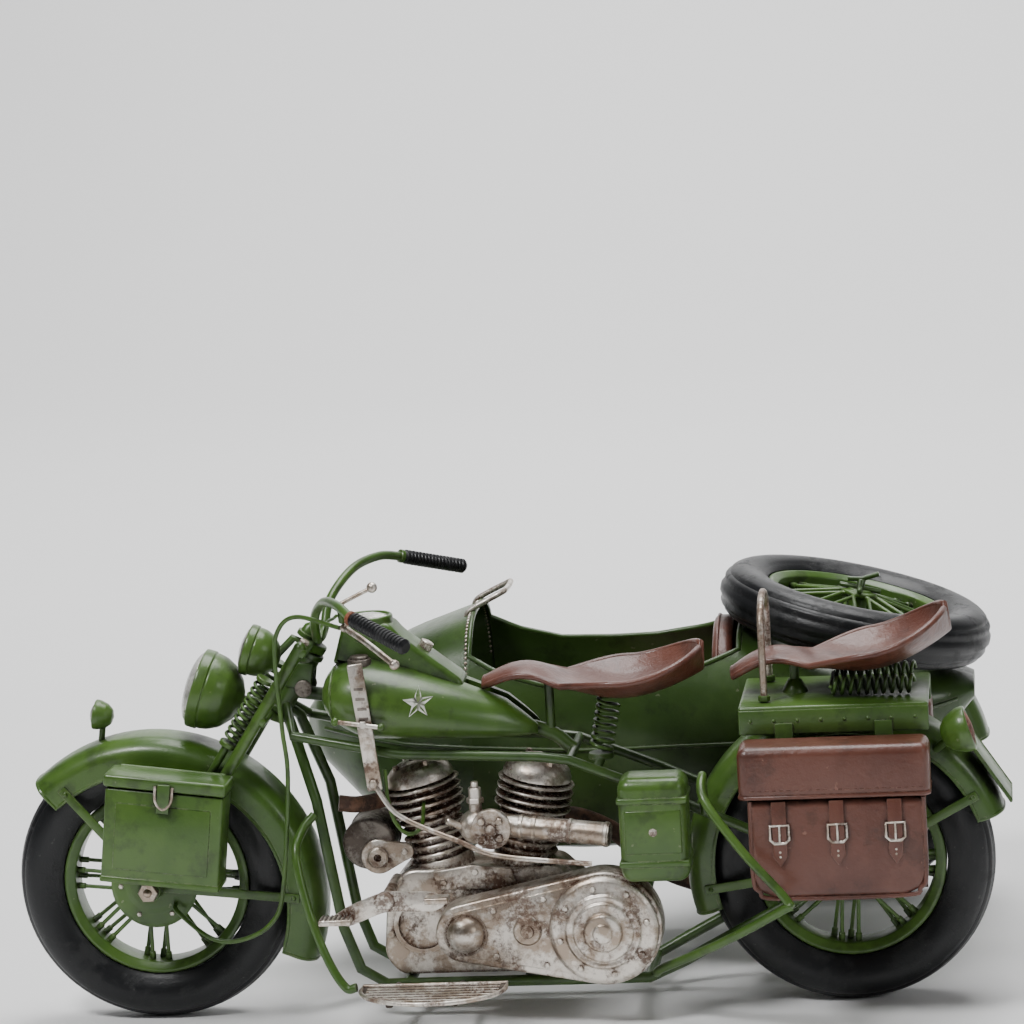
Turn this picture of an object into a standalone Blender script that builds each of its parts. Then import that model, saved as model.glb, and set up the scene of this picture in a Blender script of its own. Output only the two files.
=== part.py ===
"""Tin display model of a 1940s-style solo motorcycle with a sidecar, as separate jointed pieces.

Lengths are metres. The motorcycle faces -X, its left side is -Y, the sidecar stands on +Y, and the
tyres stand on Z = 0. It is drawn with X = Y = 0 between the wheels of the motorcycle, and moved at the
end so that the zero point is the middle of its base. Every piece is one closed solid in its own object.
"""

import math

import bmesh
import bpy
from mathutils import Matrix, Vector

MODEL_NAME = "tin_motorcycle_with_sidecar"

# ---- driving dimensions -------------------------------------------------------------------------
GAP = 0.0003  # air left between two pieces that touch
WHEELBASE = 0.239
REAR_AXLE_X = 0.125
WHEEL_RADIUS = 0.049
TYRE_HALF_WIDTH = 0.0095
BEAD_RADIUS = 0.0328
RIM_INNER_RADIUS = 0.0286
RIM_HALF_WIDTH = 0.0055
HUB_RADIUS = 0.0046
HUB_HALF_WIDTH = 0.0085
SPOKE_RADIUS = 0.0008
SPOKES_PER_SIDE = 8
WHEEL_STEPS = 24
AXLE_RADIUS = 0.0016
AXLE_NUT_RADIUS = 0.0036
AXLE_NUT_THICKNESS = 0.0026

RAKE = math.radians(33.5)
STEERING_TRAIL_OFFSET = 0.0062  # steering axis behind the fork legs, square to them
FORK_HALF_WIDTH = 0.0165
FORK_LEG_RADIUS = 0.0021
SPRING_ROD_RADIUS = 0.0014
SPRING_ROD_HALF_WIDTH = 0.0142
HEAD_TUBE_RADIUS = 0.0040
HEAD_TUBE_LENGTH = 0.024
STEM_RADIUS = 0.0020
HEAD_HEIGHT = 0.117  # middle of the head tube above the ground
YOKE_THICKNESS = 0.0032

FENDER_THICKNESS = 0.0010
FENDER_HALF_WIDTH = 0.0122
FENDER_CLEARANCE = 0.0056  # from tread to the outside of the fender crown
FENDER_VALANCE = 0.0095

FRAME_TUBE_RADIUS = 0.0019
FRAME_HALF_WIDTH = 0.0145
STAY_HALF_WIDTH = 0.0168
RAIL_HEIGHT = 0.0130
TOP_RAIL_HALF_WIDTH = 0.0180
SEAT_CROSS_X = 0.0420
SEAT_CROSS_Z = 0.0863
SPRING_CUP_TOP = SEAT_CROSS_Z + 0.0022
SADDLE_SPRING_RADIUS = 0.0036

TANK_FRONT_X = -0.0500
TANK_REAR_X = 0.0215
TANK_HALF_GAP = 0.0032
BAR_RADIUS = 0.0016
GRIP_RADIUS = 0.0026

CRANKCASE_FLOOR = RAIL_HEIGHT + FRAME_TUBE_RADIUS + GAP
CYLINDER_TILT = math.radians(12.0)
CYLINDER_SPACING = 0.0290
BARREL_RADIUS = 0.0108
HEAD_RADIUS = 0.0132
CASE_TOP = 0.0520

PANNIER_DEPTH = 0.0175
PANNIER_HEIGHT = 0.0330
PANNIER_LID_HEIGHT = 0.0180
RACK_LENGTH = 0.0630
RACK_HALF_WIDTH = 0.0244
RACK_HEIGHT = 0.0095

SIDECAR_Y = 0.0830  # middle plane of the sidecar body
SIDECAR_HALF_WIDTH = 0.0390
SIDECAR_WALL = 0.0016
SIDECAR_WHEEL_X = 0.1180
COCKPIT_FRONT_X = -0.0085
COCKPIT_REAR_X = 0.0880
COCKPIT_RIM = 0.1035
SPARE_TILT = math.radians(14.0)

# ---- places worked out from them ----------------------------------------------------------------
UP = Vector((0.0, 0.0, 1.0))
SIDE = Vector((0.0, 1.0, 0.0))
FRONT_AXLE = Vector((REAR_AXLE_X - WHEELBASE, 0.0, WHEEL_RADIUS))
REAR_AXLE = Vector((REAR_AXLE_X, 0.0, WHEEL_RADIUS))
SIDECAR_WHEEL_Y = SIDECAR_Y + SIDECAR_HALF_WIDTH + FENDER_HALF_WIDTH + 0.0014
SIDECAR_AXLE = Vector((SIDECAR_WHEEL_X, SIDECAR_WHEEL_Y, WHEEL_RADIUS))
STEER_AXIS = Vector((math.sin(RAKE), 0.0, math.cos(RAKE)))
STEER_BACK = Vector((math.cos(RAKE), 0.0, -math.sin(RAKE)))  # rearward, square to the axis


def on_steering_axis(height):
    """Return the point of the steering axis at a height above the ground."""
    foot = FRONT_AXLE + STEER_BACK * STEERING_TRAIL_OFFSET
    return foot + STEER_AXIS * ((height - foot.z) / STEER_AXIS.z)


HEAD = on_steering_axis(HEAD_HEIGHT)
HEAD_TOP = HEAD + STEER_AXIS * (HEAD_TUBE_LENGTH / 2)
HEAD_BOTTOM = HEAD - STEER_AXIS * (HEAD_TUBE_LENGTH / 2)
REAR_FENDER_RADIUS = WHEEL_RADIUS + FENDER_CLEARANCE + 0.0009
RACK_TOP = WHEEL_RADIUS + REAR_FENDER_RADIUS + GAP + 0.0024
RACK_BOTTOM = RACK_TOP - RACK_HEIGHT
RACK_FRONT_X = REAR_AXLE_X - 0.0340
RACK_REAR_X = RACK_FRONT_X + RACK_LENGTH
PANNIER_INNER = RACK_HALF_WIDTH + 0.0010
PANNIER_OUTER = PANNIER_INNER + PANNIER_DEPTH

# ---- finishes: colour, roughness, metallic ------------------------------------------------------
FINISHES = {
    "olive_paint": ((0.075, 0.165, 0.030, 1.0), 0.38, 0.0),
    "dark_olive_paint": ((0.040, 0.085, 0.022, 1.0), 0.42, 0.0),
    "brown_leather": ((0.240, 0.075, 0.045, 1.0), 0.50, 0.0),
    "black_rubber": ((0.012, 0.012, 0.013, 1.0), 0.55, 0.0),
    "antique_silver": ((0.560, 0.500, 0.440, 1.0), 0.42, 0.85),
    "dark_steel": ((0.120, 0.105, 0.095, 1.0), 0.50, 0.60),
    "rusty_brown": ((0.130, 0.065, 0.040, 1.0), 0.60, 0.40),
    "lamp_glass": ((0.700, 0.700, 0.670, 1.0), 0.18, 0.30),
}

parts = {}


# ---- building tools -----------------------------------------------------------------------------
def clear_scene():
    """Remove every object that the file opens with."""
    for obj in list(bpy.data.objects):
        bpy.data.objects.remove(obj, do_unlink=True)


def finish_material(finish):
    """Return the material of a finish, made on first use."""
    material = bpy.data.materials.get(finish)
    if material is None:
        colour, roughness, metallic = FINISHES[finish]
        material = bpy.data.materials.new(finish)
        material.use_nodes = True
        shader = material.node_tree.nodes["Principled BSDF"]
        shader.inputs["Base Color"].default_value = colour
        shader.inputs["Roughness"].default_value = roughness
        shader.inputs["Metallic"].default_value = metallic
        material.diffuse_color = colour
    return material


def new_object(mesh, name="piece"):
    """Link a mesh to the scene as a new object."""
    obj = bpy.data.objects.new(name, mesh)
    bpy.context.scene.collection.objects.link(obj)
    return obj


def from_bmesh(bm):
    """Turn a bmesh into an object, with its faces pointing out."""
    bmesh.ops.recalc_face_normals(bm, faces=bm.faces)
    mesh = bpy.data.meshes.new("piece")
    bm.to_mesh(mesh)
    bm.free()
    return new_object(mesh)


def baked(obj):
    """Replace an object's mesh by its evaluated mesh, with the modifiers and transform applied."""
    bpy.context.view_layer.update()
    evaluated = obj.evaluated_get(bpy.context.evaluated_depsgraph_get())
    mesh = bpy.data.meshes.new_from_object(evaluated)
    mesh.transform(obj.matrix_world)
    result = new_object(mesh)
    bpy.data.objects.remove(obj, do_unlink=True)
    return result


def outward(obj, merge=0.0, matrix=None):
    """Return an object's mesh again with its faces pointing out, and its near points merged."""
    bm = bmesh.new()
    bm.from_mesh(obj.data)
    bpy.data.objects.remove(obj, do_unlink=True)
    if merge:
        bmesh.ops.remove_doubles(bm, verts=bm.verts, dist=merge)
    if matrix:
        bm.transform(matrix)
    return from_bmesh(bm)


def axis_frame(origin, axis):
    """Return the matrix that carries +Z to an axis and the zero point to an origin."""
    turn = UP.rotation_difference(Vector(axis).normalized()).to_matrix().to_4x4()
    return Matrix.Translation(origin) @ turn


def box(low, high, bevel=0.0, segments=2):
    """Return a box between two corners, with rounded edges where a bevel is given."""
    low, high = Vector(low), Vector(high)
    bm = bmesh.new()
    size = high - low
    bmesh.ops.create_cube(bm, size=1.0, matrix=Matrix.Translation((low + high) / 2) @ Matrix.Diagonal(size.to_4d()))
    if bevel:
        bmesh.ops.bevel(bm, geom=bm.edges[:], offset=bevel, segments=segments, profile=0.5, affect="EDGES")
    return from_bmesh(bm)


def rod(start, end, radius, sides=12, end_radius=None):
    """Return a round bar, or a cone where the end radius differs."""
    start, end = Vector(start), Vector(end)
    bm = bmesh.new()
    bmesh.ops.create_cone(
        bm, cap_ends=True, segments=sides, radius1=radius, radius2=radius if end_radius is None else end_radius,
        depth=(end - start).length, matrix=axis_frame((start + end) / 2, end - start),
    )
    return from_bmesh(bm)


def ball(centre, radius, sides=12):
    """Return a sphere."""
    bm = bmesh.new()
    bmesh.ops.create_uvsphere(
        bm, u_segments=sides, v_segments=sides // 2, radius=radius, matrix=Matrix.Translation(centre))
    return from_bmesh(bm)


def turned(profile, origin, axis, steps=24, closed=False):
    """Return a turned solid; the profile's (radius, height) points run down its outer side."""
    mesh = bpy.data.meshes.new("profile")
    edges = [(i, i + 1) for i in range(len(profile) - 1)]
    if closed:
        edges.append((len(profile) - 1, 0))
    mesh.from_pydata([(radius, 0.0, height) for radius, height in profile], edges, [])
    obj = new_object(mesh)
    screw = obj.modifiers.new("turn", "SCREW")
    screw.steps = steps
    screw.render_steps = steps
    screw.use_merge_vertices = True
    screw.merge_threshold = 0.00001
    obj.matrix_world = axis_frame(origin, axis)
    return outward(baked(obj), merge=0.000005)


def tube(points, radius, resolution=1, closed=False):
    """Return a round tube along a route of points."""
    curve = bpy.data.curves.new("route", "CURVE")
    curve.dimensions = "3D"
    curve.bevel_depth = radius
    curve.bevel_resolution = resolution
    curve.use_fill_caps = True
    spline = curve.splines.new("POLY")
    spline.points.add(len(points) - 1)
    for target, point in zip(spline.points, points):
        target.co = Vector(point).to_4d()
    spline.use_cyclic_u = closed
    return welded_curve(curve)


def welded_curve(curve, matrix=None):
    """Turn a curve into a mesh object whose caps are welded."""
    return outward(baked(new_object(curve)), merge=0.000005, matrix=matrix)


def smooth_route(points, spans=4):
    """Return points on a smooth curve through a route's own points."""
    route = [Vector(p) for p in points]
    padded = [route[0] * 2 - route[1], *route, route[-1] * 2 - route[-2]]
    result = [route[0]]
    for a, b, c, d in zip(padded, padded[1:], padded[2:], padded[3:]):
        for step in range(1, spans + 1):
            t = step / spans
            result.append(
                0.5 * (2 * b + (c - a) * t + (2 * a - 5 * b + 4 * c - d) * t ** 2 + (3 * b - a - 3 * c + d) * t ** 3))
    return result


def coil(start, end, radius, wire, turns, points_per_turn=5):
    """Return a helical spring between two points."""
    frame = axis_frame(start, Vector(end) - Vector(start))
    length = (Vector(end) - Vector(start)).length - 2 * wire
    count = turns * points_per_turn
    route = []
    for i in range(count + 1):
        angle = math.tau * i / points_per_turn
        route.append(frame @ Vector((radius * math.cos(angle), radius * math.sin(angle),
                                     wire + length * i / count)))
    return tube(route, wire, resolution=0)


def arc(centre_u, centre_v, radius, start_deg, end_deg, steps):
    """Return the points of a flat arc."""
    points = []
    for i in range(steps + 1):
        angle = math.radians(start_deg + (end_deg - start_deg) * i / steps)
        points.append((centre_u + radius * math.cos(angle), centre_v + radius * math.sin(angle)))
    return points


def side_plate(outline, y_from, y_to, holes=()):
    """Return a flat plate whose (x, z) outline is extruded across Y."""
    curve = bpy.data.curves.new("outline", "CURVE")
    curve.dimensions = "2D"
    curve.fill_mode = "BOTH"
    curve.extrude = abs(y_to - y_from) / 2
    for loop in (outline, *holes):
        spline = curve.splines.new("POLY")
        spline.points.add(len(loop) - 1)
        for target, (x, z) in zip(spline.points, loop):
            target.co = (x, z, 0.0, 1.0)
        spline.use_cyclic_u = True
    upright = Matrix(((1, 0, 0, 0), (0, 0, -1, (y_from + y_to) / 2), (0, 1, 0, 0), (0, 0, 0, 1)))
    return welded_curve(curve, upright)


def flat_plate(outline, z_from, z_to):
    """Return a flat plate whose (x, y) outline is extruded along Z."""
    plate = side_plate(outline, -(z_to - z_from) / 2, (z_to - z_from) / 2)
    lay_down = Matrix(((1, 0, 0, 0), (0, 0, 1, 0), (0, -1, 0, (z_from + z_to) / 2), (0, 0, 0, 1)))
    plate.data.transform(lay_down)
    return plate


def loft(rings):
    """Return a closed skin over rings of equal point count, capped at both ends."""
    bm = bmesh.new()
    loops = [[bm.verts.new(point) for point in ring] for ring in rings]
    count = len(loops[0])
    for near, far in zip(loops, loops[1:]):
        for i in range(count):
            j = (i + 1) % count
            bm.faces.new((near[i], near[j], far[j], far[i]))
    bm.faces.new(loops[0][::-1])
    bm.faces.new(loops[-1])
    bmesh.ops.triangulate(bm, faces=[face for face in bm.faces if len(face.verts) > 4])
    return from_bmesh(bm)


def combine(base, others, operation, solver="EXACT"):
    """Return the Boolean result of a base with other solids."""
    for other in others:
        modifier = base.modifiers.new(operation.lower(), "BOOLEAN")
        modifier.operation = operation
        modifier.solver = solver
        modifier.object = other
    result = baked(base)
    for other in others:
        bpy.data.objects.remove(other, do_unlink=True)
    return result


def unite(base, *others, solver="EXACT"):
    """Return overlapping solids united into one."""
    return combine(base, others, "UNION", solver)


def carve(base, *cutters):
    """Return a solid with others cut out of it."""
    return combine(base, cutters, "DIFFERENCE")


def mirrored(piece):
    """Return a copy of a piece on the other side of the motorcycle's middle plane."""
    bm = bmesh.new()
    bm.from_mesh(piece.data)
    bm.transform(Matrix.Diagonal((1.0, -1.0, 1.0, 1.0)))
    bmesh.ops.reverse_faces(bm, faces=bm.faces)
    return from_bmesh(bm)


def moved(piece, matrix):
    """Move a piece's mesh and return the piece."""
    piece.data.transform(matrix)
    return piece


def name_part(piece, name, finish, smooth=True):
    """Keep a finished piece as a named part of the model."""
    bm = bmesh.new()
    bm.from_mesh(piece.data)
    bmesh.ops.remove_doubles(bm, verts=bm.verts, dist=0.000002)
    bmesh.ops.dissolve_degenerate(bm, edges=bm.edges, dist=0.000002)
    bm.to_mesh(piece.data)
    bm.free()
    piece.name = name
    piece.data.name = name
    piece.data.materials.clear()
    piece.data.materials.append(finish_material(finish))
    if smooth:
        piece.data.shade_smooth()
        piece.data.set_sharp_from_angle(angle=math.radians(35))
    parts[name] = piece
    return piece


# ---- wheels -------------------------------------------------------------------------------------
def make_tyre():
    """Return a tyre whose axis is Y, centred on the zero point."""
    middle = (WHEEL_RADIUS + BEAD_RADIUS) / 2
    depth = WHEEL_RADIUS - middle
    profile = []
    for step in range(8):
        angle = math.radians(112.0 - 32.0 * step)
        profile.append((middle + depth * math.cos(angle), TYRE_HALF_WIDTH * math.sin(angle)))
    bead_half = RIM_HALF_WIDTH + 0.0004
    profile += [(BEAD_RADIUS, -bead_half), (BEAD_RADIUS, bead_half)]
    return turned(profile, (0, 0, 0), SIDE, steps=WHEEL_STEPS, closed=True)


def make_spokes():
    """Return both sides' spokes, one side's leaning across the other's."""
    spokes = []
    spread = math.radians(26.0)
    for side in (-1, 1):
        for i in range(SPOKES_PER_SIDE):
            rim_angle = math.tau * (i + 0.25 * side) / SPOKES_PER_SIDE
            hub_angle = rim_angle + side * spread
            inner = HUB_RADIUS - 0.0012
            outer = RIM_INNER_RADIUS + 0.0016
            start = (inner * math.cos(hub_angle), side * (HUB_HALF_WIDTH - 0.0016), inner * math.sin(hub_angle))
            end = (outer * math.cos(rim_angle), side * 0.0012, outer * math.sin(rim_angle))
            spokes.append(rod(start, end, SPOKE_RADIUS, sides=4))
    return spokes


def make_rim():
    """Return rim, spokes and bored hub as one wheel centred on the zero point."""
    outer = BEAD_RADIUS - GAP
    rim = turned(
        [(outer, RIM_HALF_WIDTH), (outer, -RIM_HALF_WIDTH), (RIM_INNER_RADIUS, -RIM_HALF_WIDTH),
         (RIM_INNER_RADIUS, RIM_HALF_WIDTH)], (0, 0, 0), SIDE, steps=WHEEL_STEPS, closed=True)
    bore = AXLE_RADIUS + GAP
    hub = turned([(HUB_RADIUS, HUB_HALF_WIDTH), (HUB_RADIUS, -HUB_HALF_WIDTH), (bore, -HUB_HALF_WIDTH),
                  (bore, HUB_HALF_WIDTH)], (0, 0, 0), SIDE, steps=12, closed=True)
    return unite(hub, *make_spokes(), rim, solver="MANIFOLD")


def make_wheel(prefix, matrix, tyre_mesh, rim_mesh):
    """Keep one tyre and one rim at a place."""
    for kind, mesh, finish in (("tyre", tyre_mesh, "black_rubber"), ("wheel", rim_mesh, "olive_paint")):
        name_part(moved(new_object(mesh.copy()), matrix), f"{prefix}_{kind}", finish)


def make_axle(name, centre, inner_y, outer_y):
    """Keep a straight axle with a hexagon nut at each end."""
    shaft = rod((centre.x, inner_y, centre.z), (centre.x, outer_y, centre.z), AXLE_RADIUS, sides=12)
    nuts = []
    for end, inward in ((inner_y, 1), (outer_y, -1)):
        nuts.append(rod((centre.x, end, centre.z), (centre.x, end + inward * AXLE_NUT_THICKNESS, centre.z),
                        AXLE_NUT_RADIUS, sides=6))
    name_part(unite(shaft, *nuts), name, "antique_silver")


def spare_matrix():
    """Return the place of the spare wheel, lying on the sidecar's tail and tilted rearward."""
    lie_down = Matrix.Rotation(math.radians(90.0), 4, "X")
    return Matrix.Translation(SPARE_CENTRE) @ Matrix.Rotation(SPARE_TILT, 4, "Y") @ lie_down


def build_wheels():
    """Build the running wheels, the spare and their axles."""
    tyre, rim = make_tyre(), make_rim()
    for prefix, centre in (("front", FRONT_AXLE), ("rear", REAR_AXLE), ("sidecar", SIDECAR_AXLE)):
        make_wheel(prefix, Matrix.Translation(centre), tyre.data, rim.data)
    make_wheel("spare", spare_matrix(), tyre.data, rim.data)
    for master in (tyre, rim):
        bpy.data.objects.remove(master, do_unlink=True)
    nut_face = AXLE_NUT_THICKNESS + GAP
    fork_face = FORK_HALF_WIDTH + FORK_LEG_RADIUS + nut_face
    stay_face = STAY_HALF_WIDTH + FRAME_TUBE_RADIUS + nut_face
    make_axle("front_axle", FRONT_AXLE, -fork_face, fork_face)
    make_axle("rear_axle", REAR_AXLE, -stay_face, stay_face)


# ---- front end ----------------------------------------------------------------------------------
def in_fork(back, across, along):
    """Return a world point from steering coordinates: behind the axis, across, up it from the axle."""
    return FRONT_AXLE + STEER_BACK * (STEERING_TRAIL_OFFSET + back) + SIDE * across + STEER_AXIS * along


def fork_matrix(along=0.0):
    """Return the steering frame's matrix, with +Z up the steering axis."""
    origin = in_fork(0, 0, along)
    return Matrix((
        (STEER_BACK.x, 0, STEER_AXIS.x, origin.x), (STEER_BACK.y, 1, STEER_AXIS.y, origin.y),
        (STEER_BACK.z, 0, STEER_AXIS.z, origin.z), (0, 0, 0, 1)))


LEG_BACK = -0.0035
SPRING_BACK = -0.0084
HEAD_ALONG = (HEAD - in_fork(0, 0, 0)).length
LOWER_YOKE = HEAD_ALONG - HEAD_TUBE_LENGTH / 2 - GAP
UPPER_YOKE = HEAD_ALONG + HEAD_TUBE_LENGTH / 2 + GAP
SPRING_SEAT = 0.0590
SPRING_TOP = 0.0828
SPRING_RADIUS = 0.0030
SPRING_WIRE = 0.0006
YOKE_FRONT = 0.0014


def make_yoke(low, high):
    """Return one yoke plate between two heights along the steering axis."""
    half = FORK_HALF_WIDTH + FORK_LEG_RADIUS - 0.0002
    bar = box((LEG_BACK - YOKE_FRONT, -half, low), (LEG_BACK + 0.0030, half, high))
    eye = rod((0, 0, low), (0, 0, high), 0.0040, sides=12)
    return moved(unite(bar, eye), fork_matrix())


def build_fork():
    """Build the springer fork: legs, yokes, stem, spring rods and axle eyes as one piece."""
    pieces = [make_yoke(LOWER_YOKE - YOKE_THICKNESS, LOWER_YOKE),
              make_yoke(UPPER_YOKE, UPPER_YOKE + YOKE_THICKNESS)]
    stem = rod(in_fork(0, 0, LOWER_YOKE - 0.002), in_fork(0, 0, UPPER_YOKE + 0.002), STEM_RADIUS, sides=12)
    dome_foot = in_fork(-0.0045, 0, UPPER_YOKE + YOKE_THICKNESS - 0.001)
    dome = rod(dome_foot, dome_foot + STEER_AXIS * 0.0060, 0.0026, sides=10, end_radius=0.0020)
    pieces += [stem, dome]
    for side in (-1, 1):
        across = side * FORK_HALF_WIDTH
        rod_across = side * SPRING_ROD_HALF_WIDTH
        eye = FRONT_AXLE + SIDE * across
        knee = in_fork(LEG_BACK, across, 0.012)
        leg = tube([eye, knee, in_fork(LEG_BACK, across, UPPER_YOKE + YOKE_THICKNESS - 0.0006)],
                   FORK_LEG_RADIUS)
        boss = rod(eye - SIDE * FORK_LEG_RADIUS, eye + SIDE * FORK_LEG_RADIUS, 0.0040, sides=10)
        spring_rod = rod(in_fork(SPRING_BACK, rod_across, 0.012),
                         in_fork(SPRING_BACK, rod_across, SPRING_SEAT - 0.001),
                         SPRING_ROD_RADIUS, sides=6)
        rocker = rod(in_fork(LEG_BACK, across, 0.013), in_fork(SPRING_BACK, rod_across, 0.013), 0.0012, sides=6)
        seat = rod(in_fork(SPRING_BACK, rod_across, SPRING_SEAT - 0.0016),
                   in_fork(SPRING_BACK, rod_across, SPRING_SEAT),
                   SPRING_RADIUS, sides=10)
        cap = rod(in_fork(SPRING_BACK, rod_across, SPRING_TOP + 2 * GAP),
                  in_fork(SPRING_BACK, rod_across, SPRING_TOP + 0.0020), SPRING_RADIUS, sides=10)
        lug = rod(in_fork(LEG_BACK, across, SPRING_TOP + 0.0014),
                  in_fork(SPRING_BACK, rod_across, SPRING_TOP + 0.0014),
                  0.0006, sides=6)
        pieces += [leg, boss, spring_rod, rocker, seat, cap, lug]
    fork = unite(pieces[0], *pieces[1:])
    reach = FORK_HALF_WIDTH + 0.01
    bore = rod(FRONT_AXLE - SIDE * reach, FRONT_AXLE + SIDE * reach, AXLE_RADIUS + GAP, sides=12)
    name_part(carve(fork, bore), "fork", "olive_paint")
    for side, name in ((-1, "fork_spring_left"), (1, "fork_spring_right")):
        across = side * SPRING_ROD_HALF_WIDTH
        spring = coil(in_fork(SPRING_BACK, across, SPRING_SEAT + GAP), in_fork(SPRING_BACK, across, SPRING_TOP),
                      SPRING_RADIUS - SPRING_WIRE, SPRING_WIRE, turns=7)
        name_part(spring, name, "dark_olive_paint")


def lamp_shell(radius, depth):
    """Return a lamp bowl's profile, open side up, as (radius, height) points."""
    return [(0.0, 0.0), (radius, 0.0), (radius, -depth * 0.18), (radius * 0.97, -depth * 0.30),
            (radius * 0.84, -depth * 0.62), (radius * 0.52, -depth * 0.90), (0.0, -depth)]


LAMP_AXIS = Vector((-math.cos(math.radians(19.0)), 0.0, math.sin(math.radians(19.0))))
HEADLAMP_RADIUS = 0.0138
HEADLAMP_DEPTH = 0.0165
BLACKOUT_RADIUS = 0.0089
BLACKOUT_DEPTH = 0.0120


def lamp_arm(start, along, radius):
    """Return a bracket arm from a lamp's back to the front face of a yoke, met square on."""
    front = LEG_BACK - YOKE_FRONT - GAP
    return tube([start, in_fork(front - 0.0030, 0, along), in_fork(front, 0, along)], radius)


def build_lamps():
    """Build the headlamp with its lens and the blackout lamp above it, on brackets from the fork."""
    centre = Vector((FRONT_AXLE.x + 0.0182, 0.0, FRONT_AXLE.z + 0.0668))
    bowl = turned(lamp_shell(HEADLAMP_RADIUS, HEADLAMP_DEPTH), centre, LAMP_AXIS, steps=20)
    arm = lamp_arm(centre - LAMP_AXIS * (HEADLAMP_DEPTH - 0.003), LOWER_YOKE - YOKE_THICKNESS / 2, 0.0018)
    name_part(unite(bowl, arm), "headlamp", "olive_paint")
    lens_radius = HEADLAMP_RADIUS - 0.0012
    lens = turned([(0.0, 0.0040), (lens_radius * 0.45, 0.0035), (lens_radius * 0.82, 0.0020),
                   (lens_radius, 0.0),
                   (0.0, 0.0)], centre + LAMP_AXIS * GAP, LAMP_AXIS, steps=20)
    name_part(lens, "headlamp_lens", "lamp_glass")
    centre = Vector((FRONT_AXLE.x + 0.0364, 0.0, FRONT_AXLE.z + 0.0796))
    bowl = turned(lamp_shell(BLACKOUT_RADIUS, BLACKOUT_DEPTH), centre, LAMP_AXIS, steps=18)
    arm = lamp_arm(centre - LAMP_AXIS * (BLACKOUT_DEPTH - 0.002), UPPER_YOKE + 0.0004, 0.0014)
    name_part(unite(bowl, arm), "blackout_lamp", "olive_paint")


def bar_route(side):
    """Return one half of the handlebar's route, from the middle out to its grip."""
    foot = in_fork(0, 0, UPPER_YOKE + YOKE_THICKNESS + GAP + BAR_RADIUS)
    rise = [(0.0000, 0.0, 0.0), (0.0002, 0.0080, 0.0016), (0.0016, 0.0160, 0.0105), (0.0075, 0.0310, 0.0180),
            (0.0145, 0.0460, 0.0195), (0.0208, 0.0572, 0.0172)]
    return [foot + Vector((x, side * y, z)) for x, y, z in rise]


GRIP_DIRECTION = Vector((0.0196, 0.0155, -0.0072)).normalized()
GRIP_LENGTH = 0.0260


def build_bars():
    """Build the handlebar, its grips, the brake lever with its bracket, and the thumb lever."""
    left, right = bar_route(-1), bar_route(1)
    route = smooth_route(left[::-1] + right[1:], spans=2)
    bar = tube(route, BAR_RADIUS)
    for side, tip, name in ((-1, left[-1], "grip_left"), (1, right[-1], "grip_right")):
        direction = Vector((GRIP_DIRECTION.x, side * GRIP_DIRECTION.y, GRIP_DIRECTION.z))
        start = tip + direction * (GAP + 0.0004)
        name_part(rod(start, start + direction * GRIP_LENGTH, GRIP_RADIUS, sides=14), name, "black_rubber")
    pivot = LEVER_PIVOT
    bracket = rod(left[4] + Vector((0.0010, 0.0010, 0)), pivot + Vector((-0.0006, 0.0004, 0.0021)), 0.0013,
                  sides=8)
    tip = LEVER_TIP
    blade = rod(pivot, tip, 0.0011, sides=8, end_radius=0.0009)
    knob = ball(tip, 0.0017, sides=8)
    root = ball(pivot, 0.0015, sides=8)
    name_part(unite(blade, knob, root), "brake_lever", "antique_silver")
    stalk_top = left[4] + Vector((0.0115, 0.0035, 0.0050))
    stalk = rod(left[4], stalk_top, 0.0007, sides=8)
    knob = ball(stalk_top, 0.0018, sides=10)
    name_part(unite(bar, bracket, stalk, knob), "handlebar", "olive_paint")


FOOT_OF_BARS = in_fork(0, 0, UPPER_YOKE + YOKE_THICKNESS + GAP + BAR_RADIUS)
LEVER_PIVOT = FOOT_OF_BARS + Vector((0.0155, -0.0400, 0.0108))
LEVER_TIP = LEVER_PIVOT + Vector((0.0194, -0.0220, -0.0086))


def swept_shell(profile, centre, start_deg, span_deg, steps, thickness):
    """Return a sheet swept round a Y axis from a start angle, thickened inward."""
    mesh = bpy.data.meshes.new("profile")
    mesh.from_pydata([(radius, 0.0, y) for radius, y in profile],
                     [(i, i + 1) for i in range(len(profile) - 1)], [])
    obj = new_object(mesh)
    screw = obj.modifiers.new("sweep", "SCREW")
    screw.angle = math.radians(span_deg)
    screw.steps = steps
    screw.render_steps = steps
    screw.use_merge_vertices = False
    shell = obj.modifiers.new("sheet", "SOLIDIFY")
    shell.thickness = thickness
    shell.offset = -1.0
    obj.matrix_world = axis_frame(centre, SIDE) @ Matrix.Rotation(-math.radians(start_deg), 4, "Z")
    return outward(baked(obj))


def fender(radius, centre, start_deg, end_deg, valance, steps=12):
    """Return a valanced fender shell round a centre, from one angle back to another."""
    half = FENDER_HALF_WIDTH
    profile = [
        (radius - valance, half), (radius - 0.0042, half), (radius - 0.0008, half * 0.62), (radius, 0.0),
        (radius - 0.0008, -half * 0.62), (radius - 0.0042, -half), (radius - valance, -half)]
    return swept_shell(profile, centre, start_deg, start_deg - end_deg, steps, FENDER_THICKNESS)


def strip(start, end, width, y_from, y_to):
    """Return a flat bar between two (x, z) points."""
    a, b = Vector(start), Vector(end)
    across = Vector((-(b - a).y, (b - a).x)).normalized() * (width / 2)
    return side_plate([a - across, b - across, b + across, a + across], y_from, y_to)


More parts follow.
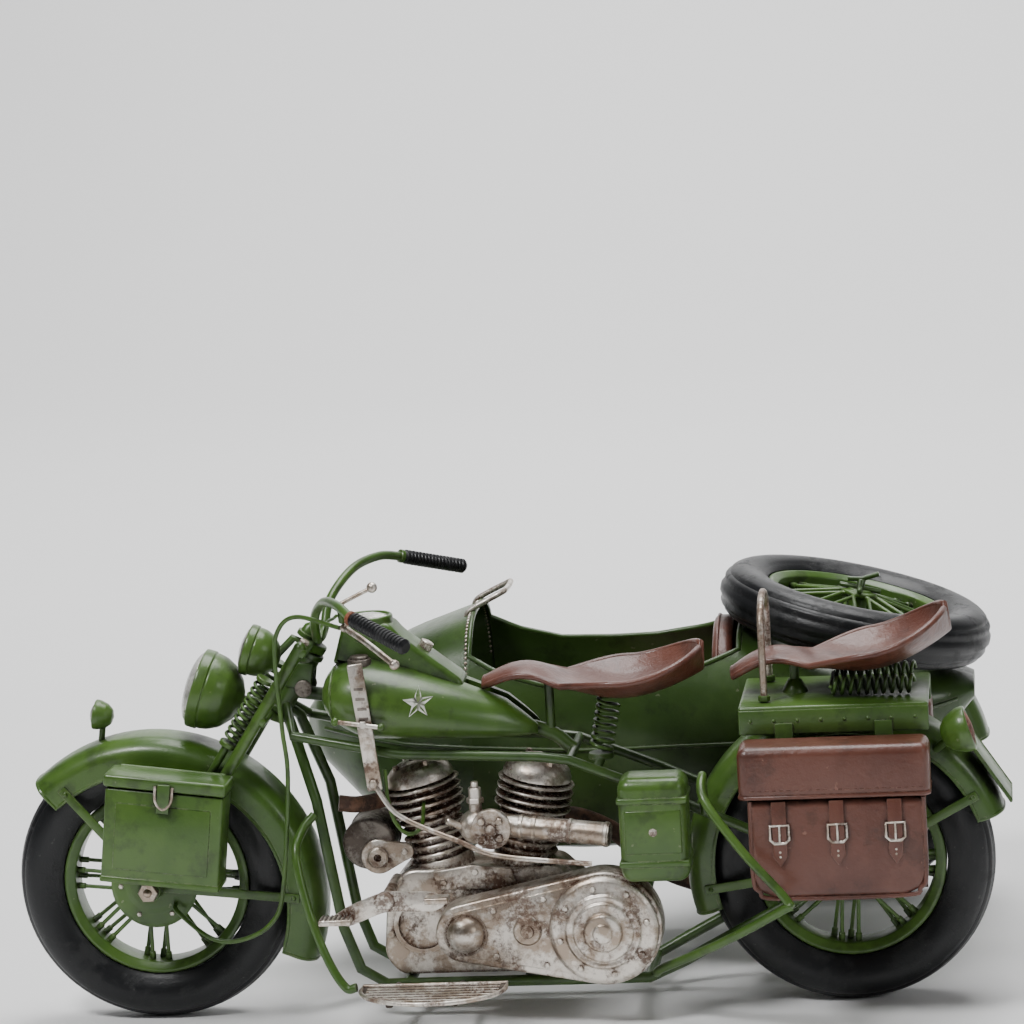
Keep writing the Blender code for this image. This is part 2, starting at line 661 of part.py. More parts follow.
def fender_stays(side, axle, ends, width=0.0034):
    """Return flat stays from an eye round the axle to a fender's side."""
    inner, outer = FENDER_HALF_WIDTH - 0.0004, FENDER_HALF_WIDTH + 0.0007
    eye = rod((axle.x, axle.y + side * inner, axle.z), (axle.x, axle.y + side * outer, axle.z), 0.0034,
              sides=10)
    bars = [strip((axle.x, axle.z), end, width, axle.y + side * inner, axle.y + side * outer) for end in ends]
    return [eye, *bars]


def axle_cutter(axle, reach):
    """Return the cutter that opens an axle's hole."""
    return rod(axle - SIDE * reach, axle + SIDE * reach, AXLE_RADIUS + GAP, sides=12)


FRONT_FENDER_RADIUS = WHEEL_RADIUS + 0.0105
FRONT_FENDER_CENTRE = FRONT_AXLE + Vector((-0.0006, 0.0, -0.0075))


def polar(centre, radius, degrees):
    """Return an (x, z) point at an angle round a centre."""
    angle = math.radians(degrees)
    return (centre.x + radius * math.cos(angle), centre.z + radius * math.sin(angle))


def build_front_fender():
    """Build the front fender with its stays, and the small lamp on its crown."""
    centre = FRONT_FENDER_CENTRE
    sheet = fender(FRONT_FENDER_RADIUS, centre, 131.0, -21.0, 0.0120)
    edge = FRONT_FENDER_RADIUS - 0.0080
    stays = []
    for side in (-1, 1):
        stays += fender_stays(side, FRONT_AXLE, [polar(centre, edge, 124.0), polar(centre, edge, 2.0)])
    crown_x, crown_z = polar(centre, FRONT_FENDER_RADIUS - FENDER_THICKNESS / 2, 106.0)
    crown = Vector((crown_x, 0.0, crown_z))
    post_top = crown + Vector((0.0012, 0.0, 0.0060))
    stem = rod(crown, post_top + Vector((0, 0, 0.0010)), 0.0011, sides=8)
    lamp = turned(lamp_shell(0.0052, 0.0070), post_top + Vector((-0.0030, 0, 0.0035)), (-1, 0, 0.2), steps=12)
    body = carve(unite(sheet, lamp, stem, *stays), axle_cutter(FRONT_AXLE, 0.03))
    name_part(body, "front_fender", "olive_paint")


AMMO_TILT = math.radians(7.5)
AMMO_LENGTH = 0.0405
AMMO_HEIGHT = 0.0375
AMMO_DEPTH = 0.0150
AMMO_LID = 0.0046
AMMO_CENTRE = Vector((FRONT_AXLE.x + 0.0094, 0.0, FRONT_AXLE.z + 0.0240))
AMMO_BACK = -(FORK_HALF_WIDTH + FORK_LEG_RADIUS + GAP)


def ammo_matrix():
    """Return the tilted frame of the box that hangs beside the front wheel."""
    return Matrix.Translation(AMMO_CENTRE) @ Matrix.Rotation(AMMO_TILT, 4, "Y")


def build_ammo_box():
    """Build the ammunition box and its hinged lid."""
    half = AMMO_LENGTH / 2
    lid_base = AMMO_HEIGHT / 2 - AMMO_LID
    low = (-half, AMMO_BACK - AMMO_DEPTH, -AMMO_HEIGHT / 2)
    body = box(low, (half, AMMO_BACK, lid_base), bevel=0.0008, segments=1)
    wall = 0.0012
    hollow = box((-half + wall, AMMO_BACK - AMMO_DEPTH + wall, wall - AMMO_HEIGHT / 2),
                 (half - wall, AMMO_BACK - wall, lid_base + 0.004))
    name_part(moved(carve(body, hollow), ammo_matrix()), "ammo_box", "olive_paint")
    rim = 0.0008
    lid = box((-half - rim, AMMO_BACK - AMMO_DEPTH - rim, lid_base + GAP),
              (half + rim, AMMO_BACK, AMMO_HEIGHT / 2),
              bevel=0.0010, segments=1)
    hasp = box((-0.0022, AMMO_BACK - AMMO_DEPTH - rim - 0.0009, lid_base - 0.0070),
               (0.0022, AMMO_BACK - AMMO_DEPTH - rim + 0.0004, lid_base + 0.0030))
    name_part(moved(unite(lid, hasp), ammo_matrix()), "ammo_box_lid", "olive_paint")


BRAKE_PLATE_RADIUS = 0.0152
BRAKE_PLATE_INNER = HUB_HALF_WIDTH + 0.0009
BRAKE_PLATE_OUTER = FENDER_HALF_WIDTH - 0.0008
CABLE_RADIUS = 0.0008


def build_brake():
    """Build the front brake plate and the cable from it to the lever."""
    centre = FRONT_AXLE
    disc = rod((centre.x, -BRAKE_PLATE_OUTER, centre.z), (centre.x, -BRAKE_PLATE_INNER, centre.z),
               BRAKE_PLATE_RADIUS, sides=24)
    slot = box((centre.x - 0.0030, -BRAKE_PLATE_OUTER - 0.001, centre.z - 0.0090),
               (centre.x + 0.0030, -BRAKE_PLATE_INNER + 0.001, centre.z - 0.0060))
    name_part(carve(disc, slot, axle_cutter(centre, 0.03)), "front_brake_plate", "olive_paint")
    cable_start = centre + Vector((0.0075, -BRAKE_PLATE_OUTER - 2 * GAP, -0.0062))
    low_route = [(0.0090, -0.0155, -0.0085), (0.0206, -0.0200, -0.0166), (0.0310, -0.0215, -0.0173),
                 (0.0418, -0.0218, -0.0120), (0.0472, -0.0218, 0.0000), (0.0515, -0.0218, 0.0380),
                 (0.0508, -0.0218, 0.0554), (0.0500, -0.0218, 0.0790), (0.0518, -0.0222, 0.0898),
                 (0.0590, -0.0250, 0.0948)]
    end = LEVER_PIVOT + Vector((-0.0020, 0.0024, -0.0004))
    route = [cable_start, *[centre + Vector(point) for point in low_route], end]
    name_part(tube(smooth_route(route, spans=2), CABLE_RADIUS), "brake_cable", "olive_paint")


# ---- frame --------------------------------------------------------------------------------------
def frame_side(side):
    """Return the tubes of one side of the frame: down tube with lower rail, and top rail with stay."""
    low, wide = side * FRAME_HALF_WIDTH, side * STAY_HALF_WIDTH
    rail_y = side * TOP_RAIL_HALF_WIDTH
    foot = HEAD_BOTTOM + STEER_AXIS * 0.0030
    dropout = Vector((REAR_AXLE.x, wide, REAR_AXLE.z))
    down = [foot, foot + Vector((0.0040, side * 0.0085, -0.0060)), Vector((-0.0545, low, 0.0780)),
            Vector((-0.0480, low, 0.0330)), Vector((-0.0430, low, 0.0185)), Vector((-0.0340, low, RAIL_HEIGHT)),
            Vector((0.0560, low, RAIL_HEIGHT)), Vector((0.0680, wide, RAIL_HEIGHT + 0.0060)), dropout]
    top = [foot + Vector((0.0010, 0, 0.0010)), foot + Vector((0.0060, rail_y, -0.0080)),
           Vector((-0.0250, rail_y, 0.0940)),
           Vector((0.0230, rail_y, 0.0915)), Vector((0.0330, rail_y, 0.0900)),
           Vector((0.0600, rail_y, 0.0790)), dropout]
    pieces = [tube(down, FRAME_TUBE_RADIUS), tube(top, FRAME_TUBE_RADIUS - 0.0002)]
    boss = FRAME_TUBE_RADIUS
    pieces.append(rod(dropout - SIDE * boss, dropout + SIDE * boss, 0.0042, sides=10))
    return pieces


def build_frame():
    """Build the tube frame as one piece, bored for the steering stem and the rear axle."""
    head = rod(HEAD_BOTTOM, HEAD_TOP, HEAD_TUBE_RADIUS, sides=14)
    backbone = tube([HEAD - STEER_AXIS * 0.004, Vector((-0.0420, 0, 0.1100)), Vector((0.0180, 0, 0.0985)),
                     Vector((0.0330, 0, 0.0900))], 0.0024)
    pieces = [backbone]
    for side in (-1, 1):
        pieces += frame_side(side)
    width = TOP_RAIL_HALF_WIDTH
    pieces.append(rod((0.0330, -width, 0.0900), (0.0330, width, 0.0900), 0.0016, sides=10))
    pieces.append(rod((SEAT_CROSS_X, -width, SEAT_CROSS_Z), (SEAT_CROSS_X, width, SEAT_CROSS_Z), 0.0016,
                      sides=10))
    for x in (-0.0270, 0.0150, 0.0560):
        pieces.append(rod((x, -FRAME_HALF_WIDTH, RAIL_HEIGHT), (x, FRAME_HALF_WIDTH, RAIL_HEIGHT),
                          FRAME_TUBE_RADIUS,
                          sides=10))
    pieces.append(rod((SEAT_CROSS_X, 0, SEAT_CROSS_Z), (SEAT_CROSS_X, 0, SPRING_CUP_TOP),
                      SADDLE_SPRING_RADIUS + 0.0008,
                      sides=12))
    pieces.append(rod((SADDLE_POST_X, 0, 0.0945), (SADDLE_POST_X, 0, SADDLE_POST_TOP), 0.0016, sides=10))
    low, high = HEAD_BOTTOM.z + 0.0030, HEAD_TOP.z - 0.0035
    gusset = [(HEAD.x - 0.0030, low + 0.0060), (HEAD.x + 0.0060, low + 0.0040), (HEAD.x + 0.0075, high),
              (HEAD.x - 0.0015, high + 0.0010)]
    for side in (-1, 1):
        near = HEAD_TUBE_RADIUS - 0.0006
        pieces.append(side_plate(gusset, *sorted((side * near, side * (near + 0.0014)))))
    frame = unite(head, *pieces)
    bore = rod(HEAD_BOTTOM - STEER_AXIS * 0.01, HEAD_TOP + STEER_AXIS * 0.01, STEM_RADIUS + GAP, sides=14)
    name_part(carve(frame, bore, axle_cutter(REAR_AXLE, 0.03)), "main_frame", "dark_olive_paint")


SADDLE_POST_X = 0.0255
SADDLE_POST_TOP = 0.1145


def bent_bar(points, radius, name, finish="olive_paint", spans=3):
    """Keep a bent round bar along a route."""
    name_part(tube(smooth_route(points, spans), radius), name, finish)


def build_guards():
    """Build the crash bars and the passenger's hand rail."""
    rail_face = FRAME_HALF_WIDTH + FRAME_TUBE_RADIUS
    bent_bar([(-0.0550, -rail_face - 0.0020, 0.0740), (-0.0585, -0.0220, 0.0700), (-0.0600, -0.0300, 0.0630),
              (-0.0560, -0.0350, 0.0450), (-0.0500, -0.0390, 0.0290), (-0.0440, -0.0420, 0.0200),
              (-0.0402, -0.0425, 0.0200)], 0.0015, "front_crash_bar", spans=2)
    bent_bar([(0.0780, -STAY_HALF_WIDTH - 0.0048, 0.0712), (0.0780, -0.0240, 0.0800), (0.0785, -0.0300, 0.0860),
              (0.0795, -0.0400, 0.0800), (0.0920, -0.0480, 0.0640), (0.1060, -0.0545, 0.0490),
              (0.1040, -0.0540, 0.0455), (0.0820, -0.0400, 0.0310), (0.0620, -0.0240, 0.0190),
              (0.0585, -rail_face - 0.0020, 0.0155)], 0.0015, "rear_crash_bar", spans=2)


# ---- tank and instruments -----------------------------------------------------------------------
def tank_section(x):
    """Return a tank half's top, bottom and width at a station along X."""
    t = (x - TANK_FRONT_X) / (TANK_REAR_X - TANK_FRONT_X)
    top = 0.1285 - 0.0240 * t ** 1.35
    bottom = 0.0985 - 0.0028 * t
    swell = math.sin(math.pi * min(1.0, (t * 0.985 + 0.015) ** 0.50)) ** 0.62
    nose = min(1.0, t * 5.0) ** 0.5
    middle = (top + bottom) / 2 - 0.003 * t
    reach_up = (top - middle) * (0.25 + 0.75 * nose) * min(1.0, (1.02 - t) * 6.0) ** 0.5
    reach_down = (middle - bottom) * (0.25 + 0.75 * nose) * min(1.0, (1.02 - t) * 6.0) ** 0.5
    return middle, reach_up, reach_down, TANK_HALF_GAP + 0.0010 + 0.0205 * swell


def make_tank_half():
    """Return the left tank half, a teardrop with a flat inner face."""
    rings = []
    stations = 12
    for i in range(stations + 1):
        t = i / stations
        x = TANK_FRONT_X + (TANK_REAR_X - TANK_FRONT_X) * (0.5 - 0.5 * math.cos(math.pi * t))
        middle, up, down, width = tank_section(x)
        ring = []
        for step in range(9):
            angle = math.radians(90.0 - 22.5 * step)
            reach = up if angle > 0 else down
            spread = abs(math.cos(angle)) ** 0.75
            ring.append((x, -TANK_HALF_GAP - (width - TANK_HALF_GAP) * spread,
                         middle + reach * math.sin(angle)))
        rings.append(ring)
    return loft(rings)


CONSOLE_FRONT_X = -0.0470
CONSOLE_REAR_X = -0.0030
CONSOLE_FRONT_Z = 0.1235
CONSOLE_REAR_Z = 0.1120
CONSOLE_HALF_WIDTH = 0.0075
GAUGE_RADIUS = 0.0085


def console_cutter():
    """Return the cutter that keeps the tank halves clear of the console above them."""
    margin = 0.0020
    fall = margin * (CONSOLE_FRONT_Z - CONSOLE_REAR_Z) / (CONSOLE_REAR_X - CONSOLE_FRONT_X)
    front, rear = CONSOLE_FRONT_X - margin, CONSOLE_REAR_X + margin
    outline = [(front, 0.16), (front, CONSOLE_FRONT_Z + fall - GAP), (rear, CONSOLE_REAR_Z - fall - GAP),
               (rear, 0.16)]
    return side_plate(outline, -CONSOLE_HALF_WIDTH - 2 * GAP, CONSOLE_HALF_WIDTH + 2 * GAP)


def build_tank():
    """Build the tank halves with their fuel caps, and the console with its speedometer."""
    half = carve(make_tank_half(), console_cutter())
    name_part(mirrored(half), "tank_right", "olive_paint")
    name_part(half, "tank_left", "olive_paint")
    outline = [(CONSOLE_FRONT_X, CONSOLE_FRONT_Z), (CONSOLE_REAR_X, CONSOLE_REAR_Z),
               (CONSOLE_REAR_X, CONSOLE_REAR_Z + 0.0045), (-0.0240, 0.1330), (-0.0270, 0.1370),
               (-0.0430, 0.1370)]
    console = side_plate(outline, -CONSOLE_HALF_WIDTH, CONSOLE_HALF_WIDTH)
    seat = Vector((-0.0350, 0.0, 0.1370))
    gauge = turned([(0.0, 0.0022), (GAUGE_RADIUS * 0.86, 0.0020), (GAUGE_RADIUS, 0.0010),
                    (GAUGE_RADIUS, -0.0060),
                    (0.0, -0.0060)], seat, UP, steps=24)
    name_part(unite(console, gauge), "tank_console", "olive_paint")


def build_shifter():
    """Build the gear gate on the tank's side, its cross lever and the long shift rod."""
    face = -tank_section(-0.0345)[3] - GAP
    gate = strip((-0.0365, 0.1270), (-0.0322, 0.0835), 0.0052, face - 0.0012, face)
    lever = rod((-0.0440, face - 0.0028, 0.1080), (-0.0285, face - 0.0028, 0.1055), 0.0009, sides=8)
    pivot = rod((-0.0346, face - 0.0012 - GAP, 0.1065), (-0.0346, face - 0.0036, 0.1065), 0.0015, sides=8)
    name_part(unite(lever, pivot), "gear_lever", "antique_silver")
    rod_route = [Vector((-0.0322, face - 0.0008, 0.0850)), Vector((-0.0240, -0.0280, 0.0750)),
                 Vector((-0.0040, -0.0300, 0.0660)),
                 Vector((0.0090, -0.0305, 0.0608)), Vector((0.0400, -0.0300, 0.0570))]
    linkage = tube(smooth_route(rod_route, spans=2), 0.0009)
    name_part(unite(gate, linkage), "gear_gate", "antique_silver")


# ---- engine -------------------------------------------------------------------------------------
def cylinder_profile(fins=4):
    """Return a finned barrel and head as one turned profile, dome on top."""
    height = 0.0235
    profile = [(0.0, height + 0.0110), (0.0062, height + 0.0105), (0.0105, height + 0.0078),
               (0.0118, height + 0.0050)]
    core = BARREL_RADIUS - 0.0026
    pitch = height / fins
    for i in range(fins):
        top = height + 0.0030 - i * pitch
        outer = HEAD_RADIUS if i < 2 else BARREL_RADIUS
        profile += [(core, top), (outer, top - 0.0006), (outer, top - pitch * 0.45), (core, top - pitch * 0.55)]
    return profile + [(core, 0.0), (0.0, 0.0)]


def cylinder_foot(side):
    """Return the point where a cylinder stands on the crankcase; -1 is the front one."""
    return Vector((ENGINE_X + side * CYLINDER_SPACING / 2, 0.0, CASE_TOP + 0.0024))


ENGINE_X = -0.0005


def build_engine():
    """Build crankcase, cylinders, carburettor, exhaust, generator, oil line and covers."""
    half = CASE_HALF_WIDTH
    outline = [(-0.0300, CRANKCASE_FLOOR), (0.0210, CRANKCASE_FLOOR), (0.0370, 0.0210), (0.0400, 0.0400),
               (0.0300, CASE_TOP - 0.004), (0.0260, CASE_TOP), (-0.0260, CASE_TOP), (-0.0330, 0.0440),
               (-0.0350, 0.0220)]
    pieces = []
    for side, name in ((-1, "front_cylinder"), (1, "rear_cylinder")):
        foot = cylinder_foot(side)
        tilt = Vector((side * math.sin(CYLINDER_TILT), 0, math.cos(CYLINDER_TILT)))
        pieces.append(rod(foot - tilt * 0.008, foot - tilt * GAP, BARREL_RADIUS, sides=20))
        cylinder = turned(cylinder_profile(), foot, tilt, steps=16)
        if side < 0:
            elbow = [foot + Vector(p) for p in ((-0.0100, 0.0, 0.0225), (-0.0190, -0.0080, 0.0215),
                                                (-0.0255, -0.0150, 0.0220), (-0.0315, -0.0165, 0.0230))]
            oil = [(-0.0290, -0.0225, 0.0900), (-0.0285, -0.0235, 0.0800), (-0.0262, -0.0245, 0.0720),
                   (-0.0220, -0.0248, 0.0680), (-0.0178, -0.0225, 0.0700), (-0.0185, -0.0080, 0.0765)]
            cylinder = unite(cylinder, tube(smooth_route(elbow, 2), 0.0028),
                             tube(smooth_route(oil, 2), 0.0007, resolution=0))
        name_part(cylinder, name, "antique_silver")
    plate = side_plate([(-0.0150, 0.0450), (0.0125, 0.0450), (0.0105, 0.0515), (-0.0030, 0.0535),
                        (-0.0165, 0.0515)],
                       -half - 0.0012, -half + 0.0010)
    pivot = CLUTCH_PEDAL_PIVOT
    stub = rod((pivot.x, pivot.y + 0.0008 + GAP, pivot.z), (pivot.x, 0.001 - half, pivot.z), 0.0020, sides=12)
    case = unite(side_plate(outline, -half, half), plate, stub, *pieces)
    name_part(case, "crankcase", "antique_silver")
    build_covers()
    build_carburettor()
    build_generator()
    exhaust = [(0.0263, 0.0057, 0.0655), (0.0335, 0.0105, 0.0630), (0.0440, 0.0190, 0.0550),
               (0.0560, 0.0240, 0.0420), (0.0750, 0.0260, 0.0340),
               (0.1000, 0.0265, 0.0335), (0.1500, 0.0265, 0.0340)]
    bent_bar(exhaust, 0.0032, "exhaust_pipe", "rusty_brown", spans=2)


CASE_HALF_WIDTH = FRAME_HALF_WIDTH - FRAME_TUBE_RADIUS - 0.0006
PRIMARY_GAP = 0.0062
PRIMARY_DEPTH = 0.0125
CLUTCH_RADIUS = 0.0185
CLUTCH_CENTRE = (0.0430, 0.0345)
SPROCKET_CENTRE = (-0.0040, 0.0340)
SPROCKET_RADIUS = 0.0102
COVER_BOSS = (0.0170, 0.0345)


def build_covers():
    """Build the primary cover with its clutch dome on the engine's left."""
    cx, cz = CLUTCH_CENTRE
    sx, sz = SPROCKET_CENTRE
    bx, bz = COVER_BOSS
    outline = arc(cx, cz, CLUTCH_RADIUS + 0.001, -100, 98, 11) + arc(sx, sz, SPROCKET_RADIUS, 98, 260, 7)
    y_in = -CASE_HALF_WIDTH - PRIMARY_GAP
    y_out = y_in - PRIMARY_DEPTH
    cover = side_plate(outline, y_out, y_in)
    dome = turned([(0.0, 0.0050), (0.0032, 0.0044), (0.0058, 0.0026), (0.0064, 0.0), (0.0064, -0.002),
                   (0.0, -0.002)],
                  (sx, y_out, sz), -SIDE, steps=12)
    boss = rod((bx, y_out + 0.002, bz), (bx, y_out - 0.0016, bz), 0.0050, sides=12)
    mount = rod((bx, y_in - 0.002, bz), (bx, -CASE_HALF_WIDTH - GAP, bz), 0.0060, sides=10)
    clutch = turned([(0.0, 0.0072), (0.0062, 0.0070), (0.0066, 0.0050), (0.0120, 0.0046), (0.0128, 0.0034),
                     (CLUTCH_RADIUS - 0.0012, 0.0030), (CLUTCH_RADIUS, 0.0018), (CLUTCH_RADIUS, 0.0),
                     (0.0, 0.0)],
                    (cx, y_out + 0.0004, cz), -SIDE, steps=20)
    name_part(unite(cover, dome, boss, mount, clutch), "primary_cover", "antique_silver")


GENERATOR_CENTRE = Vector((-0.0385, 0.0, 0.0610))
GENERATOR_RADIUS = 0.0090


def build_generator():
    """Build the generator drum ahead of the crankcase, with its link plate."""
    half = 0.0100
    drum = turned([(0.0, half), (GENERATOR_RADIUS - 0.0006, half), (GENERATOR_RADIUS, half - 0.0012),
                   (GENERATOR_RADIUS, 0.0012 - half), (GENERATOR_RADIUS - 0.0006, -half), (0.0, -half)],
                  GENERATOR_CENTRE, SIDE, steps=16)
    x, z = GENERATOR_CENTRE.x + 0.0035, GENERATOR_CENTRE.z - 0.0040
    link = side_plate(arc(x, z, 0.0060, 60, 300, 10) + arc(x + 0.0092, z + 0.0015, 0.0030, -80, 80, 5),
                      -half - 0.0018, -half + 0.0006)
    ring = rod((x, -half - 0.0010, z), (x, -half - 0.0040, z), 0.0036, sides=16)
    name_part(unite(drum, link, ring), "generator", "dark_steel")


CARBURETTOR_CENTRE = Vector((0.0005, -0.0190, 0.0685))


def build_carburettor():
    """Build the carburettor between the cylinders with its four-nut plate and its intake pipe."""
    centre = CARBURETTOR_CENTRE
    bowl = ball(centre, 0.0060, sides=12)
    neck = rod(centre, centre + UP * 0.0135, 0.0022, sides=10)
    cap = rod(centre + UP * 0.0125, centre + UP * 0.0155, 0.0013, sides=8)
    manifold = 0.0022
    middle = Vector((ENGINE_X, 0.0, centre.z - 0.0040))
    rise = middle.z - manifold - cylinder_foot(1).z
    reach = CYLINDER_SPACING / 2 - BARREL_RADIUS + rise * math.tan(CYLINDER_TILT) - GAP
    inlet = rod(centre, middle, manifold, sides=10)
    runner = rod(middle - Vector((reach, 0, 0)), middle + Vector((reach, 0, 0)), manifold, sides=8)
    post = rod(centre + Vector((-0.0040, -0.0020, 0)), centre + Vector((-0.0095, -0.0050, 0.0035)), 0.0012,
               sides=8)
    hub = centre + Vector((0.0055, -0.0030, 0.0))
    disc = rod(hub, hub - SIDE * 0.0030, 0.0068, sides=14)
    nuts = []
    for i in range(4):
        turn = math.tau * (i + 0.5) / 4
        spot = hub + Vector((0.0042 * math.cos(turn), -0.0020, 0.0042 * math.sin(turn)))
        nuts.append(rod(spot, spot - SIDE * 0.0026, 0.0013, sides=6))
    pipe = rod(centre + Vector((0.0080, -0.0010, 0.0005)), centre + Vector((0.0455, -0.0055, -0.0030)),
               0.0040, sides=12)
    name_part(unite(bowl, neck, cap, inlet, runner, post, disc, pipe, *nuts), "carburettor", "antique_silver")


# ---- controls, footboards, boxes ----------------------------------------------------------------
FOOTBOARD_TOP = 0.0190
FOOTBOARD_THICKNESS = 0.0015
FOOTBOARD_INNER = 0.0360


def build_footboards():
    """Build the D-shaped footboards with their arms from the frame rails."""
    outline = [(0.0100, -FOOTBOARD_INNER), (-0.0390, -FOOTBOARD_INNER)]
    outline += [(-0.0145 + 0.0245 * math.cos(a), -FOOTBOARD_INNER - 0.0050 - 0.0180 * math.sin(a))
                for a in (math.pi * (1 - i / 12) for i in range(13))]
    plate = flat_plate(outline, FOOTBOARD_TOP - FOOTBOARD_THICKNESS, FOOTBOARD_TOP)
    rail_face = FRAME_HALF_WIDTH + FRAME_TUBE_RADIUS + GAP
    arm_z = RAIL_HEIGHT
    arms = []
    for x in (-0.0300, -0.0080):
        arms.append(rod((x, -rail_face, arm_z), (x, -FOOTBOARD_INNER - 0.0040, arm_z), 0.0013, sides=8))
        arms.append(rod((x, -FOOTBOARD_INNER - 0.0040, arm_z - 0.0009),
                        (x, -FOOTBOARD_INNER - 0.0040, FOOTBOARD_TOP - 0.0005),
                        0.0013, sides=8))
    board = unite(plate, *arms)
    name_part(mirrored(board), "footboard_right", "antique_silver")
    name_part(board, "footboard_left", "antique_silver")


CLUTCH_PEDAL_PIVOT = Vector((-0.0290, -0.0400, 0.0490))


def build_pedal():
    """Build the rocker clutch pedal, which turns on the crankcase's stub."""
    pivot = CLUTCH_PEDAL_PIVOT
    outline = [(-0.0500, 0.0425), (-0.0420, 0.0405), (-0.0290, 0.0455), (-0.0120, 0.0450), (-0.0075, 0.0480),
               (-0.0120, 0.0520), (-0.0290, 0.0525), (-0.0410, 0.0480)]
    arm = side_plate(outline, pivot.y - 0.0012, pivot.y)
    treads = [box((-0.0510, pivot.y - 0.0070, 0.0425), (-0.0400, pivot.y - 0.0004, 0.0445)),
              box((-0.0150, pivot.y - 0.0070, 0.0490), (-0.0070, pivot.y - 0.0004, 0.0510))]
    hub = rod((pivot.x, pivot.y - 0.0022, pivot.z), (pivot.x, pivot.y + 0.0008, pivot.z), 0.0032, sides=14)
    name_part(unite(arm, *treads, hub), "clutch_pedal", "antique_silver")


def build_boxes():
    """Build the toolbox, rack box and both panniers with their lids."""
    toolbox = box((0.0505, -0.0400, 0.0520), (0.0735, -0.0222, 0.0875), bevel=0.0035, segments=3)
    name_part(toolbox, "toolbox", "olive_paint")
    rack = box((RACK_FRONT_X, -RACK_HALF_WIDTH, RACK_BOTTOM), (RACK_REAR_X, RACK_HALF_WIDTH, RACK_TOP),
               bevel=0.0010)
    arch = rod(REAR_AXLE - SIDE * (FENDER_HALF_WIDTH + GAP), REAR_AXLE + SIDE * (FENDER_HALF_WIDTH + GAP),
               REAR_FENDER_RADIUS + GAP, sides=56)
    post_x = RACK_FRONT_X + 0.0180
    post_top = PILLION_NOSE.z + 0.0027
    cone = rod((post_x, 0, RACK_TOP - 0.0004), (post_x, 0, RACK_TOP + 0.0040), 0.0040, sides=14,
               end_radius=0.0022)
    post = rod((post_x, 0, RACK_TOP + 0.0020), (post_x, 0, post_top), 0.0016, sides=10)
    hangers = []
    for x in (RACK_FRONT_X + 0.0120, RACK_REAR_X - 0.0180):
        for near, far in ((GAP - PANNIER_INNER, 0.0020 - PANNIER_INNER),
                          (PANNIER_INNER - 0.0020, PANNIER_INNER - GAP)):
            hangers.append(box((x, near, RACK_BOTTOM - PANNIER_LID_HEIGHT - 0.0080),
                               (x + 0.0060, far, RACK_BOTTOM + 0.0040)))
    name_part(unite(carve(rack, arch), cone, post, *hangers), "rack_box", "olive_paint")
    lid_low = RACK_BOTTOM - PANNIER_LID_HEIGHT
    body_low = lid_low - GAP - PANNIER_HEIGHT
    front, rear = RACK_FRONT_X + 0.0030, RACK_REAR_X - 0.0020
    body = box((front, -PANNIER_OUTER, body_low), (rear, -PANNIER_INNER, lid_low - GAP), bevel=0.0020)
    hollow = box((front + 0.0015, -PANNIER_OUTER + 0.0015, body_low + 0.0015),
                 (rear - 0.0015, -PANNIER_INNER - 0.0015, lid_low + 0.003))
    body = carve(body, hollow)
    lid = box((RACK_FRONT_X, -PANNIER_OUTER - 0.0008, lid_low),
              (RACK_REAR_X, -PANNIER_INNER, RACK_BOTTOM - GAP),
              bevel=0.0022)
    shut = box((front, PANNIER_INNER, body_low), (rear, PANNIER_OUTER, lid_low + 0.0030), bevel=0.0020)
    name_part(unite(mirrored(lid), shut), "pannier_right", "brown_leather")
    name_part(body, "pannier_left", "brown_leather")
    name_part(lid, "pannier_lid_left", "brown_leather")


# ---- saddles ------------------------------------------------------------------------------------
SADDLE_LENGTH = 0.0735
SADDLE_HALF_WIDTH = 0.0235
SADDLE_THICKNESS = 0.0022


def saddle_outline(t):
    """Return a saddle's half width, centre height and edge lift along its length, nose at 0."""
    blend = 0.5 - 0.5 * math.cos(math.pi * min(1.0, max(0.0, (t - 0.22) / 0.42)))
    width = 0.0065 + 0.0030 * min(1.0, t / 0.2) + (SADDLE_HALF_WIDTH - 0.0095) * blend
    if t > 0.72:
        width *= math.sqrt(max(0.0, 1.0 - ((t - 0.72) / 0.285) ** 2.4))
    if t < 0.06:
        width *= 0.62 + 0.38 * t / 0.06
    centre = 0.0042 * math.sin(math.pi * min(1.0, t / 0.36)) - 0.0065 * blend + 0.0075 * max(0.0, (t - 0.66) / 0.34) ** 1.6
    lift = -0.0020 * (1.0 - blend) + 0.0075 * blend
    return width, centre, lift


def make_saddle(matrix):
    """Return a pan saddle, nose toward -X, placed by a matrix."""
    stations, across = 11, 6
    bm = bmesh.new()
    rows = []
    for i in range(stations + 1):
        t = i / stations
        width, centre, lift = saddle_outline(t)
        row = []
        for j in range(across + 1):
            v = -1.0 + 2.0 * j / across
            row.append(bm.verts.new((t * SADDLE_LENGTH, v * max(width, 0.0012), centre + lift * abs(v) ** 2.2)))
        rows.append(row)
    for near, far in zip(rows, rows[1:]):
        for j in range(across):
            bm.faces.new((near[j], far[j], far[j + 1], near[j + 1]))
    obj = from_bmesh(bm)
    shell = obj.modifiers.new("pan", "SOLIDIFY")
    shell.thickness = SADDLE_THICKNESS
    shell.offset = 0.0
    return outward(baked(obj), matrix=matrix)


SADDLE_NOSE = Vector((0.0040, 0.0, 0.1154))
PILLION_NOSE = Vector((0.0885, 0.0, 0.1156))
PILLION_TILT = math.radians(-8.0)


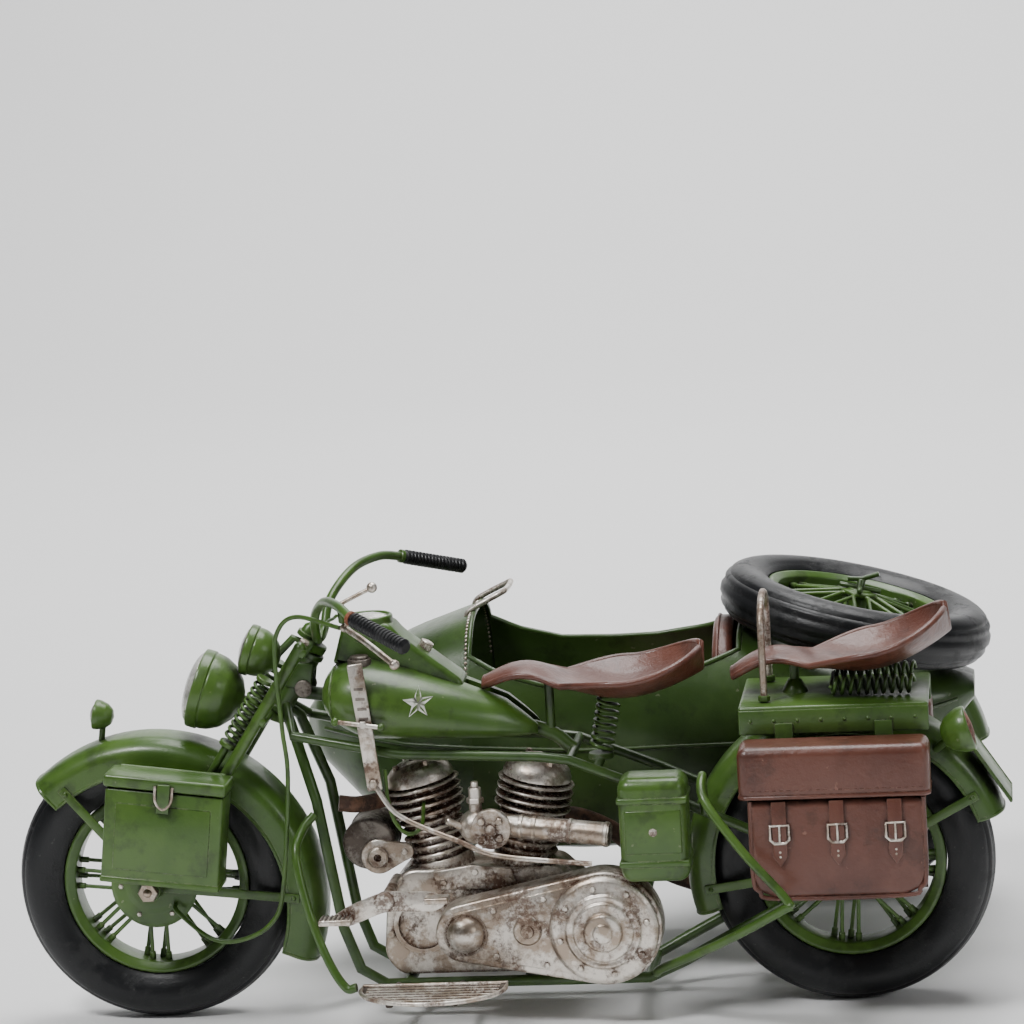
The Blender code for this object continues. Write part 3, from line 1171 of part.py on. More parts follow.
def build_saddles():
    """Build the driver's and the passenger's saddles with their springs and supports."""
    name_part(make_saddle(Matrix.Translation(SADDLE_NOSE)), "front_saddle", "brown_leather")
    pillion = Matrix.Translation(PILLION_NOSE) @ Matrix.Rotation(PILLION_TILT, 4, "Y")
    name_part(make_saddle(pillion), "pillion_saddle", "brown_leather")
    spring_top = SADDLE_NOSE.z - 0.0065 - SADDLE_THICKNESS / 2 - GAP
    wire = 0.0007
    spring = coil((SEAT_CROSS_X, 0, SPRING_CUP_TOP + GAP + wire), (SEAT_CROSS_X + 0.0040, 0, spring_top - wire),
                  SADDLE_SPRING_RADIUS, wire, turns=6)
    name_part(spring, "saddle_spring", "dark_olive_paint")
    coil_z = RACK_TOP + GAP + 0.0034
    near_x, far_x = RACK_FRONT_X + 0.0300, RACK_FRONT_X + 0.0590
    springs = [coil((near_x, y, coil_z), (far_x, y, coil_z), 0.0027, 0.0006,
                    turns=7) for y in (-0.0110, 0.0110)]
    link = rod((near_x + 0.0006, -0.0110, coil_z), (near_x + 0.0006, 0.0110, coil_z), 0.0006, sides=6)
    hooks = [rod((near_x + 0.0006, y, coil_z), (near_x + 0.0006, y + 0.0027, coil_z), 0.0006, sides=6)
             for y in (-0.0110, 0.0110)]
    name_part(unite(link, *hooks, *springs), "pillion_springs", "dark_olive_paint")
    leg_x, leg_y = RACK_FRONT_X + 0.0085, 0.0165
    hoop = [(leg_x, -leg_y, RACK_TOP + GAP), (leg_x, -leg_y, RACK_TOP + 0.0240)]
    hoop += [(leg_x, -leg_y * math.cos(math.pi * i / 10),
              RACK_TOP + 0.0240 + 0.0100 * math.sin(math.pi * i / 10))
             for i in range(1, 10)]
    hoop += [(leg_x, leg_y, RACK_TOP + 0.0240), (leg_x, leg_y, RACK_TOP + GAP)]
    name_part(tube(hoop, 0.0012), "passenger_handle", "antique_silver")


# ---- rear fender, lamp, plate -------------------------------------------------------------------
def build_rear_fender():
    """Build the rear fender with its stays and number plate, and the tail lamp beside it."""
    radius = REAR_FENDER_RADIUS
    sheet = fender(radius, REAR_AXLE, 197.0, 18.0, FENDER_VALANCE, steps=14)
    stays = []
    for side in (-1, 1):
        stays += fender_stays(side, REAR_AXLE,
                              [polar(REAR_AXLE, radius - 0.0060, angle) for angle in (28.0, 188.0)])
    lean = math.radians(PLATE_ANGLE)
    outward = Vector((math.cos(lean), 0, math.sin(lean)))
    along = Vector((outward.z, 0, -outward.x))
    base_x, base_z = polar(REAR_AXLE, radius, PLATE_ANGLE)
    frame = Matrix(((outward.x, 0, along.x, base_x), (0, 1, 0, 0), (outward.z, 0, along.z, base_z),
                    (0, 0, 0, 1)))
    plate = moved(box((0.0012, -0.0120, -0.0130), (0.0024, 0.0120, 0.0130)), frame)
    foot = moved(box((-0.0006, -0.0030, -0.0030), (0.0016, 0.0030, 0.0030)), frame)
    centre = REAR_AXLE + Vector((0.0415, -FENDER_HALF_WIDTH - 0.0082, 0.0480))
    lamp_axis = Vector((0.95, 0, 0.3)).normalized()
    rim = 0.0078
    bowl = turned([(0.0, 0.0016), (0.0040, 0.0013), (rim, 0.0), (rim, -0.0016), (rim * 0.93, -0.0034),
                   (rim * 0.72, -0.0066), (rim * 0.40, -0.0088), (0.0, -0.0095)], centre, lamp_axis, steps=14)
    edge_x, edge_z = polar(REAR_AXLE, radius - 0.0060, 52.0)
    arm = rod(centre - lamp_axis * 0.0040, (edge_x, 0.0006 - FENDER_HALF_WIDTH, edge_z), 0.0014, sides=8)
    body = carve(unite(sheet, plate, foot, bowl, arm, *stays), axle_cutter(REAR_AXLE, 0.04))
    name_part(body, "rear_fender", "olive_paint")


PLATE_ANGLE = 33.0


# ---- sidecar ------------------------------------------------------------------------------------
SIDECAR_STATIONS = (
    # distance along, floor, side height, crown, half width as a share of the full half width
    (-0.0720, 0.0820, 0.0860, 0.0900, 0.12), (-0.0660, 0.0720, 0.0850, 0.0985, 0.42),
    (-0.0520, 0.0580, 0.0830, 0.1080, 0.70), (-0.0320, 0.0460, 0.0800, 0.1170, 0.89),
    (-0.0085, 0.0400, 0.0780, 0.1250, 0.98), (0.0300, 0.0380, 0.0760, 0.1230, 1.00),
    (0.0880, 0.0410, 0.0770, 0.1160, 0.99), (0.1150, 0.0500, 0.0800, 0.1085, 0.93),
    (0.1420, 0.0640, 0.0840, 0.1015, 0.78), (0.1600, 0.0780, 0.0880, 0.0965, 0.56),
    (0.1680, 0.0870, 0.0900, 0.0935, 0.34))


HULL_SIDES = 16


def sidecar_ring(station, inset):
    """Return the cross-section of the sidecar body at a station, moved inward by an inset."""
    x, floor, side_z, crown, share = station
    half = SIDECAR_HALF_WIDTH * share - inset
    ring = []
    for i in range(HULL_SIDES):
        angle = math.tau * i / HULL_SIDES
        c, s = math.cos(angle), math.sin(angle)
        height = (crown - side_z) if s > 0 else (side_z - floor)
        reach = max(0.001, height - inset)
        ring.append((x, SIDECAR_Y + half * math.copysign(abs(c) ** 0.62, c),
                     side_z + reach * math.copysign(abs(s) ** (0.80 if s > 0 else 0.62), s)))
    return ring


def build_sidecar_body():
    """Build the open sidecar body."""
    shell = loft([sidecar_ring(station, 0.0) for station in SIDECAR_STATIONS])
    inner_stations = [station for station in SIDECAR_STATIONS if -0.055 < station[0] < 0.150]
    inner = loft([sidecar_ring(station, SIDECAR_WALL) for station in inner_stations])
    front, rear = COCKPIT_FRONT_X, COCKPIT_REAR_X - 0.0015
    rim = [(front, 0.20), (front, 0.1140), (front + 0.010, 0.1085), (front + 0.026, COCKPIT_RIM + 0.0005),
           (front + 0.045, COCKPIT_RIM), (rear - 0.034, COCKPIT_RIM + 0.0005),
           (rear - 0.016, COCKPIT_RIM + 0.0035),
           (rear, COCKPIT_RIM + 0.0085), (rear, 0.20)]
    opening = side_plate(rim, SIDECAR_Y - 0.08, SIDECAR_Y + 0.08)
    lean = Matrix.Translation((0, SIDECAR_Y, COCKPIT_RIM)) @ Matrix.Rotation(COCKPIT_LEAN, 4, "X")
    opening = moved(opening, lean @ Matrix.Translation((0, -SIDECAR_Y, -COCKPIT_RIM)))
    body = carve(shell, inner, opening)
    half = SIDECAR_HALF_WIDTH * SEAT_SHARE
    base_low = hull_height(0.0570, 0.0, False) + SIDECAR_WALL / 2
    base = box((0.0400, SIDECAR_Y - half * 0.55, base_low), (0.0740, SIDECAR_Y + half * 0.55, SEAT_BASE_TOP))
    normal = Vector((math.sin(SPARE_TILT), 0, math.cos(SPARE_TILT)))
    pad_top = SPARE_CENTRE - normal * (HUB_HALF_WIDTH + GAP)
    pad = rod(pad_top - normal * 0.0080, pad_top, 0.0060, sides=14)
    stud_top = SPARE_CENTRE + normal * (HUB_HALF_WIDTH + 0.0034)
    stud = rod(pad_top - normal * 0.001, stud_top, AXLE_RADIUS, sides=12)
    wing = rod(stud_top - Vector((0.0050, 0, -0.0004)), stud_top + Vector((0.0062, 0, 0.0016)), 0.0009, sides=8)
    name_part(unite(body, base, pad, stud, wing), "sidecar_body", "dark_olive_paint")


COCKPIT_LEAN = math.radians(2.5)
# half width as a share of the seat's, and height, up one edge of the back cushion to its top
BACKREST_EDGE = ((0.92, 0.0600), (0.96, 0.0800), (0.94, 0.0980), (0.80, 0.1065), (0.60, 0.1120), (0.32, 0.1162),
                 (0.08, 0.1180))
SPARE_CENTRE = Vector((0.1270, SIDECAR_Y, 0.1178))
SEAT_SHARE = 0.80
SEAT_BASE_TOP = 0.0540
CHASSIS_RADIUS = 0.0022
CHASSIS_POST_RADIUS = 0.0016
CHASSIS_HEIGHT = 0.0330


def build_sidecar_seat():
    """Build the sidecar's seat cushion, back cushion and grab handle."""
    half = SIDECAR_HALF_WIDTH * SEAT_SHARE
    cushion = box((0.0330, SIDECAR_Y - half, SEAT_BASE_TOP + GAP),
                  (0.0745, SIDECAR_Y + half, SEAT_BASE_TOP + 0.0100),
                  bevel=0.0030)
    name_part(cushion, "sidecar_seat", "brown_leather")
    outline = [(half * share, z) for share, z in BACKREST_EDGE]
    outline += [(-y, z) for y, z in reversed(outline)]
    back = moved(side_plate(outline, -0.0840, -0.0765),
                 Matrix.Translation((0, SIDECAR_Y, 0)) @ Matrix.Rotation(math.pi / 2, 4, "Z"))
    name_part(back, "sidecar_backrest", "brown_leather")
    x, reach = COCKPIT_FRONT_X - 0.0030, 0.0115
    foot_z = hull_height(x, reach, True) + GAP
    hoop = [(x, SIDECAR_Y - reach, foot_z), (x + 0.0020, SIDECAR_Y - reach, foot_z + 0.0030),
            (x + 0.0120, SIDECAR_Y - reach + 0.0010, foot_z + 0.0080),
            (x + 0.0145, SIDECAR_Y - reach + 0.0040, foot_z + 0.0092)]
    hoop += [(hx, 2 * SIDECAR_Y - y, z) for hx, y, z in reversed(hoop)]
    name_part(tube(hoop, 0.0010), "grab_handle", "antique_silver")


def hull_height(x, across, top):
    """Return the height of the sidecar hull's top or underside at a place, by its stations."""
    for near, far in zip(SIDECAR_STATIONS, SIDECAR_STATIONS[1:]):
        if near[0] <= x <= far[0]:
            t = (x - near[0]) / (far[0] - near[0])
            _, floor, side_z, crown, share = (a + (b - a) * t for a, b in zip(near, far))
    reach = min(1.0, abs(across) / (SIDECAR_HALF_WIDTH * share)) ** (1 / 0.62)
    rise = math.sqrt(1.0 - reach ** 2)
    if top:
        return side_z + (crown - side_z) * rise ** 0.80
    return side_z - (side_z - floor) * rise ** 0.62


def build_sidecar_running_gear():
    """Build the sidecar's chassis with its wheel stub, and the sidecar fender."""
    inner = FRAME_HALF_WIDTH + FRAME_TUBE_RADIUS + GAP
    near_y = SIDECAR_Y - SIDECAR_HALF_WIDTH * 0.55
    far_y = SIDECAR_Y + SIDECAR_HALF_WIDTH * 0.60
    rail_end = SIDECAR_AXLE.x + 0.0040
    pieces = [rod((-0.0340, far_y, CHASSIS_HEIGHT), (rail_end, far_y, CHASSIS_HEIGHT), CHASSIS_RADIUS,
                  sides=10)]
    for x in CHASSIS_CROSSES:
        cross = [(x, inner, RAIL_HEIGHT), (x, inner + 0.0030, RAIL_HEIGHT + 0.0020),
                 (x, inner + 0.0130, CHASSIS_HEIGHT - 0.0030),
                 (x, inner + 0.0160, CHASSIS_HEIGHT), (x, far_y + 0.0007, CHASSIS_HEIGHT)]
        pieces.append(tube(cross, CHASSIS_RADIUS))
        for y in (near_y, far_y):
            seat = hull_height(x, abs(y - SIDECAR_Y) - CHASSIS_POST_RADIUS, False) - GAP
            pieces.append(rod((x, y, CHASSIS_HEIGHT), (x, y, seat), CHASSIS_POST_RADIUS, sides=8))
    axle = SIDECAR_AXLE
    upright_reach = 0.0004
    pieces.append(rod((axle.x, far_y, CHASSIS_HEIGHT - upright_reach), (axle.x, far_y, axle.z + upright_reach),
                      CHASSIS_RADIUS * 0.97, sides=10))
    nut_face = axle.y + FENDER_HALF_WIDTH + 0.0010
    pieces.append(rod((axle.x, far_y, axle.z), (axle.x, nut_face + 0.001, axle.z), AXLE_RADIUS, sides=12))
    pieces.append(rod((axle.x, nut_face, axle.z), (axle.x, nut_face + AXLE_NUT_THICKNESS, axle.z),
                      AXLE_NUT_RADIUS,
                      sides=6))
    name_part(unite(pieces[0], *pieces[1:], solver="MANIFOLD"), "sidecar_chassis", "dark_olive_paint")
    sheet = fender(REAR_FENDER_RADIUS, axle, 168.0, 12.0, FENDER_VALANCE)
    stays = []
    for side in (-1, 1):
        stays += fender_stays(side, axle,
                              [polar(axle, REAR_FENDER_RADIUS - 0.0060, angle) for angle in (40.0, 140.0)])
    braced = unite(sheet, *stays, solver="MANIFOLD")
    name_part(carve(braced, axle_cutter(axle, 0.03)), "sidecar_fender", "dark_olive_paint")


CHASSIS_CROSSES = (-0.0190, 0.0520)


def build_all():
    """Build every part of the model."""
    clear_scene()
    build_wheels()
    build_fork()
    build_lamps()
    build_bars()
    build_front_fender()
    build_ammo_box()
    build_brake()
    build_frame()
    build_guards()
    build_tank()
    build_shifter()
    build_engine()
    build_footboards()
    build_pedal()
    build_boxes()
    build_saddles()
    build_rear_fender()
    build_sidecar_body()
    build_sidecar_seat()
    build_sidecar_running_gear()
    hang_on_pivots(collect_parts())
    stand_on_zero()


def collect_parts():
    """Put the named parts in the model's collection."""
    collection = bpy.data.collections.new(MODEL_NAME)
    bpy.context.scene.collection.children.link(collection)
    for part in parts.values():
        bpy.context.scene.collection.objects.unlink(part)
        collection.objects.link(part)
    return collection


PANNIER_HINGE = Vector((RACK_FRONT_X, -PANNIER_INNER, RACK_BOTTOM - GAP))
AMMO_HINGE = ammo_matrix() @ Vector((0.0, AMMO_BACK, AMMO_HEIGHT / 2))
GEAR_LEVER_PIVOT = Vector((-0.0346, -0.0275, 0.1065))
STEERED = ("fork", "fork_spring_left", "fork_spring_right", "headlamp", "headlamp_lens", "blackout_lamp",
           "handlebar",
           "grip_left", "grip_right", "front_fender", "ammo_box", "front_brake_plate", "brake_cable",
           "front_axle")
PIVOTS = (
    ("steering_pivot", HEAD, STEERED), ("front_wheel_pivot", FRONT_AXLE, ("front_tyre", "front_wheel")),
    ("rear_wheel_pivot", REAR_AXLE, ("rear_tyre", "rear_wheel")),
    ("sidecar_wheel_pivot", SIDECAR_AXLE, ("sidecar_tyre", "sidecar_wheel")),
    ("brake_lever_pivot", LEVER_PIVOT, ("brake_lever",)),
    ("gear_lever_pivot", GEAR_LEVER_PIVOT, ("gear_lever",)),
    ("clutch_pedal_pivot", CLUTCH_PEDAL_PIVOT, ("clutch_pedal",)),
    ("ammo_lid_pivot", AMMO_HINGE, ("ammo_box_lid",)),
    ("pannier_lid_pivot", PANNIER_HINGE, ("pannier_lid_left",)))


def stand_on_zero():
    """Move the whole model so that the middle of its box's base is the zero point."""
    corners = [vertex.co for part in parts.values() for vertex in part.data.vertices]
    low = Vector([min(corner[axis] for corner in corners) for axis in range(3)])
    high = Vector([max(corner[axis] for corner in corners) for axis in range(3)])
    shift = Vector(((low.x + high.x) / 2, (low.y + high.y) / 2, low.z))
    for obj in bpy.data.objects:
        if obj.parent is None:
            obj.location -= shift


def hang_on_pivots(collection):
    """Parent each moving piece to an empty on its joint's axis."""
    for name, place, members in PIVOTS:
        pivot = bpy.data.objects.new(name, None)
        pivot.location = place
        pivot.empty_display_size = 0.01
        collection.objects.link(pivot)
        for member in members:
            parts[member].parent = pivot
            parts[member].matrix_parent_inverse = Matrix.Translation(place).inverted()


build_all()
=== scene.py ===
"""A tin display motorcycle with a sidecar, dressed for the studio around its jointed frame.

Lengths are metres. The motorcycle faces -X, its left side is -Y and the sidecar stands on +Y. Shapes are
drawn with X = Y = 0 between the motorcycle's wheels and moved to the frame's own zero when they are made.
"""

import logging
import math
from dataclasses import dataclass, field
from enum import Enum
from typing import Any, Callable, Iterable, Sequence

import bmesh
import bpy
from mathutils import Matrix, Vector


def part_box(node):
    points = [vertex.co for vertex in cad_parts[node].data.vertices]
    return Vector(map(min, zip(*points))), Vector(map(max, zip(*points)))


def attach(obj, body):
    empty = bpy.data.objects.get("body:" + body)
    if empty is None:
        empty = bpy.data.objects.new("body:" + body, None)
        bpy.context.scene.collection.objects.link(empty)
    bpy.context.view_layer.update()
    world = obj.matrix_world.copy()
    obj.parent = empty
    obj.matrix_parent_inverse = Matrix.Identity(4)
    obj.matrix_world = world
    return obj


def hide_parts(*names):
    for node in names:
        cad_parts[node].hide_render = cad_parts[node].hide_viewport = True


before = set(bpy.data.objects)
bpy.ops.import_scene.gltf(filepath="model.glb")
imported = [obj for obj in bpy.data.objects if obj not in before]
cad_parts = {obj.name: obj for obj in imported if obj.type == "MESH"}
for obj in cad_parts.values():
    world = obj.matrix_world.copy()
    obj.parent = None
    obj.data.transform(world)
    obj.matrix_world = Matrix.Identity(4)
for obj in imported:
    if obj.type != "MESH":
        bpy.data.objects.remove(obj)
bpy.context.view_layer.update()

log = logging.getLogger("tin_motorcycle")
UP = Vector((0.0, 0.0, 1.0))
SIDE = Vector((0.0, 1.0, 0.0))
FORE = Vector((1.0, 0.0, 0.0))


# ---- shader graphs ------------------------------------------------------------------------------
class Wire:
    """One node output that can be used in arithmetic."""

    def __init__(self, graph: "Graph", socket: bpy.types.NodeSocket) -> None:
        """Wrap a socket of a graph."""
        self.graph = graph
        self.socket = socket

    def _maths(self, operation: str, first: Any, second: Any) -> "Wire":
        """Add one Math node and return its result."""
        return self.graph.node("ShaderNodeMath", {"operation": operation}, {0: first, 1: second})

    def __add__(self, other: Any) -> "Wire":
        """Return the sum."""
        return self._maths("ADD", self, other)

    def __mul__(self, other: Any) -> "Wire":
        """Return the product."""
        return self._maths("MULTIPLY", self, other)

    def __sub__(self, other: Any) -> "Wire":
        """Return the difference."""
        return self._maths("SUBTRACT", self, other)

    def __rsub__(self, other: Any) -> "Wire":
        """Return another value less this one."""
        return self._maths("SUBTRACT", other, self)

    def __pow__(self, other: Any) -> "Wire":
        """Return the power."""
        return self._maths("POWER", self, other)

    __radd__ = __add__
    __rmul__ = __mul__

    def limited(self, low: float, high: float) -> "Wire":
        """Return the value spread from low..high over 0..1, held at both ends.

        Args:
            low: the value that becomes 0.
            high: the value that becomes 1.

        Returns:
            The spread value.
        """
        return self.graph.node("ShaderNodeMapRange", {"clamp": True, "interpolation_type": "SMOOTHSTEP"},
                               {"Value": self, "From Min": low, "From Max": high})


class Graph:
    """A material's node tree."""

    def __init__(self, name: str) -> None:
        """Start an empty material."""
        self.material = bpy.data.materials.new(name)
        self.material.use_nodes = True
        self.tree = self.material.node_tree
        self.tree.nodes.clear()
        self.place = self.node("ShaderNodeTexCoord", {}, {}, out="Object")

    def node(self, kind: str, settings: dict[str, Any], inputs: dict[Any, Any], out: Any = 0) -> Wire:
        """Add one node.

        Args:
            kind: the node's type name.
            settings: properties that are set before the inputs; "stops" fills a colour ramp.
            inputs: values or wires by socket name or number.
            out: the output to return, by name or number.

        Returns:
            The chosen output.
        """
        made = self.tree.nodes.new(kind)
        for key, value in settings.items():
            if key == "stops":
                self._fill_ramp(made.color_ramp, value)
            else:
                setattr(made, key, value)
        for key, value in inputs.items():
            if isinstance(value, Wire):
                self.tree.links.new(value.socket, made.inputs[key])
            else:
                made.inputs[key].default_value = value
        return Wire(self, made.outputs[out]) if len(made.outputs) else Wire(self, made.inputs[0])

    @staticmethod
    def _fill_ramp(ramp: bpy.types.ColorRamp, stops: Sequence[tuple[float, Any]]) -> None:
        """Give a ramp its stops."""
        while len(ramp.elements) < len(stops):
            ramp.elements.new(0.5)
        for element, (place, colour) in zip(ramp.elements, stops):
            element.position = place
            element.color = colour

    def noise(self, scale: float, detail: float = 3.0, rough: float = 0.55, shift: float = 0.0) -> Wire:
        """Return a noise pattern on the object's own coordinates.

        Args:
            scale: repeats in a metre.
            detail: octaves.
            rough: share of the finer octaves.
            shift: an offset that makes one pattern unlike another.

        Returns:
            Values about 0.5.
        """
        place = self.node("ShaderNodeMapping", {}, {"Vector": self.place, "Location": (shift, shift * 0.7, shift * 1.3)})
        return self.node("ShaderNodeTexNoise", {}, {"Vector": place, "Scale": scale, "Detail": detail, "Roughness": rough})

    def mix(self, share: Any, first: Any, second: Any) -> Wire:
        """Return a mix of two colours."""
        return self.node("ShaderNodeMix", {"data_type": "RGBA"}, {0: share, 6: first, 7: second}, out=2)

    def crevice(self, reach: float) -> Wire:
        """Return 1 in corners and 0 in the open, within a reach in metres."""
        open_air = self.node("ShaderNodeAmbientOcclusion", {"samples": 6}, {"Distance": reach}, out="AO")
        return (1.0 - open_air).limited(0.10, 0.70)

    def edge(self, width: float) -> Wire:
        """Return 1 along sharp edges and 0 on flat ground, for an edge width in metres."""
        soft = self.node("ShaderNodeBevel", {"samples": 4}, {"Radius": width})
        hard = self.node("ShaderNodeNewGeometry", {}, {}, out="Normal")
        match = self.node("ShaderNodeVectorMath", {"operation": "DOT_PRODUCT"}, {0: soft, 1: hard}, out="Value")
        return (1.0 - match).limited(0.02, 0.16)

    def finish(self, colour: Any, roughness: Any, metallic: Any, height: Any = None, depth: float = 0.0001,
               constants: dict[str, Any] | None = None) -> bpy.types.Material:
        """Close the graph with a Principled shader.

        Args:
            colour: base colour.
            roughness: roughness.
            metallic: metallic share.
            height: bump height, or None.
            depth: bump distance in metres.
            constants: other sockets of the shader by name.

        Returns:
            The finished material.
        """
        inputs: dict[Any, Any] = {"Base Color": colour, "Roughness": roughness, "Metallic": metallic}
        if height is not None:
            inputs["Normal"] = self.node("ShaderNodeBump", {}, {"Height": height, "Distance": depth, "Strength": 1.0})
        inputs.update(constants or {})
        shader = self.node("ShaderNodeBsdfPrincipled", {}, inputs)
        self.node("ShaderNodeOutputMaterial", {}, {"Surface": shader})
        return self.material


Colour = tuple[float, float, float, float]


@dataclass(frozen=True)
class Enamel:
    """Brushed-on enamel with painted shade darkening its corners, random stains, and wear along its edges."""

    name: str
    base: Colour
    light: Colour
    darker_tone: Colour
    worn: Colour
    roughness: float = 0.34
    wear: float = 0.55
    darkening: float = 0.75
    grain: float = 900.0
    depth: float = 0.00006

    def build(self) -> bpy.types.Material:
        """Return the material."""
        g = Graph(self.name)
        cloudy = g.noise(34.0, 4.0, 0.6).limited(0.40, 0.60)
        brushed = g.noise(240.0, 5.0, 0.62, 1.7)
        colour = g.mix(cloudy * 0.70, self.base, self.light)
        # Painted shade: an ambient-occlusion mask pulls corners and recesses towards the darker tone, and the stain
        # noise adds real random stains.
        corner = g.crevice(0.007)
        stain = g.noise(75.0, 6.0, 0.65, 3.1).limited(0.51, 0.64) * 0.55
        colour = g.mix((corner + stain) * self.darkening * brushed.limited(0.20, 0.55), colour, self.darker_tone)
        chipped = g.edge(0.0007) * g.noise(420.0, 5.0, 0.7, 5.3).limited(0.46, 0.56) * self.wear
        specks = g.noise(310.0, 2.0, 0.5, 9.1).limited(0.735, 0.765) * self.wear
        worn = chipped + specks
        colour = g.mix(worn, colour, self.worn)
        roughness = brushed * 0.26 + (self.roughness - 0.12) + corner * 0.20
        height = g.noise(self.grain, 3.0, 0.6, 2.2) + g.noise(60.0, 2.0, 0.5, 4.4) * 3.0 - worn * 0.8
        return g.finish(colour, roughness, 0.0, height, self.depth, {"Coat Weight": 0.18, "Coat Roughness": 0.16})


@dataclass(frozen=True)
class AntiqueMetal:
    """Silvered tin under an uneven brown wash."""

    name: str
    bright: Colour
    dull: Colour
    darker_tone: Colour
    roughness: float = 0.30
    metallic: float = 0.90
    darkening: float = 1.0

    def build(self) -> bpy.types.Material:
        """Return the material."""
        g = Graph(self.name)
        patches = g.noise(95.0, 7.0, 0.68).limited(0.43, 0.58)
        fine = g.noise(620.0, 5.0, 0.7, 2.9)
        colour = g.mix(patches, self.bright, self.dull)
        corner = g.crevice(0.009)
        blotch = g.noise(64.0, 8.0, 0.72, 6.6).limited(0.49, 0.60) * 0.80
        cover = (corner * 1.15 + blotch) * self.darkening * fine.limited(0.36, 0.54)
        colour = g.mix(cover, colour, self.darker_tone)
        colour = g.mix(g.edge(0.0005) * (1.0 - cover) * 0.35, colour, self.bright)
        roughness = fine * 0.30 + (self.roughness - 0.10) + cover * 0.25
        metallic = (1.0 - cover * 0.75) * self.metallic
        height = g.noise(500.0, 5.0, 0.6, 1.1) + patches * 0.5
        return g.finish(colour, roughness, metallic, height, 0.00012)


@dataclass(frozen=True)
class Rubber:
    """Satin black rubber with dusty scuffs."""

    name: str
    base: Colour
    dust: Colour

    def build(self) -> bpy.types.Material:
        """Return the material."""
        g = Graph(self.name)
        scuffs = g.noise(70.0, 8.0, 0.75, 0.9).limited(0.52, 0.62)
        flecks = g.noise(360.0, 3.0, 0.6, 4.2).limited(0.68, 0.76)
        colour = g.mix(scuffs * 0.08 + flecks * 0.30, self.base, self.dust)
        roughness = scuffs * 0.20 + g.noise(300.0, 3.0, 0.5) * 0.12 + 0.32
        height = g.noise(1400.0, 2.0, 0.5) + scuffs * 0.8
        return g.finish(colour, roughness, 0.0, height, 0.00006, {"Specular IOR Level": 0.40})


@dataclass(frozen=True)
class LampGlass:
    """Silvery lamp glass with a pattern of soft ripples."""

    name: str
    base: Colour

    def build(self) -> bpy.types.Material:
        """Return the material."""
        g = Graph(self.name)
        cloudy = g.noise(150.0, 4.0, 0.6)
        colour = g.mix(cloudy.limited(0.35, 0.7), self.base, (0.30, 0.30, 0.27, 1.0))
        ribs = g.node("ShaderNodeTexWave", {"bands_direction": "Y"}, {"Vector": g.place, "Scale": 260.0, "Distortion": 0.4},
                      out="Fac")
        return g.finish(colour, cloudy * 0.18 + 0.06, 0.35, ribs + cloudy, 0.00015,
                        {"Coat Weight": 0.8, "Coat Roughness": 0.04})


class Finish(Enum):
    """The finishes of the model."""

    GREEN = Enamel("fern_green_enamel", (0.046, 0.104, 0.013, 1), (0.074, 0.148, 0.022, 1), (0.008, 0.010, 0.004, 1),
                   (0.22, 0.25, 0.13, 1))
    DARK_GREEN = Enamel("olive_enamel", (0.030, 0.067, 0.011, 1), (0.048, 0.096, 0.018, 1), (0.006, 0.008, 0.003, 1),
                        (0.17, 0.19, 0.11, 1))
    BROWN = Enamel("brown_leather_enamel", (0.098, 0.031, 0.019, 1), (0.150, 0.055, 0.036, 1),
                   (0.020, 0.008, 0.005, 1), (0.34, 0.16, 0.11, 1), roughness=0.38, wear=0.40, grain=620.0, depth=0.00022)
    SILVER = AntiqueMetal("aged_silver", (0.80, 0.75, 0.68, 1), (0.42, 0.34, 0.27, 1), (0.085, 0.036, 0.017, 1))
    STEEL = AntiqueMetal("aged_steel", (0.26, 0.23, 0.20, 1), (0.11, 0.09, 0.075, 1), (0.035, 0.020, 0.013, 1), 0.42, 0.7)
    RUST = AntiqueMetal("burnt_brown", (0.12, 0.06, 0.036, 1), (0.055, 0.028, 0.018, 1), (0.018, 0.009, 0.006, 1), 0.5, 0.4)
    RUBBER = Rubber("scuffed_rubber", (0.0075, 0.0080, 0.0092, 1), (0.12, 0.12, 0.115, 1))
    GLASS = LampGlass("rippled_glass", (0.72, 0.72, 0.66, 1))
    WHITE = Enamel("white_paint", (0.78, 0.78, 0.72, 1), (0.86, 0.86, 0.82, 1), (0.30, 0.32, 0.20, 1),
                   (0.10, 0.17, 0.04, 1), wear=0.5)
    GOLDEN = AntiqueMetal("dark_oxide", (0.30, 0.10, 0.05, 1), (0.20, 0.06, 0.03, 1), (0.05, 0.02, 0.01, 1), 0.5, 0.3)

    def material(self) -> bpy.types.Material:
        """Return this finish's material, made once."""
        return bpy.data.materials.get(self.value.name) or self.value.build()


# ---- shapes -------------------------------------------------------------------------------------
@dataclass
class Shape:
    """Points and faces before they become a mesh."""

    points: list[Vector] = field(default_factory=list)
    faces: list[tuple[int, ...]] = field(default_factory=list)

    def __add__(self, other: "Shape") -> "Shape":
        """Return both shapes as one."""
        start = len(self.points)
        return Shape(self.points + other.points, self.faces + [tuple(start + i for i in face) for face in other.faces])

    def moved(self, matrix: Matrix) -> "Shape":
        """Return the shape moved by a matrix."""
        return Shape([matrix @ point for point in self.points], list(self.faces))

    def mirrored(self, plane: float = 0.0) -> "Shape":
        """Return the shape mirrored across a plane of constant Y."""
        return Shape([Vector((p.x, 2 * plane - p.y, p.z)) for p in self.points], [face[::-1] for face in self.faces])


def joined(shapes: Iterable[Shape]) -> Shape:
    """Return many shapes as one."""
    whole = Shape()
    for shape in shapes:
        start = len(whole.points)
        whole.points.extend(shape.points)
        whole.faces.extend(tuple(start + i for i in face) for face in shape.faces)
    return whole


def frame_on(origin: Sequence[float], axis: Sequence[float]) -> Matrix:
    """Return a frame at an origin whose +Z lies along an axis."""
    turn = Vector(axis).normalized().to_track_quat("Z", "Y").to_matrix().to_4x4()
    return Matrix.Translation(Vector(origin)) @ turn


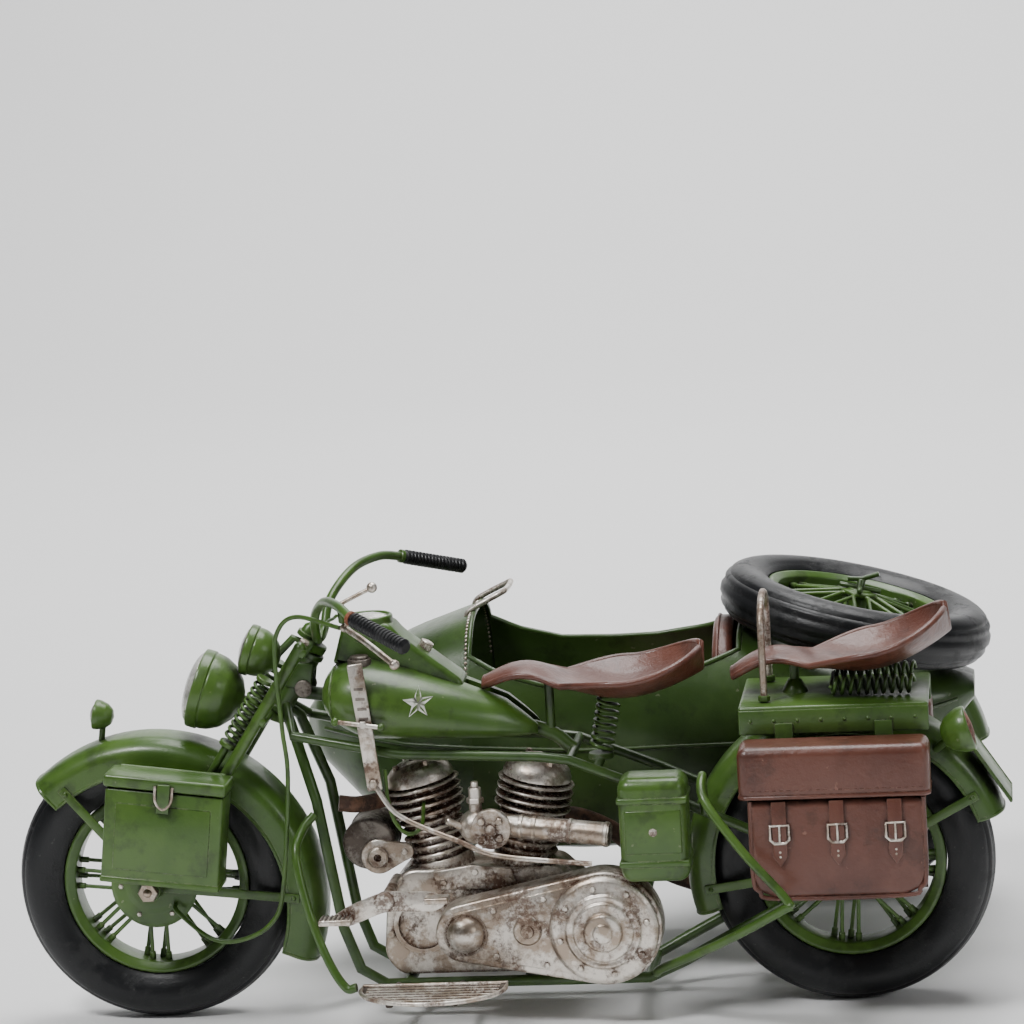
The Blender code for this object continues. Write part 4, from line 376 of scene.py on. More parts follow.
def from_bmesh(bm: bmesh.types.BMesh) -> Shape:
    """Return a bmesh as a shape and free it."""
    bm.verts.index_update()
    shape = Shape([v.co.copy() for v in bm.verts], [tuple(v.index for v in f.verts) for f in bm.faces])
    bm.free()
    return shape


def loft(rings: Sequence[Sequence[Vector]], capped: bool = True, round_trip: bool = False) -> Shape:
    """Return a skin through rings of equal length.

    Args:
        rings: the rings, each a closed loop of points.
        capped: close the first and last ring.
        round_trip: join the last ring to the first.

    Returns:
        The skin.
    """
    count = len(rings[0])
    points = [Vector(p) for ring in rings for p in ring]
    faces = []
    last = len(rings) if round_trip else len(rings) - 1
    for i in range(last):
        a, b = i * count, ((i + 1) % len(rings)) * count
        for j in range(count):
            k = (j + 1) % count
            faces.append((a + j, a + k, b + k, b + j))
    if capped and not round_trip:
        faces.append(tuple(range(count))[::-1])
        faces.append(tuple((len(rings) - 1) * count + j for j in range(count)))
    return Shape(points, faces)


def turned(profile: Sequence[tuple[float, float]], origin: Sequence[float], axis: Sequence[float], steps: int = 56,
           closed: bool = False) -> Shape:
    """Return a profile of (radius, height) points turned round an axis.

    Args:
        profile: the points, from one end to the other.
        origin: the zero of the heights.
        axis: the direction of the heights.
        steps: facets round.
        closed: the profile is a closed loop.

    Returns:
        The turned shape.
    """
    place = frame_on(origin, axis)
    rings = []
    for radius, height in profile:
        reach = max(radius, 1e-6)
        rings.append([place @ Vector((reach * math.cos(math.tau * i / steps), reach * math.sin(math.tau * i / steps), height))
                      for i in range(steps)])
    return loft(rings, capped=not closed, round_trip=closed)


def rounded(corners: Sequence[tuple[float, float]], radius: float, steps: int = 4) -> list[tuple[float, float]]:
    """Return an open profile with its inner corners rounded.

    Args:
        corners: (u, v) points.
        radius: the longest cut-back at a corner.
        steps: points on each round.

    Returns:
        The rounded profile.
    """
    spots = [Vector(c) for c in corners]
    out = [tuple(spots[0])]
    for before, here, after in zip(spots, spots[1:], spots[2:]):
        back = min(radius, (here - before).length * 0.48, (after - here).length * 0.48)
        a = here + (before - here).normalized() * back if back else here
        b = here + (after - here).normalized() * back if back else here
        for i in range(steps + 1):
            t = i / steps
            out.append(tuple(a * (1 - t) ** 2 + here * 2 * t * (1 - t) + b * t ** 2))
    out.append(tuple(spots[-1]))
    return out


def through(points: Sequence[Sequence[float]], spans: int = 6) -> list[Vector]:
    """Return a smooth curve's points through the given ones."""
    spots = [Vector(p) for p in points]
    padded = [spots[0] * 2 - spots[1], *spots, spots[-1] * 2 - spots[-2]]
    route = []
    for a, b, c, d in zip(padded, padded[1:], padded[2:], padded[3:]):
        for i in range(spans):
            t = i / spans
            route.append(0.5 * (2 * b + (c - a) * t + (2 * a - 5 * b + 4 * c - d) * t ** 2 + (3 * b - a - 3 * c + d) * t ** 3))
    return route + [spots[-1]]


def tube(points: Sequence[Sequence[float]], radius: float | Sequence[float], sides: int = 16, closed: bool = False) -> Shape:
    """Return a round bar along points.

    Args:
        points: the route.
        radius: one radius, or one for each point.
        sides: facets round.
        closed: the route is a loop.

    Returns:
        The bar.
    """
    route = [Vector(p) for p in points]
    count = len(route)
    radii = [radius] * count if isinstance(radius, (int, float)) else list(radius)
    ways = []
    for i in range(count):
        near = route[(i - 1) % count] if closed or i else route[0]
        far = route[(i + 1) % count] if closed or i < count - 1 else route[-1]
        ways.append((far - near).normalized())
    across = ways[0].orthogonal().normalized()
    rings = []
    for spot, way, reach in zip(route, ways, radii):
        across = (across - way * across.dot(way)).normalized()
        other = way.cross(across)
        rings.append([spot + (across * math.cos(math.tau * k / sides) + other * math.sin(math.tau * k / sides)) * reach
                      for k in range(sides)])
    return loft(rings, capped=not closed, round_trip=closed)


def bar(start: Sequence[float], end: Sequence[float], radius: float, far: float | None = None, sides: int = 20,
        soft: float = 0.0003) -> Shape:
    """Return a straight round bar with softened ends.

    Args:
        start: one end.
        end: the other end.
        radius: the radius at the start.
        far: the radius at the end, if it differs.
        sides: facets round.
        soft: the cut-back of the end edges.

    Returns:
        The bar.
    """
    a, b = Vector(start), Vector(end)
    length = (b - a).length
    tip = radius if far is None else far
    cut = min(soft, radius * 0.4, tip * 0.4, length * 0.3)
    return turned([(0, 0), (radius - cut, 0), (radius, cut), (tip, length - cut), (tip - cut, length), (0, length)],
                  a, b - a, sides)


def ball(centre: Sequence[float], radius: float, steps: int = 20) -> Shape:
    """Return a ball."""
    half = steps // 2
    profile = [(radius * math.sin(math.pi * i / half), -radius * math.cos(math.pi * i / half)) for i in range(half + 1)]
    return turned(profile, centre, UP, steps)


def plate(outline: Sequence[tuple[float, float]], low: float, high: float, place: Matrix | None = None,
          soft: float = 0.0004, steps: int = 2) -> Shape:
    """Return a flat outline in X and Y, raised along Z, with softened edges.

    Args:
        outline: (x, y) points round the edge.
        low: the height of one face.
        high: the height of the other face.
        place: a matrix applied at the end.
        soft: the width of the softened edges.
        steps: facets across an edge.

    Returns:
        The plate.
    """
    bm = bmesh.new()
    base = bm.faces.new([bm.verts.new((x, y, low)) for x, y in outline])
    grown = bmesh.ops.extrude_face_region(bm, geom=[base])
    bmesh.ops.translate(bm, verts=[v for v in grown["geom"] if isinstance(v, bmesh.types.BMVert)], vec=(0, 0, high - low))
    bmesh.ops.recalc_face_normals(bm, faces=bm.faces)
    if soft:
        rims = [e for e in bm.edges if len(e.link_faces) == 2 and e.calc_face_angle(0.0) > 0.5]
        bmesh.ops.bevel(bm, geom=rims, offset=min(soft, (high - low) * 0.45), segments=steps, affect="EDGES", profile=0.5)
    if place is not None:
        bm.transform(place)
    return from_bmesh(bm)


SIDE_ON = Matrix(((1, 0, 0, 0), (0, 0, 1, 0), (0, 1, 0, 0), (0, 0, 0, 1)))
END_ON = Matrix(((0, 0, 1, 0), (1, 0, 0, 0), (0, 1, 0, 0), (0, 0, 0, 1)))


def side_plate(outline: Sequence[tuple[float, float]], near: float, far: float, soft: float = 0.0004, steps: int = 2) -> Shape:
    """Return an (x, z) outline raised from one Y to another."""
    return plate(outline, near, far, SIDE_ON, soft, steps)


def block(low: Sequence[float], high: Sequence[float], soft: float = 0.001, steps: int = 3,
          place: Matrix | None = None) -> Shape:
    """Return a box with softened edges."""
    outline = [(low[0], low[1]), (high[0], low[1]), (high[0], high[1]), (low[0], high[1])]
    return plate(outline, low[2], high[2], place, soft, steps)


def arc(u: float, v: float, radius: float, start: float, end: float, steps: int = 16) -> list[tuple[float, float]]:
    """Return the points of an arc between two angles in degrees."""
    return [(u + radius * math.cos(math.radians(start + (end - start) * i / steps)),
             v + radius * math.sin(math.radians(start + (end - start) * i / steps))) for i in range(steps + 1)]


def shell(rows: Sequence[Sequence[Vector]], thickness: float) -> Shape:
    """Return a grid of points as a sheet with an even thickness.

    Args:
        rows: rows of points.
        thickness: the sheet's thickness, taken to both sides.

    Returns:
        The closed sheet.
    """
    bm = bmesh.new()
    grid = [[bm.verts.new(p) for p in row] for row in rows]
    for near, far in zip(grid, grid[1:]):
        for j in range(len(near) - 1):
            bm.faces.new((near[j], far[j], far[j + 1], near[j + 1]))
    bm.normal_update()
    mesh = bpy.data.meshes.new("sheet")
    bm.to_mesh(mesh)
    bm.free()
    obj = bpy.data.objects.new("sheet", mesh)
    bpy.context.scene.collection.objects.link(obj)
    wall = obj.modifiers.new("wall", "SOLIDIFY")
    wall.thickness = thickness
    wall.offset = 0.0
    return taken(obj)


def taken(obj: bpy.types.Object) -> Shape:
    """Return an object's evaluated mesh as a shape and remove the object."""
    graph = bpy.context.evaluated_depsgraph_get()
    mesh = bpy.data.meshes.new_from_object(obj.evaluated_get(graph))
    shape = Shape([v.co.copy() for v in mesh.vertices], [tuple(p.vertices) for p in mesh.polygons])
    old = obj.data
    bpy.data.objects.remove(obj, do_unlink=True)
    bpy.data.meshes.remove(old)
    bpy.data.meshes.remove(mesh)
    return shape


# ---- repeated shapes, by Geometry Nodes ---------------------------------------------------------
class Repeater:
    """A Geometry Nodes tree with named inputs that copies or draws a shape many times."""

    def __init__(self, name: str, inputs: Sequence[tuple[str, str]]) -> None:
        """Start a tree.

        Args:
            name: the tree's name.
            inputs: (name, socket type) of each value input.
        """
        self.tree = bpy.data.node_groups.new(name, "GeometryNodeTree")
        face = self.tree.interface
        self.keys: dict[str, str] = {}
        face.new_socket("Item", in_out="INPUT", socket_type="NodeSocketGeometry")
        for title, kind in [*inputs, ("Material", "NodeSocketMaterial")]:
            self.keys[title] = face.new_socket(title, in_out="INPUT", socket_type=kind).identifier
        face.new_socket("Result", in_out="OUTPUT", socket_type="NodeSocketGeometry")
        self.given = self.tree.nodes.new("NodeGroupInput")
        self.outcome = self.tree.nodes.new("NodeGroupOutput")

    def add(self, kind: str, settings: dict[str, Any] | None = None, inputs: dict[Any, Any] | None = None) -> Any:
        """Return a new node with its settings, then its values or links, filled in."""
        made = self.tree.nodes.new(kind)
        for key, value in (settings or {}).items():
            setattr(made, key, value)
        for key, value in (inputs or {}).items():
            if isinstance(value, bpy.types.NodeSocket):
                self.tree.links.new(value, made.inputs[key])
            else:
                made.inputs[key].default_value = value
        return made

    def close(self, geometry: bpy.types.NodeSocket) -> None:
        """End the tree with real geometry and its material."""
        real = self.add("GeometryNodeRealizeInstances", {}, {"Geometry": geometry})
        dressed = self.add("GeometryNodeSetMaterial", {}, {"Geometry": real.outputs[0],
                                                           "Material": self.given.outputs["Material"]})
        self.tree.links.new(dressed.outputs[0], self.outcome.inputs[0])

    def run(self, item: Shape, finish: Finish, **values: Any) -> Shape:
        """Return the tree's result for a shape and values.

        Args:
            item: the shape to repeat.
            finish: the finish set on the result.
            values: the inputs by name.

        Returns:
            The repeated shape.
        """
        mesh = bpy.data.meshes.new("item")
        mesh.from_pydata([tuple(p) for p in item.points], [], item.faces)
        obj = bpy.data.objects.new("item", mesh)
        bpy.context.scene.collection.objects.link(obj)
        step = obj.modifiers.new("repeat", "NODES")
        step.node_group = self.tree
        for title, value in values.items():
            step[self.keys[title]] = value
        step[self.keys["Material"]] = finish.material()
        return taken(obj)


class RingRepeater(Repeater):
    """Copies an item round the Z axis."""

    def __init__(self) -> None:
        """Build the tree."""
        super().__init__("ring_of_items", [("Count", "NodeSocketInt"), ("Phase", "NodeSocketFloat")])
        points = self.add("GeometryNodePoints", {}, {"Count": self.given.outputs["Count"]})
        index = self.add("GeometryNodeInputIndex")
        share = self.add("ShaderNodeMath", {"operation": "DIVIDE"}, {0: index.outputs[0], 1: self.given.outputs["Count"]})
        angle = self.add("ShaderNodeMath", {"operation": "MULTIPLY_ADD"},
                         {0: share.outputs[0], 1: math.tau, 2: self.given.outputs["Phase"]})
        turn = self.add("ShaderNodeCombineXYZ", {}, {"Z": angle.outputs[0]})
        copies = self.add("GeometryNodeInstanceOnPoints", {},
                          {"Points": points.outputs[0], "Instance": self.given.outputs["Item"], "Rotation": turn.outputs[0]})
        self.close(copies.outputs[0])


class RowRepeater(Repeater):
    """Copies an item in a straight row."""

    def __init__(self) -> None:
        """Build the tree."""
        super().__init__("row_of_items", [("Count", "NodeSocketInt"), ("Step", "NodeSocketVector")])
        line = self.add("GeometryNodeMeshLine", {"mode": "OFFSET"},
                        {"Count": self.given.outputs["Count"], "Offset": self.given.outputs["Step"]})
        copies = self.add("GeometryNodeInstanceOnPoints", {},
                          {"Points": line.outputs[0], "Instance": self.given.outputs["Item"]})
        self.close(copies.outputs[0])


class CoilRepeater(Repeater):
    """Draws a coil of round wire up the Z axis."""

    def __init__(self) -> None:
        """Build the tree."""
        super().__init__("wire_coil", [("Turns", "NodeSocketFloat"), ("Radius", "NodeSocketFloat"),
                                       ("Height", "NodeSocketFloat"), ("Wire", "NodeSocketFloat")])
        spiral = self.add("GeometryNodeCurveSpiral", {}, {
            "Resolution": 28, "Rotations": self.given.outputs["Turns"], "Start Radius": self.given.outputs["Radius"],
            "End Radius": self.given.outputs["Radius"], "Height": self.given.outputs["Height"]})
        section = self.add("GeometryNodeCurvePrimitiveCircle", {}, {"Resolution": 12, "Radius": self.given.outputs["Wire"]})
        wire = self.add("GeometryNodeCurveToMesh", {},
                        {"Curve": spiral.outputs[0], "Profile Curve": section.outputs[0], "Fill Caps": True})
        self.close(wire.outputs[0])


@dataclass
class Kit:
    """What every sub-assembly is built with: the repeaters and the shift to the frame's zero."""

    shift: Vector
    ring: RingRepeater = field(default_factory=RingRepeater)
    row: RowRepeater = field(default_factory=RowRepeater)
    coils: CoilRepeater = field(default_factory=CoilRepeater)

    def coil(self, start: Vector, end: Vector, radius: float, wire: float, turns: float, finish: Finish) -> Shape:
        """Return a coil spring between two points."""
        run = self.coils.run(Shape([Vector()], []), finish, Turns=float(turns), Radius=radius,
                             Height=(end - start).length - 2 * wire, Wire=wire)
        return run.moved(frame_on(start, end - start) @ Matrix.Translation((0, 0, wire)))

    def around(self, item: Shape, count: int, place: Matrix, finish: Finish, phase: float = 0.0) -> Shape:
        """Return an item repeated round a placed Z axis."""
        return self.ring.run(item, finish, Count=count, Phase=phase).moved(place)

    def along(self, item: Shape, count: int, step: Sequence[float], finish: Finish) -> Shape:
        """Return an item repeated along a step."""
        return self.row.run(item, finish, Count=count, Step=tuple(step))


Layers = Sequence[tuple[Finish, Shape]]


@dataclass
class SubAssembly:
    """A group of visible pieces."""

    kit: Kit

    def keep(self, name: str, layers: Layers, body: str, nodes: Sequence[str], slot: str,
             crease: float = 38.0) -> bpy.types.Object:
        """Make one visible piece from shapes and their finishes.

        Args:
            name: the piece's name.
            layers: the finish and shape of each part of it.
            body: the moving body that it rides on.
            nodes: the frame's nodes that it stands for.
            slot: the name of a material slot; not used.
            crease: the angle in degrees over which an edge stays sharp.

        Returns:
            The piece.
        """
        mesh = bpy.data.meshes.new(name)
        whole = joined(shape for _, shape in layers)
        mesh.from_pydata([tuple(p - self.kit.shift) for p in whole.points], [], whole.faces)
        numbers = []
        for finish, shape in layers:
            material = finish.material()
            if material.name not in mesh.materials:
                mesh.materials.append(material)
            numbers += [list(mesh.materials).index(material)] * len(shape.faces)
        mesh.polygons.foreach_set("material_index", numbers)
        bm = bmesh.new()
        bm.from_mesh(mesh)
        bmesh.ops.remove_doubles(bm, verts=bm.verts, dist=0.000004)
        bmesh.ops.dissolve_degenerate(bm, edges=bm.edges, dist=0.000002)
        bmesh.ops.recalc_face_normals(bm, faces=bm.faces)
        bm.to_mesh(mesh)
        bm.free()
        mesh.polygons.foreach_set("use_smooth", [True] * len(mesh.polygons))
        mesh.set_sharp_from_angle(angle=math.radians(crease))
        obj = bpy.data.objects.new(name, mesh)
        bpy.context.scene.collection.objects.link(obj)
        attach(obj, body)
        if nodes:
            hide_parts(*nodes)
        log.info("%s: %d faces on %s", name, len(mesh.polygons), body)
        return obj


# ---- wheels -------------------------------------------------------------------------------------
FRONT_AXLE = Vector((-0.114, 0.0, 0.049))
REAR_AXLE = Vector((0.125, 0.0, 0.049))
SIDECAR_Y = 0.083
SIDECAR_AXLE = Vector((0.118, 0.1356, 0.049))
SPARE_CENTRE = Vector((0.1270, SIDECAR_Y, 0.1178))
SPARE_TILT = math.radians(14.0)


@dataclass
class Wheels(SubAssembly):
    """The tyres, spoked wheels and axles."""

    tyre_radius: float = 0.0489
    tyre_half: float = 0.0094
    bead_radius: float = 0.0328
    spokes_a_side: int = 16

    def tyre(self) -> Shape:
        """Return a ribbed tyre round the Z axis."""
        middle = (self.tyre_radius + self.bead_radius) / 2
        depth = self.tyre_radius - middle
        crown = []
        for step in range(-14, 15):
            angle = math.radians(step * 7.0)
            groove = 0.00050 if abs(step) in (2, 3, 6) else 0.0
            crown.append((middle + (depth - groove) * math.cos(angle), (self.tyre_half - groove) * math.sin(angle)))
        wall = [(self.bead_radius + 0.0030, 0.0086), (self.bead_radius + 0.0024, 0.0080), (self.bead_radius + 0.0016, 0.0078),
                (self.bead_radius, 0.0062)]
        profile = [(r, -z) for r, z in reversed(wall)] + crown + wall
        return turned(profile, (0, 0, 0), UP, 96, closed=True)

    def rim(self) -> Shape:
        """Return the rim channel round the Z axis."""
        outer, inner, half = self.bead_radius - 0.0003, 0.0287, 0.0060
        profile = rounded([(outer, -half * 0.5), (outer, half), (outer - 0.0012, half + 0.0004), (inner, half * 0.80),
                           (inner, -half * 0.80), (outer - 0.0012, -half - 0.0004), (outer, -half), (outer, -half * 0.49)],
                          0.0005, 3)
        return turned(profile, (0, 0, 0), UP, 96, closed=True)

    def spokes(self, finish: Finish) -> Shape:
        """Return both sides' crossed spokes with their nipples, round the Z axis."""
        out = []
        for side in (-1, 1):
            for lean in (-1, 1):
                spread = math.radians(34.0) * lean
                start = Vector((0.0042 * math.cos(spread), 0.0042 * math.sin(spread), side * 0.0070))
                end = Vector((0.0289, 0.0, side * 0.0016))
                spoke = bar(start, end, 0.00070, sides=10, soft=0.0)
                spoke += bar(end + (start - end) * 0.12, end, 0.0011, sides=10)
                phase = math.tau / self.spokes_a_side * (0.5 if lean > 0 else 0.0) + side * 0.05
                out.append(self.kit.around(spoke, self.spokes_a_side // 2, Matrix(), finish, phase))
        return joined(out)

    def hub(self) -> Shape:
        """Return the hub with its flanges round the Z axis."""
        profile = rounded([(0.0019, 0.0084), (0.0040, 0.0084), (0.0044, 0.0078), (0.0064, 0.0076), (0.0064, 0.0064),
                           (0.0036, 0.0056), (0.0036, -0.0056), (0.0064, -0.0064), (0.0064, -0.0076), (0.0044, -0.0078),
                           (0.0040, -0.0084), (0.0019, -0.0084)], 0.0005, 3)
        return turned(profile, (0, 0, 0), UP, 40, closed=True)

    def build(self) -> None:
        """Build every wheel."""
        tyre = self.tyre()
        green = joined([self.rim(), self.spokes(Finish.GREEN), self.hub()])
        upright = {name: frame_on(centre, SIDE) for name, centre in
                   (("front", FRONT_AXLE), ("rear", REAR_AXLE), ("sidecar", SIDECAR_AXLE))}
        upright["spare"] = Matrix.Translation(SPARE_CENTRE) @ Matrix.Rotation(SPARE_TILT, 4, "Y")
        for name, place in upright.items():
            body = "chassis" if name == "spare" else f"{name}_wheel_assembly"
            self.keep(f"{name}_tyre_skin", [(Finish.RUBBER, tyre.moved(place))], body, [f"{name}_tyre"], "black_rubber")
            self.keep(f"{name}_wheel_skin", [(Finish.GREEN, green.moved(place))], body, [f"{name}_wheel"], "olive_paint")
        for name, centre, half, body in (("front_axle", FRONT_AXLE, 0.0215, "steering_head"),
                                         ("rear_axle", REAR_AXLE, 0.0216, "chassis")):
            shaft = bar(centre - SIDE * half, centre + SIDE * half, 0.0015)
            nuts = []
            for side in (-1, 1):
                tip = centre + SIDE * side * half
                nuts.append(bar(tip - SIDE * side * 0.0026, tip - SIDE * side * 0.0002, 0.0035, sides=6))
                nuts.append(ball(tip - SIDE * side * 0.0006, 0.0016))
            self.keep(f"{name}_skin", [(Finish.SILVER, joined([shaft, *nuts]))], body, [name], "antique_silver")


# ---- front end ----------------------------------------------------------------------------------
RAKE = math.radians(33.5)
STEER_AXIS = Vector((math.sin(RAKE), 0.0, math.cos(RAKE)))
STEER_BACK = Vector((math.cos(RAKE), 0.0, -math.sin(RAKE)))
HEAD = FRONT_AXLE + STEER_BACK * 0.0062 + STEER_AXIS * ((0.117 - 0.049 + 0.0062 * math.sin(RAKE)) / math.cos(RAKE))
HEAD_ALONG = (HEAD - FRONT_AXLE - STEER_BACK * 0.0062).length
LOWER_YOKE = HEAD_ALONG - 0.0123
UPPER_YOKE = HEAD_ALONG + 0.0123
YOKE = 0.0032
LAMP_AXIS = Vector((-math.cos(math.radians(19.0)), 0.0, math.sin(math.radians(19.0))))


def in_fork(back: float, across: float, along: float) -> Vector:
    """Return a point from steering coordinates: behind the axis, across, and up it from the axle."""
    return FRONT_AXLE + STEER_BACK * (0.0062 + back) + SIDE * across + STEER_AXIS * along


def fork_place() -> Matrix:
    """Return the steering frame, with +Z up the steering axis."""
    o = in_fork(0, 0, 0)
    return Matrix(((STEER_BACK.x, 0, STEER_AXIS.x, o.x), (0, 1, 0, o.y), (STEER_BACK.z, 0, STEER_AXIS.z, o.z), (0, 0, 0, 1)))


@dataclass
class Fork(SubAssembly):
    """The springer fork, its lamps, springs and yokes."""

    half_width: float = 0.0165
    leg_radius: float = 0.0021
    leg_back: float = -0.0035
    spring_back: float = -0.0084
    rod_half: float = 0.0142
    spring_low: float = 0.0590
    spring_high: float = 0.0828

    def yoke(self, low: float) -> Shape:
        """Return one yoke plate from a height up the steering axis."""
        half = self.half_width + self.leg_radius - 0.0002
        edge = self.leg_back
        outline = [(edge - 0.0014, -half), (edge + 0.003, -half), (edge + 0.003, -0.0052), (0.0038, -0.0022), (0.0040, 0.0),
                   (0.0038, 0.0022), (edge + 0.003, 0.0052), (edge + 0.003, half), (edge - 0.0014, half)]
        return plate(outline, low, low + YOKE, fork_place(), 0.0008, 3)

    def side_parts(self, side: int) -> Shape:
        """Return the leg, rocker, spring rod and its seats on one side."""
        across, rod_y = side * self.half_width, side * self.rod_half
        eye = FRONT_AXLE + SIDE * across
        top = UPPER_YOKE + YOKE - 0.0006
        knee = in_fork(self.leg_back, across, 0.012)
        leg = tube(through([eye, knee, in_fork(self.leg_back, across, 0.030), in_fork(self.leg_back, across, top)], 6),
                   self.leg_radius, 20)
        back = self.spring_back
        parts = [leg, bar(eye - SIDE * 0.0021, eye + SIDE * 0.0021, 0.0040, sides=32),
                 bar(in_fork(back, rod_y, 0.012), in_fork(back, rod_y, self.spring_low), 0.0014),
                 bar(in_fork(self.leg_back, across, 0.013), in_fork(back, rod_y, 0.013), 0.0012),
                 bar(in_fork(back, rod_y, self.spring_low - 0.0018), in_fork(back, rod_y, self.spring_low), 0.0031, sides=28),
                 bar(in_fork(back, rod_y, self.spring_high + 0.0004), in_fork(back, rod_y, self.spring_high + 0.0020), 0.0031,
                     sides=28),
                 ball(in_fork(self.leg_back, across, top), 0.0022),
                 bar(in_fork(self.leg_back, across, self.spring_high + 0.0014), in_fork(back, rod_y, self.spring_high + 0.0014),
                     0.0006)]
        return joined(parts)

    def lamp(self, centre: Vector, radius: float, depth: float) -> Shape:
        """Return a lamp bowl with its rolled rim band."""
        bowl = [(0.0, -0.0005), (radius - 0.0012, -0.0005), (radius - 0.0010, 0.0004), (radius - 0.0002, 0.0004),
                (radius, -0.0003), (radius, -depth * 0.20), (radius - 0.0006, -depth * 0.215),
                (radius - 0.0004, -depth * 0.26), (radius * 0.93, -depth * 0.44), (radius * 0.80, -depth * 0.66),
                (radius * 0.52, -depth * 0.88), (radius * 0.24, -depth * 0.985), (0.0, -depth)]
        return turned(rounded(bowl, 0.0008, 3), centre, LAMP_AXIS, 56)

    def build(self) -> None:
        """Build the fork group."""
        stem = bar(in_fork(0, 0, LOWER_YOKE), in_fork(0, 0, UPPER_YOKE + 0.002), 0.0020)
        crown = in_fork(-0.0045, 0, UPPER_YOKE + YOKE - 0.0004)
        dome = turned([(0, 0), (0.0034, 0), (0.0034, 0.0016), (0.0027, 0.0018), (0.0024, 0.0040), (0.0012, 0.0054), (0, 0.0056)],
                      crown, STEER_AXIS, 32)
        green = [self.yoke(LOWER_YOKE - YOKE), self.yoke(UPPER_YOKE), stem, dome, self.side_parts(-1), self.side_parts(1)]
        bolts = [bar(in_fork(-0.0034, y, UPPER_YOKE + YOKE - 0.0003), in_fork(-0.0034, y, UPPER_YOKE + YOKE + 0.0012), 0.0018,
                     sides=6) for y in (-0.0105, 0.0105)]
        self.keep("fork_skin", [(Finish.GREEN, joined(green)), (Finish.SILVER, joined(bolts))], "steering_head", ["fork"],
                  "olive_paint")
        for side, name in ((-1, "left"), (1, "right")):
            spring = self.kit.coil(in_fork(self.spring_back, side * self.rod_half, self.spring_low + 0.0002),
                                   in_fork(self.spring_back, side * self.rod_half, self.spring_high), 0.0024, 0.00062, 10,
                                   Finish.GREEN)
            self.keep(f"fork_spring_{name}_skin", [(Finish.GREEN, spring)], "steering_head", [f"fork_spring_{name}"],
                      "dark_olive_paint")
        self.build_lamps()

    def build_lamps(self) -> None:
        """Build both lamps and the headlamp's glass."""
        centre = FRONT_AXLE + Vector((0.0182, 0, 0.0668))
        front = self.leg_back - 0.0014
        arm = tube([centre - LAMP_AXIS * 0.0135, in_fork(front - 0.003, 0, LOWER_YOKE - YOKE / 2),
                    in_fork(front, 0, LOWER_YOKE - YOKE / 2)], 0.0018, 16)
        self.keep("headlamp_skin", [(Finish.GREEN, self.lamp(centre, 0.0138, 0.0165) + arm)], "steering_head", ["headlamp"],
                  "olive_paint")
        dish = [(0.0126 * math.sin(a), 0.0001 + 0.0039 * math.cos(a) ** 1.0)
                for a in (math.pi / 2 * i / 12 for i in range(13))]
        glass = turned(dish + [(0, 0.0001)], centre, LAMP_AXIS, 56)
        self.keep("headlamp_glass", [(Finish.GLASS, glass)], "steering_head", ["headlamp_lens"], "lamp_glass")
        centre = FRONT_AXLE + Vector((0.0364, 0, 0.0796))
        arm = tube([centre - LAMP_AXIS * 0.010, in_fork(front - 0.003, 0, UPPER_YOKE + 0.0004),
                    in_fork(front, 0, UPPER_YOKE + 0.0004)], 0.0014, 16)
        hood = turned([(0.0066, 0.0002), (0.0070, 0.0010), (0.0060, 0.0014), (0.0030, 0.0022), (0.0, 0.0024), (0.0, 0.0)],
                      centre, LAMP_AXIS, 40)
        self.keep("blackout_lamp_skin", [(Finish.GREEN, self.lamp(centre, 0.0089, 0.0120) + arm), (Finish.GLASS, hood)],
                  "steering_head", ["blackout_lamp"], "olive_paint")


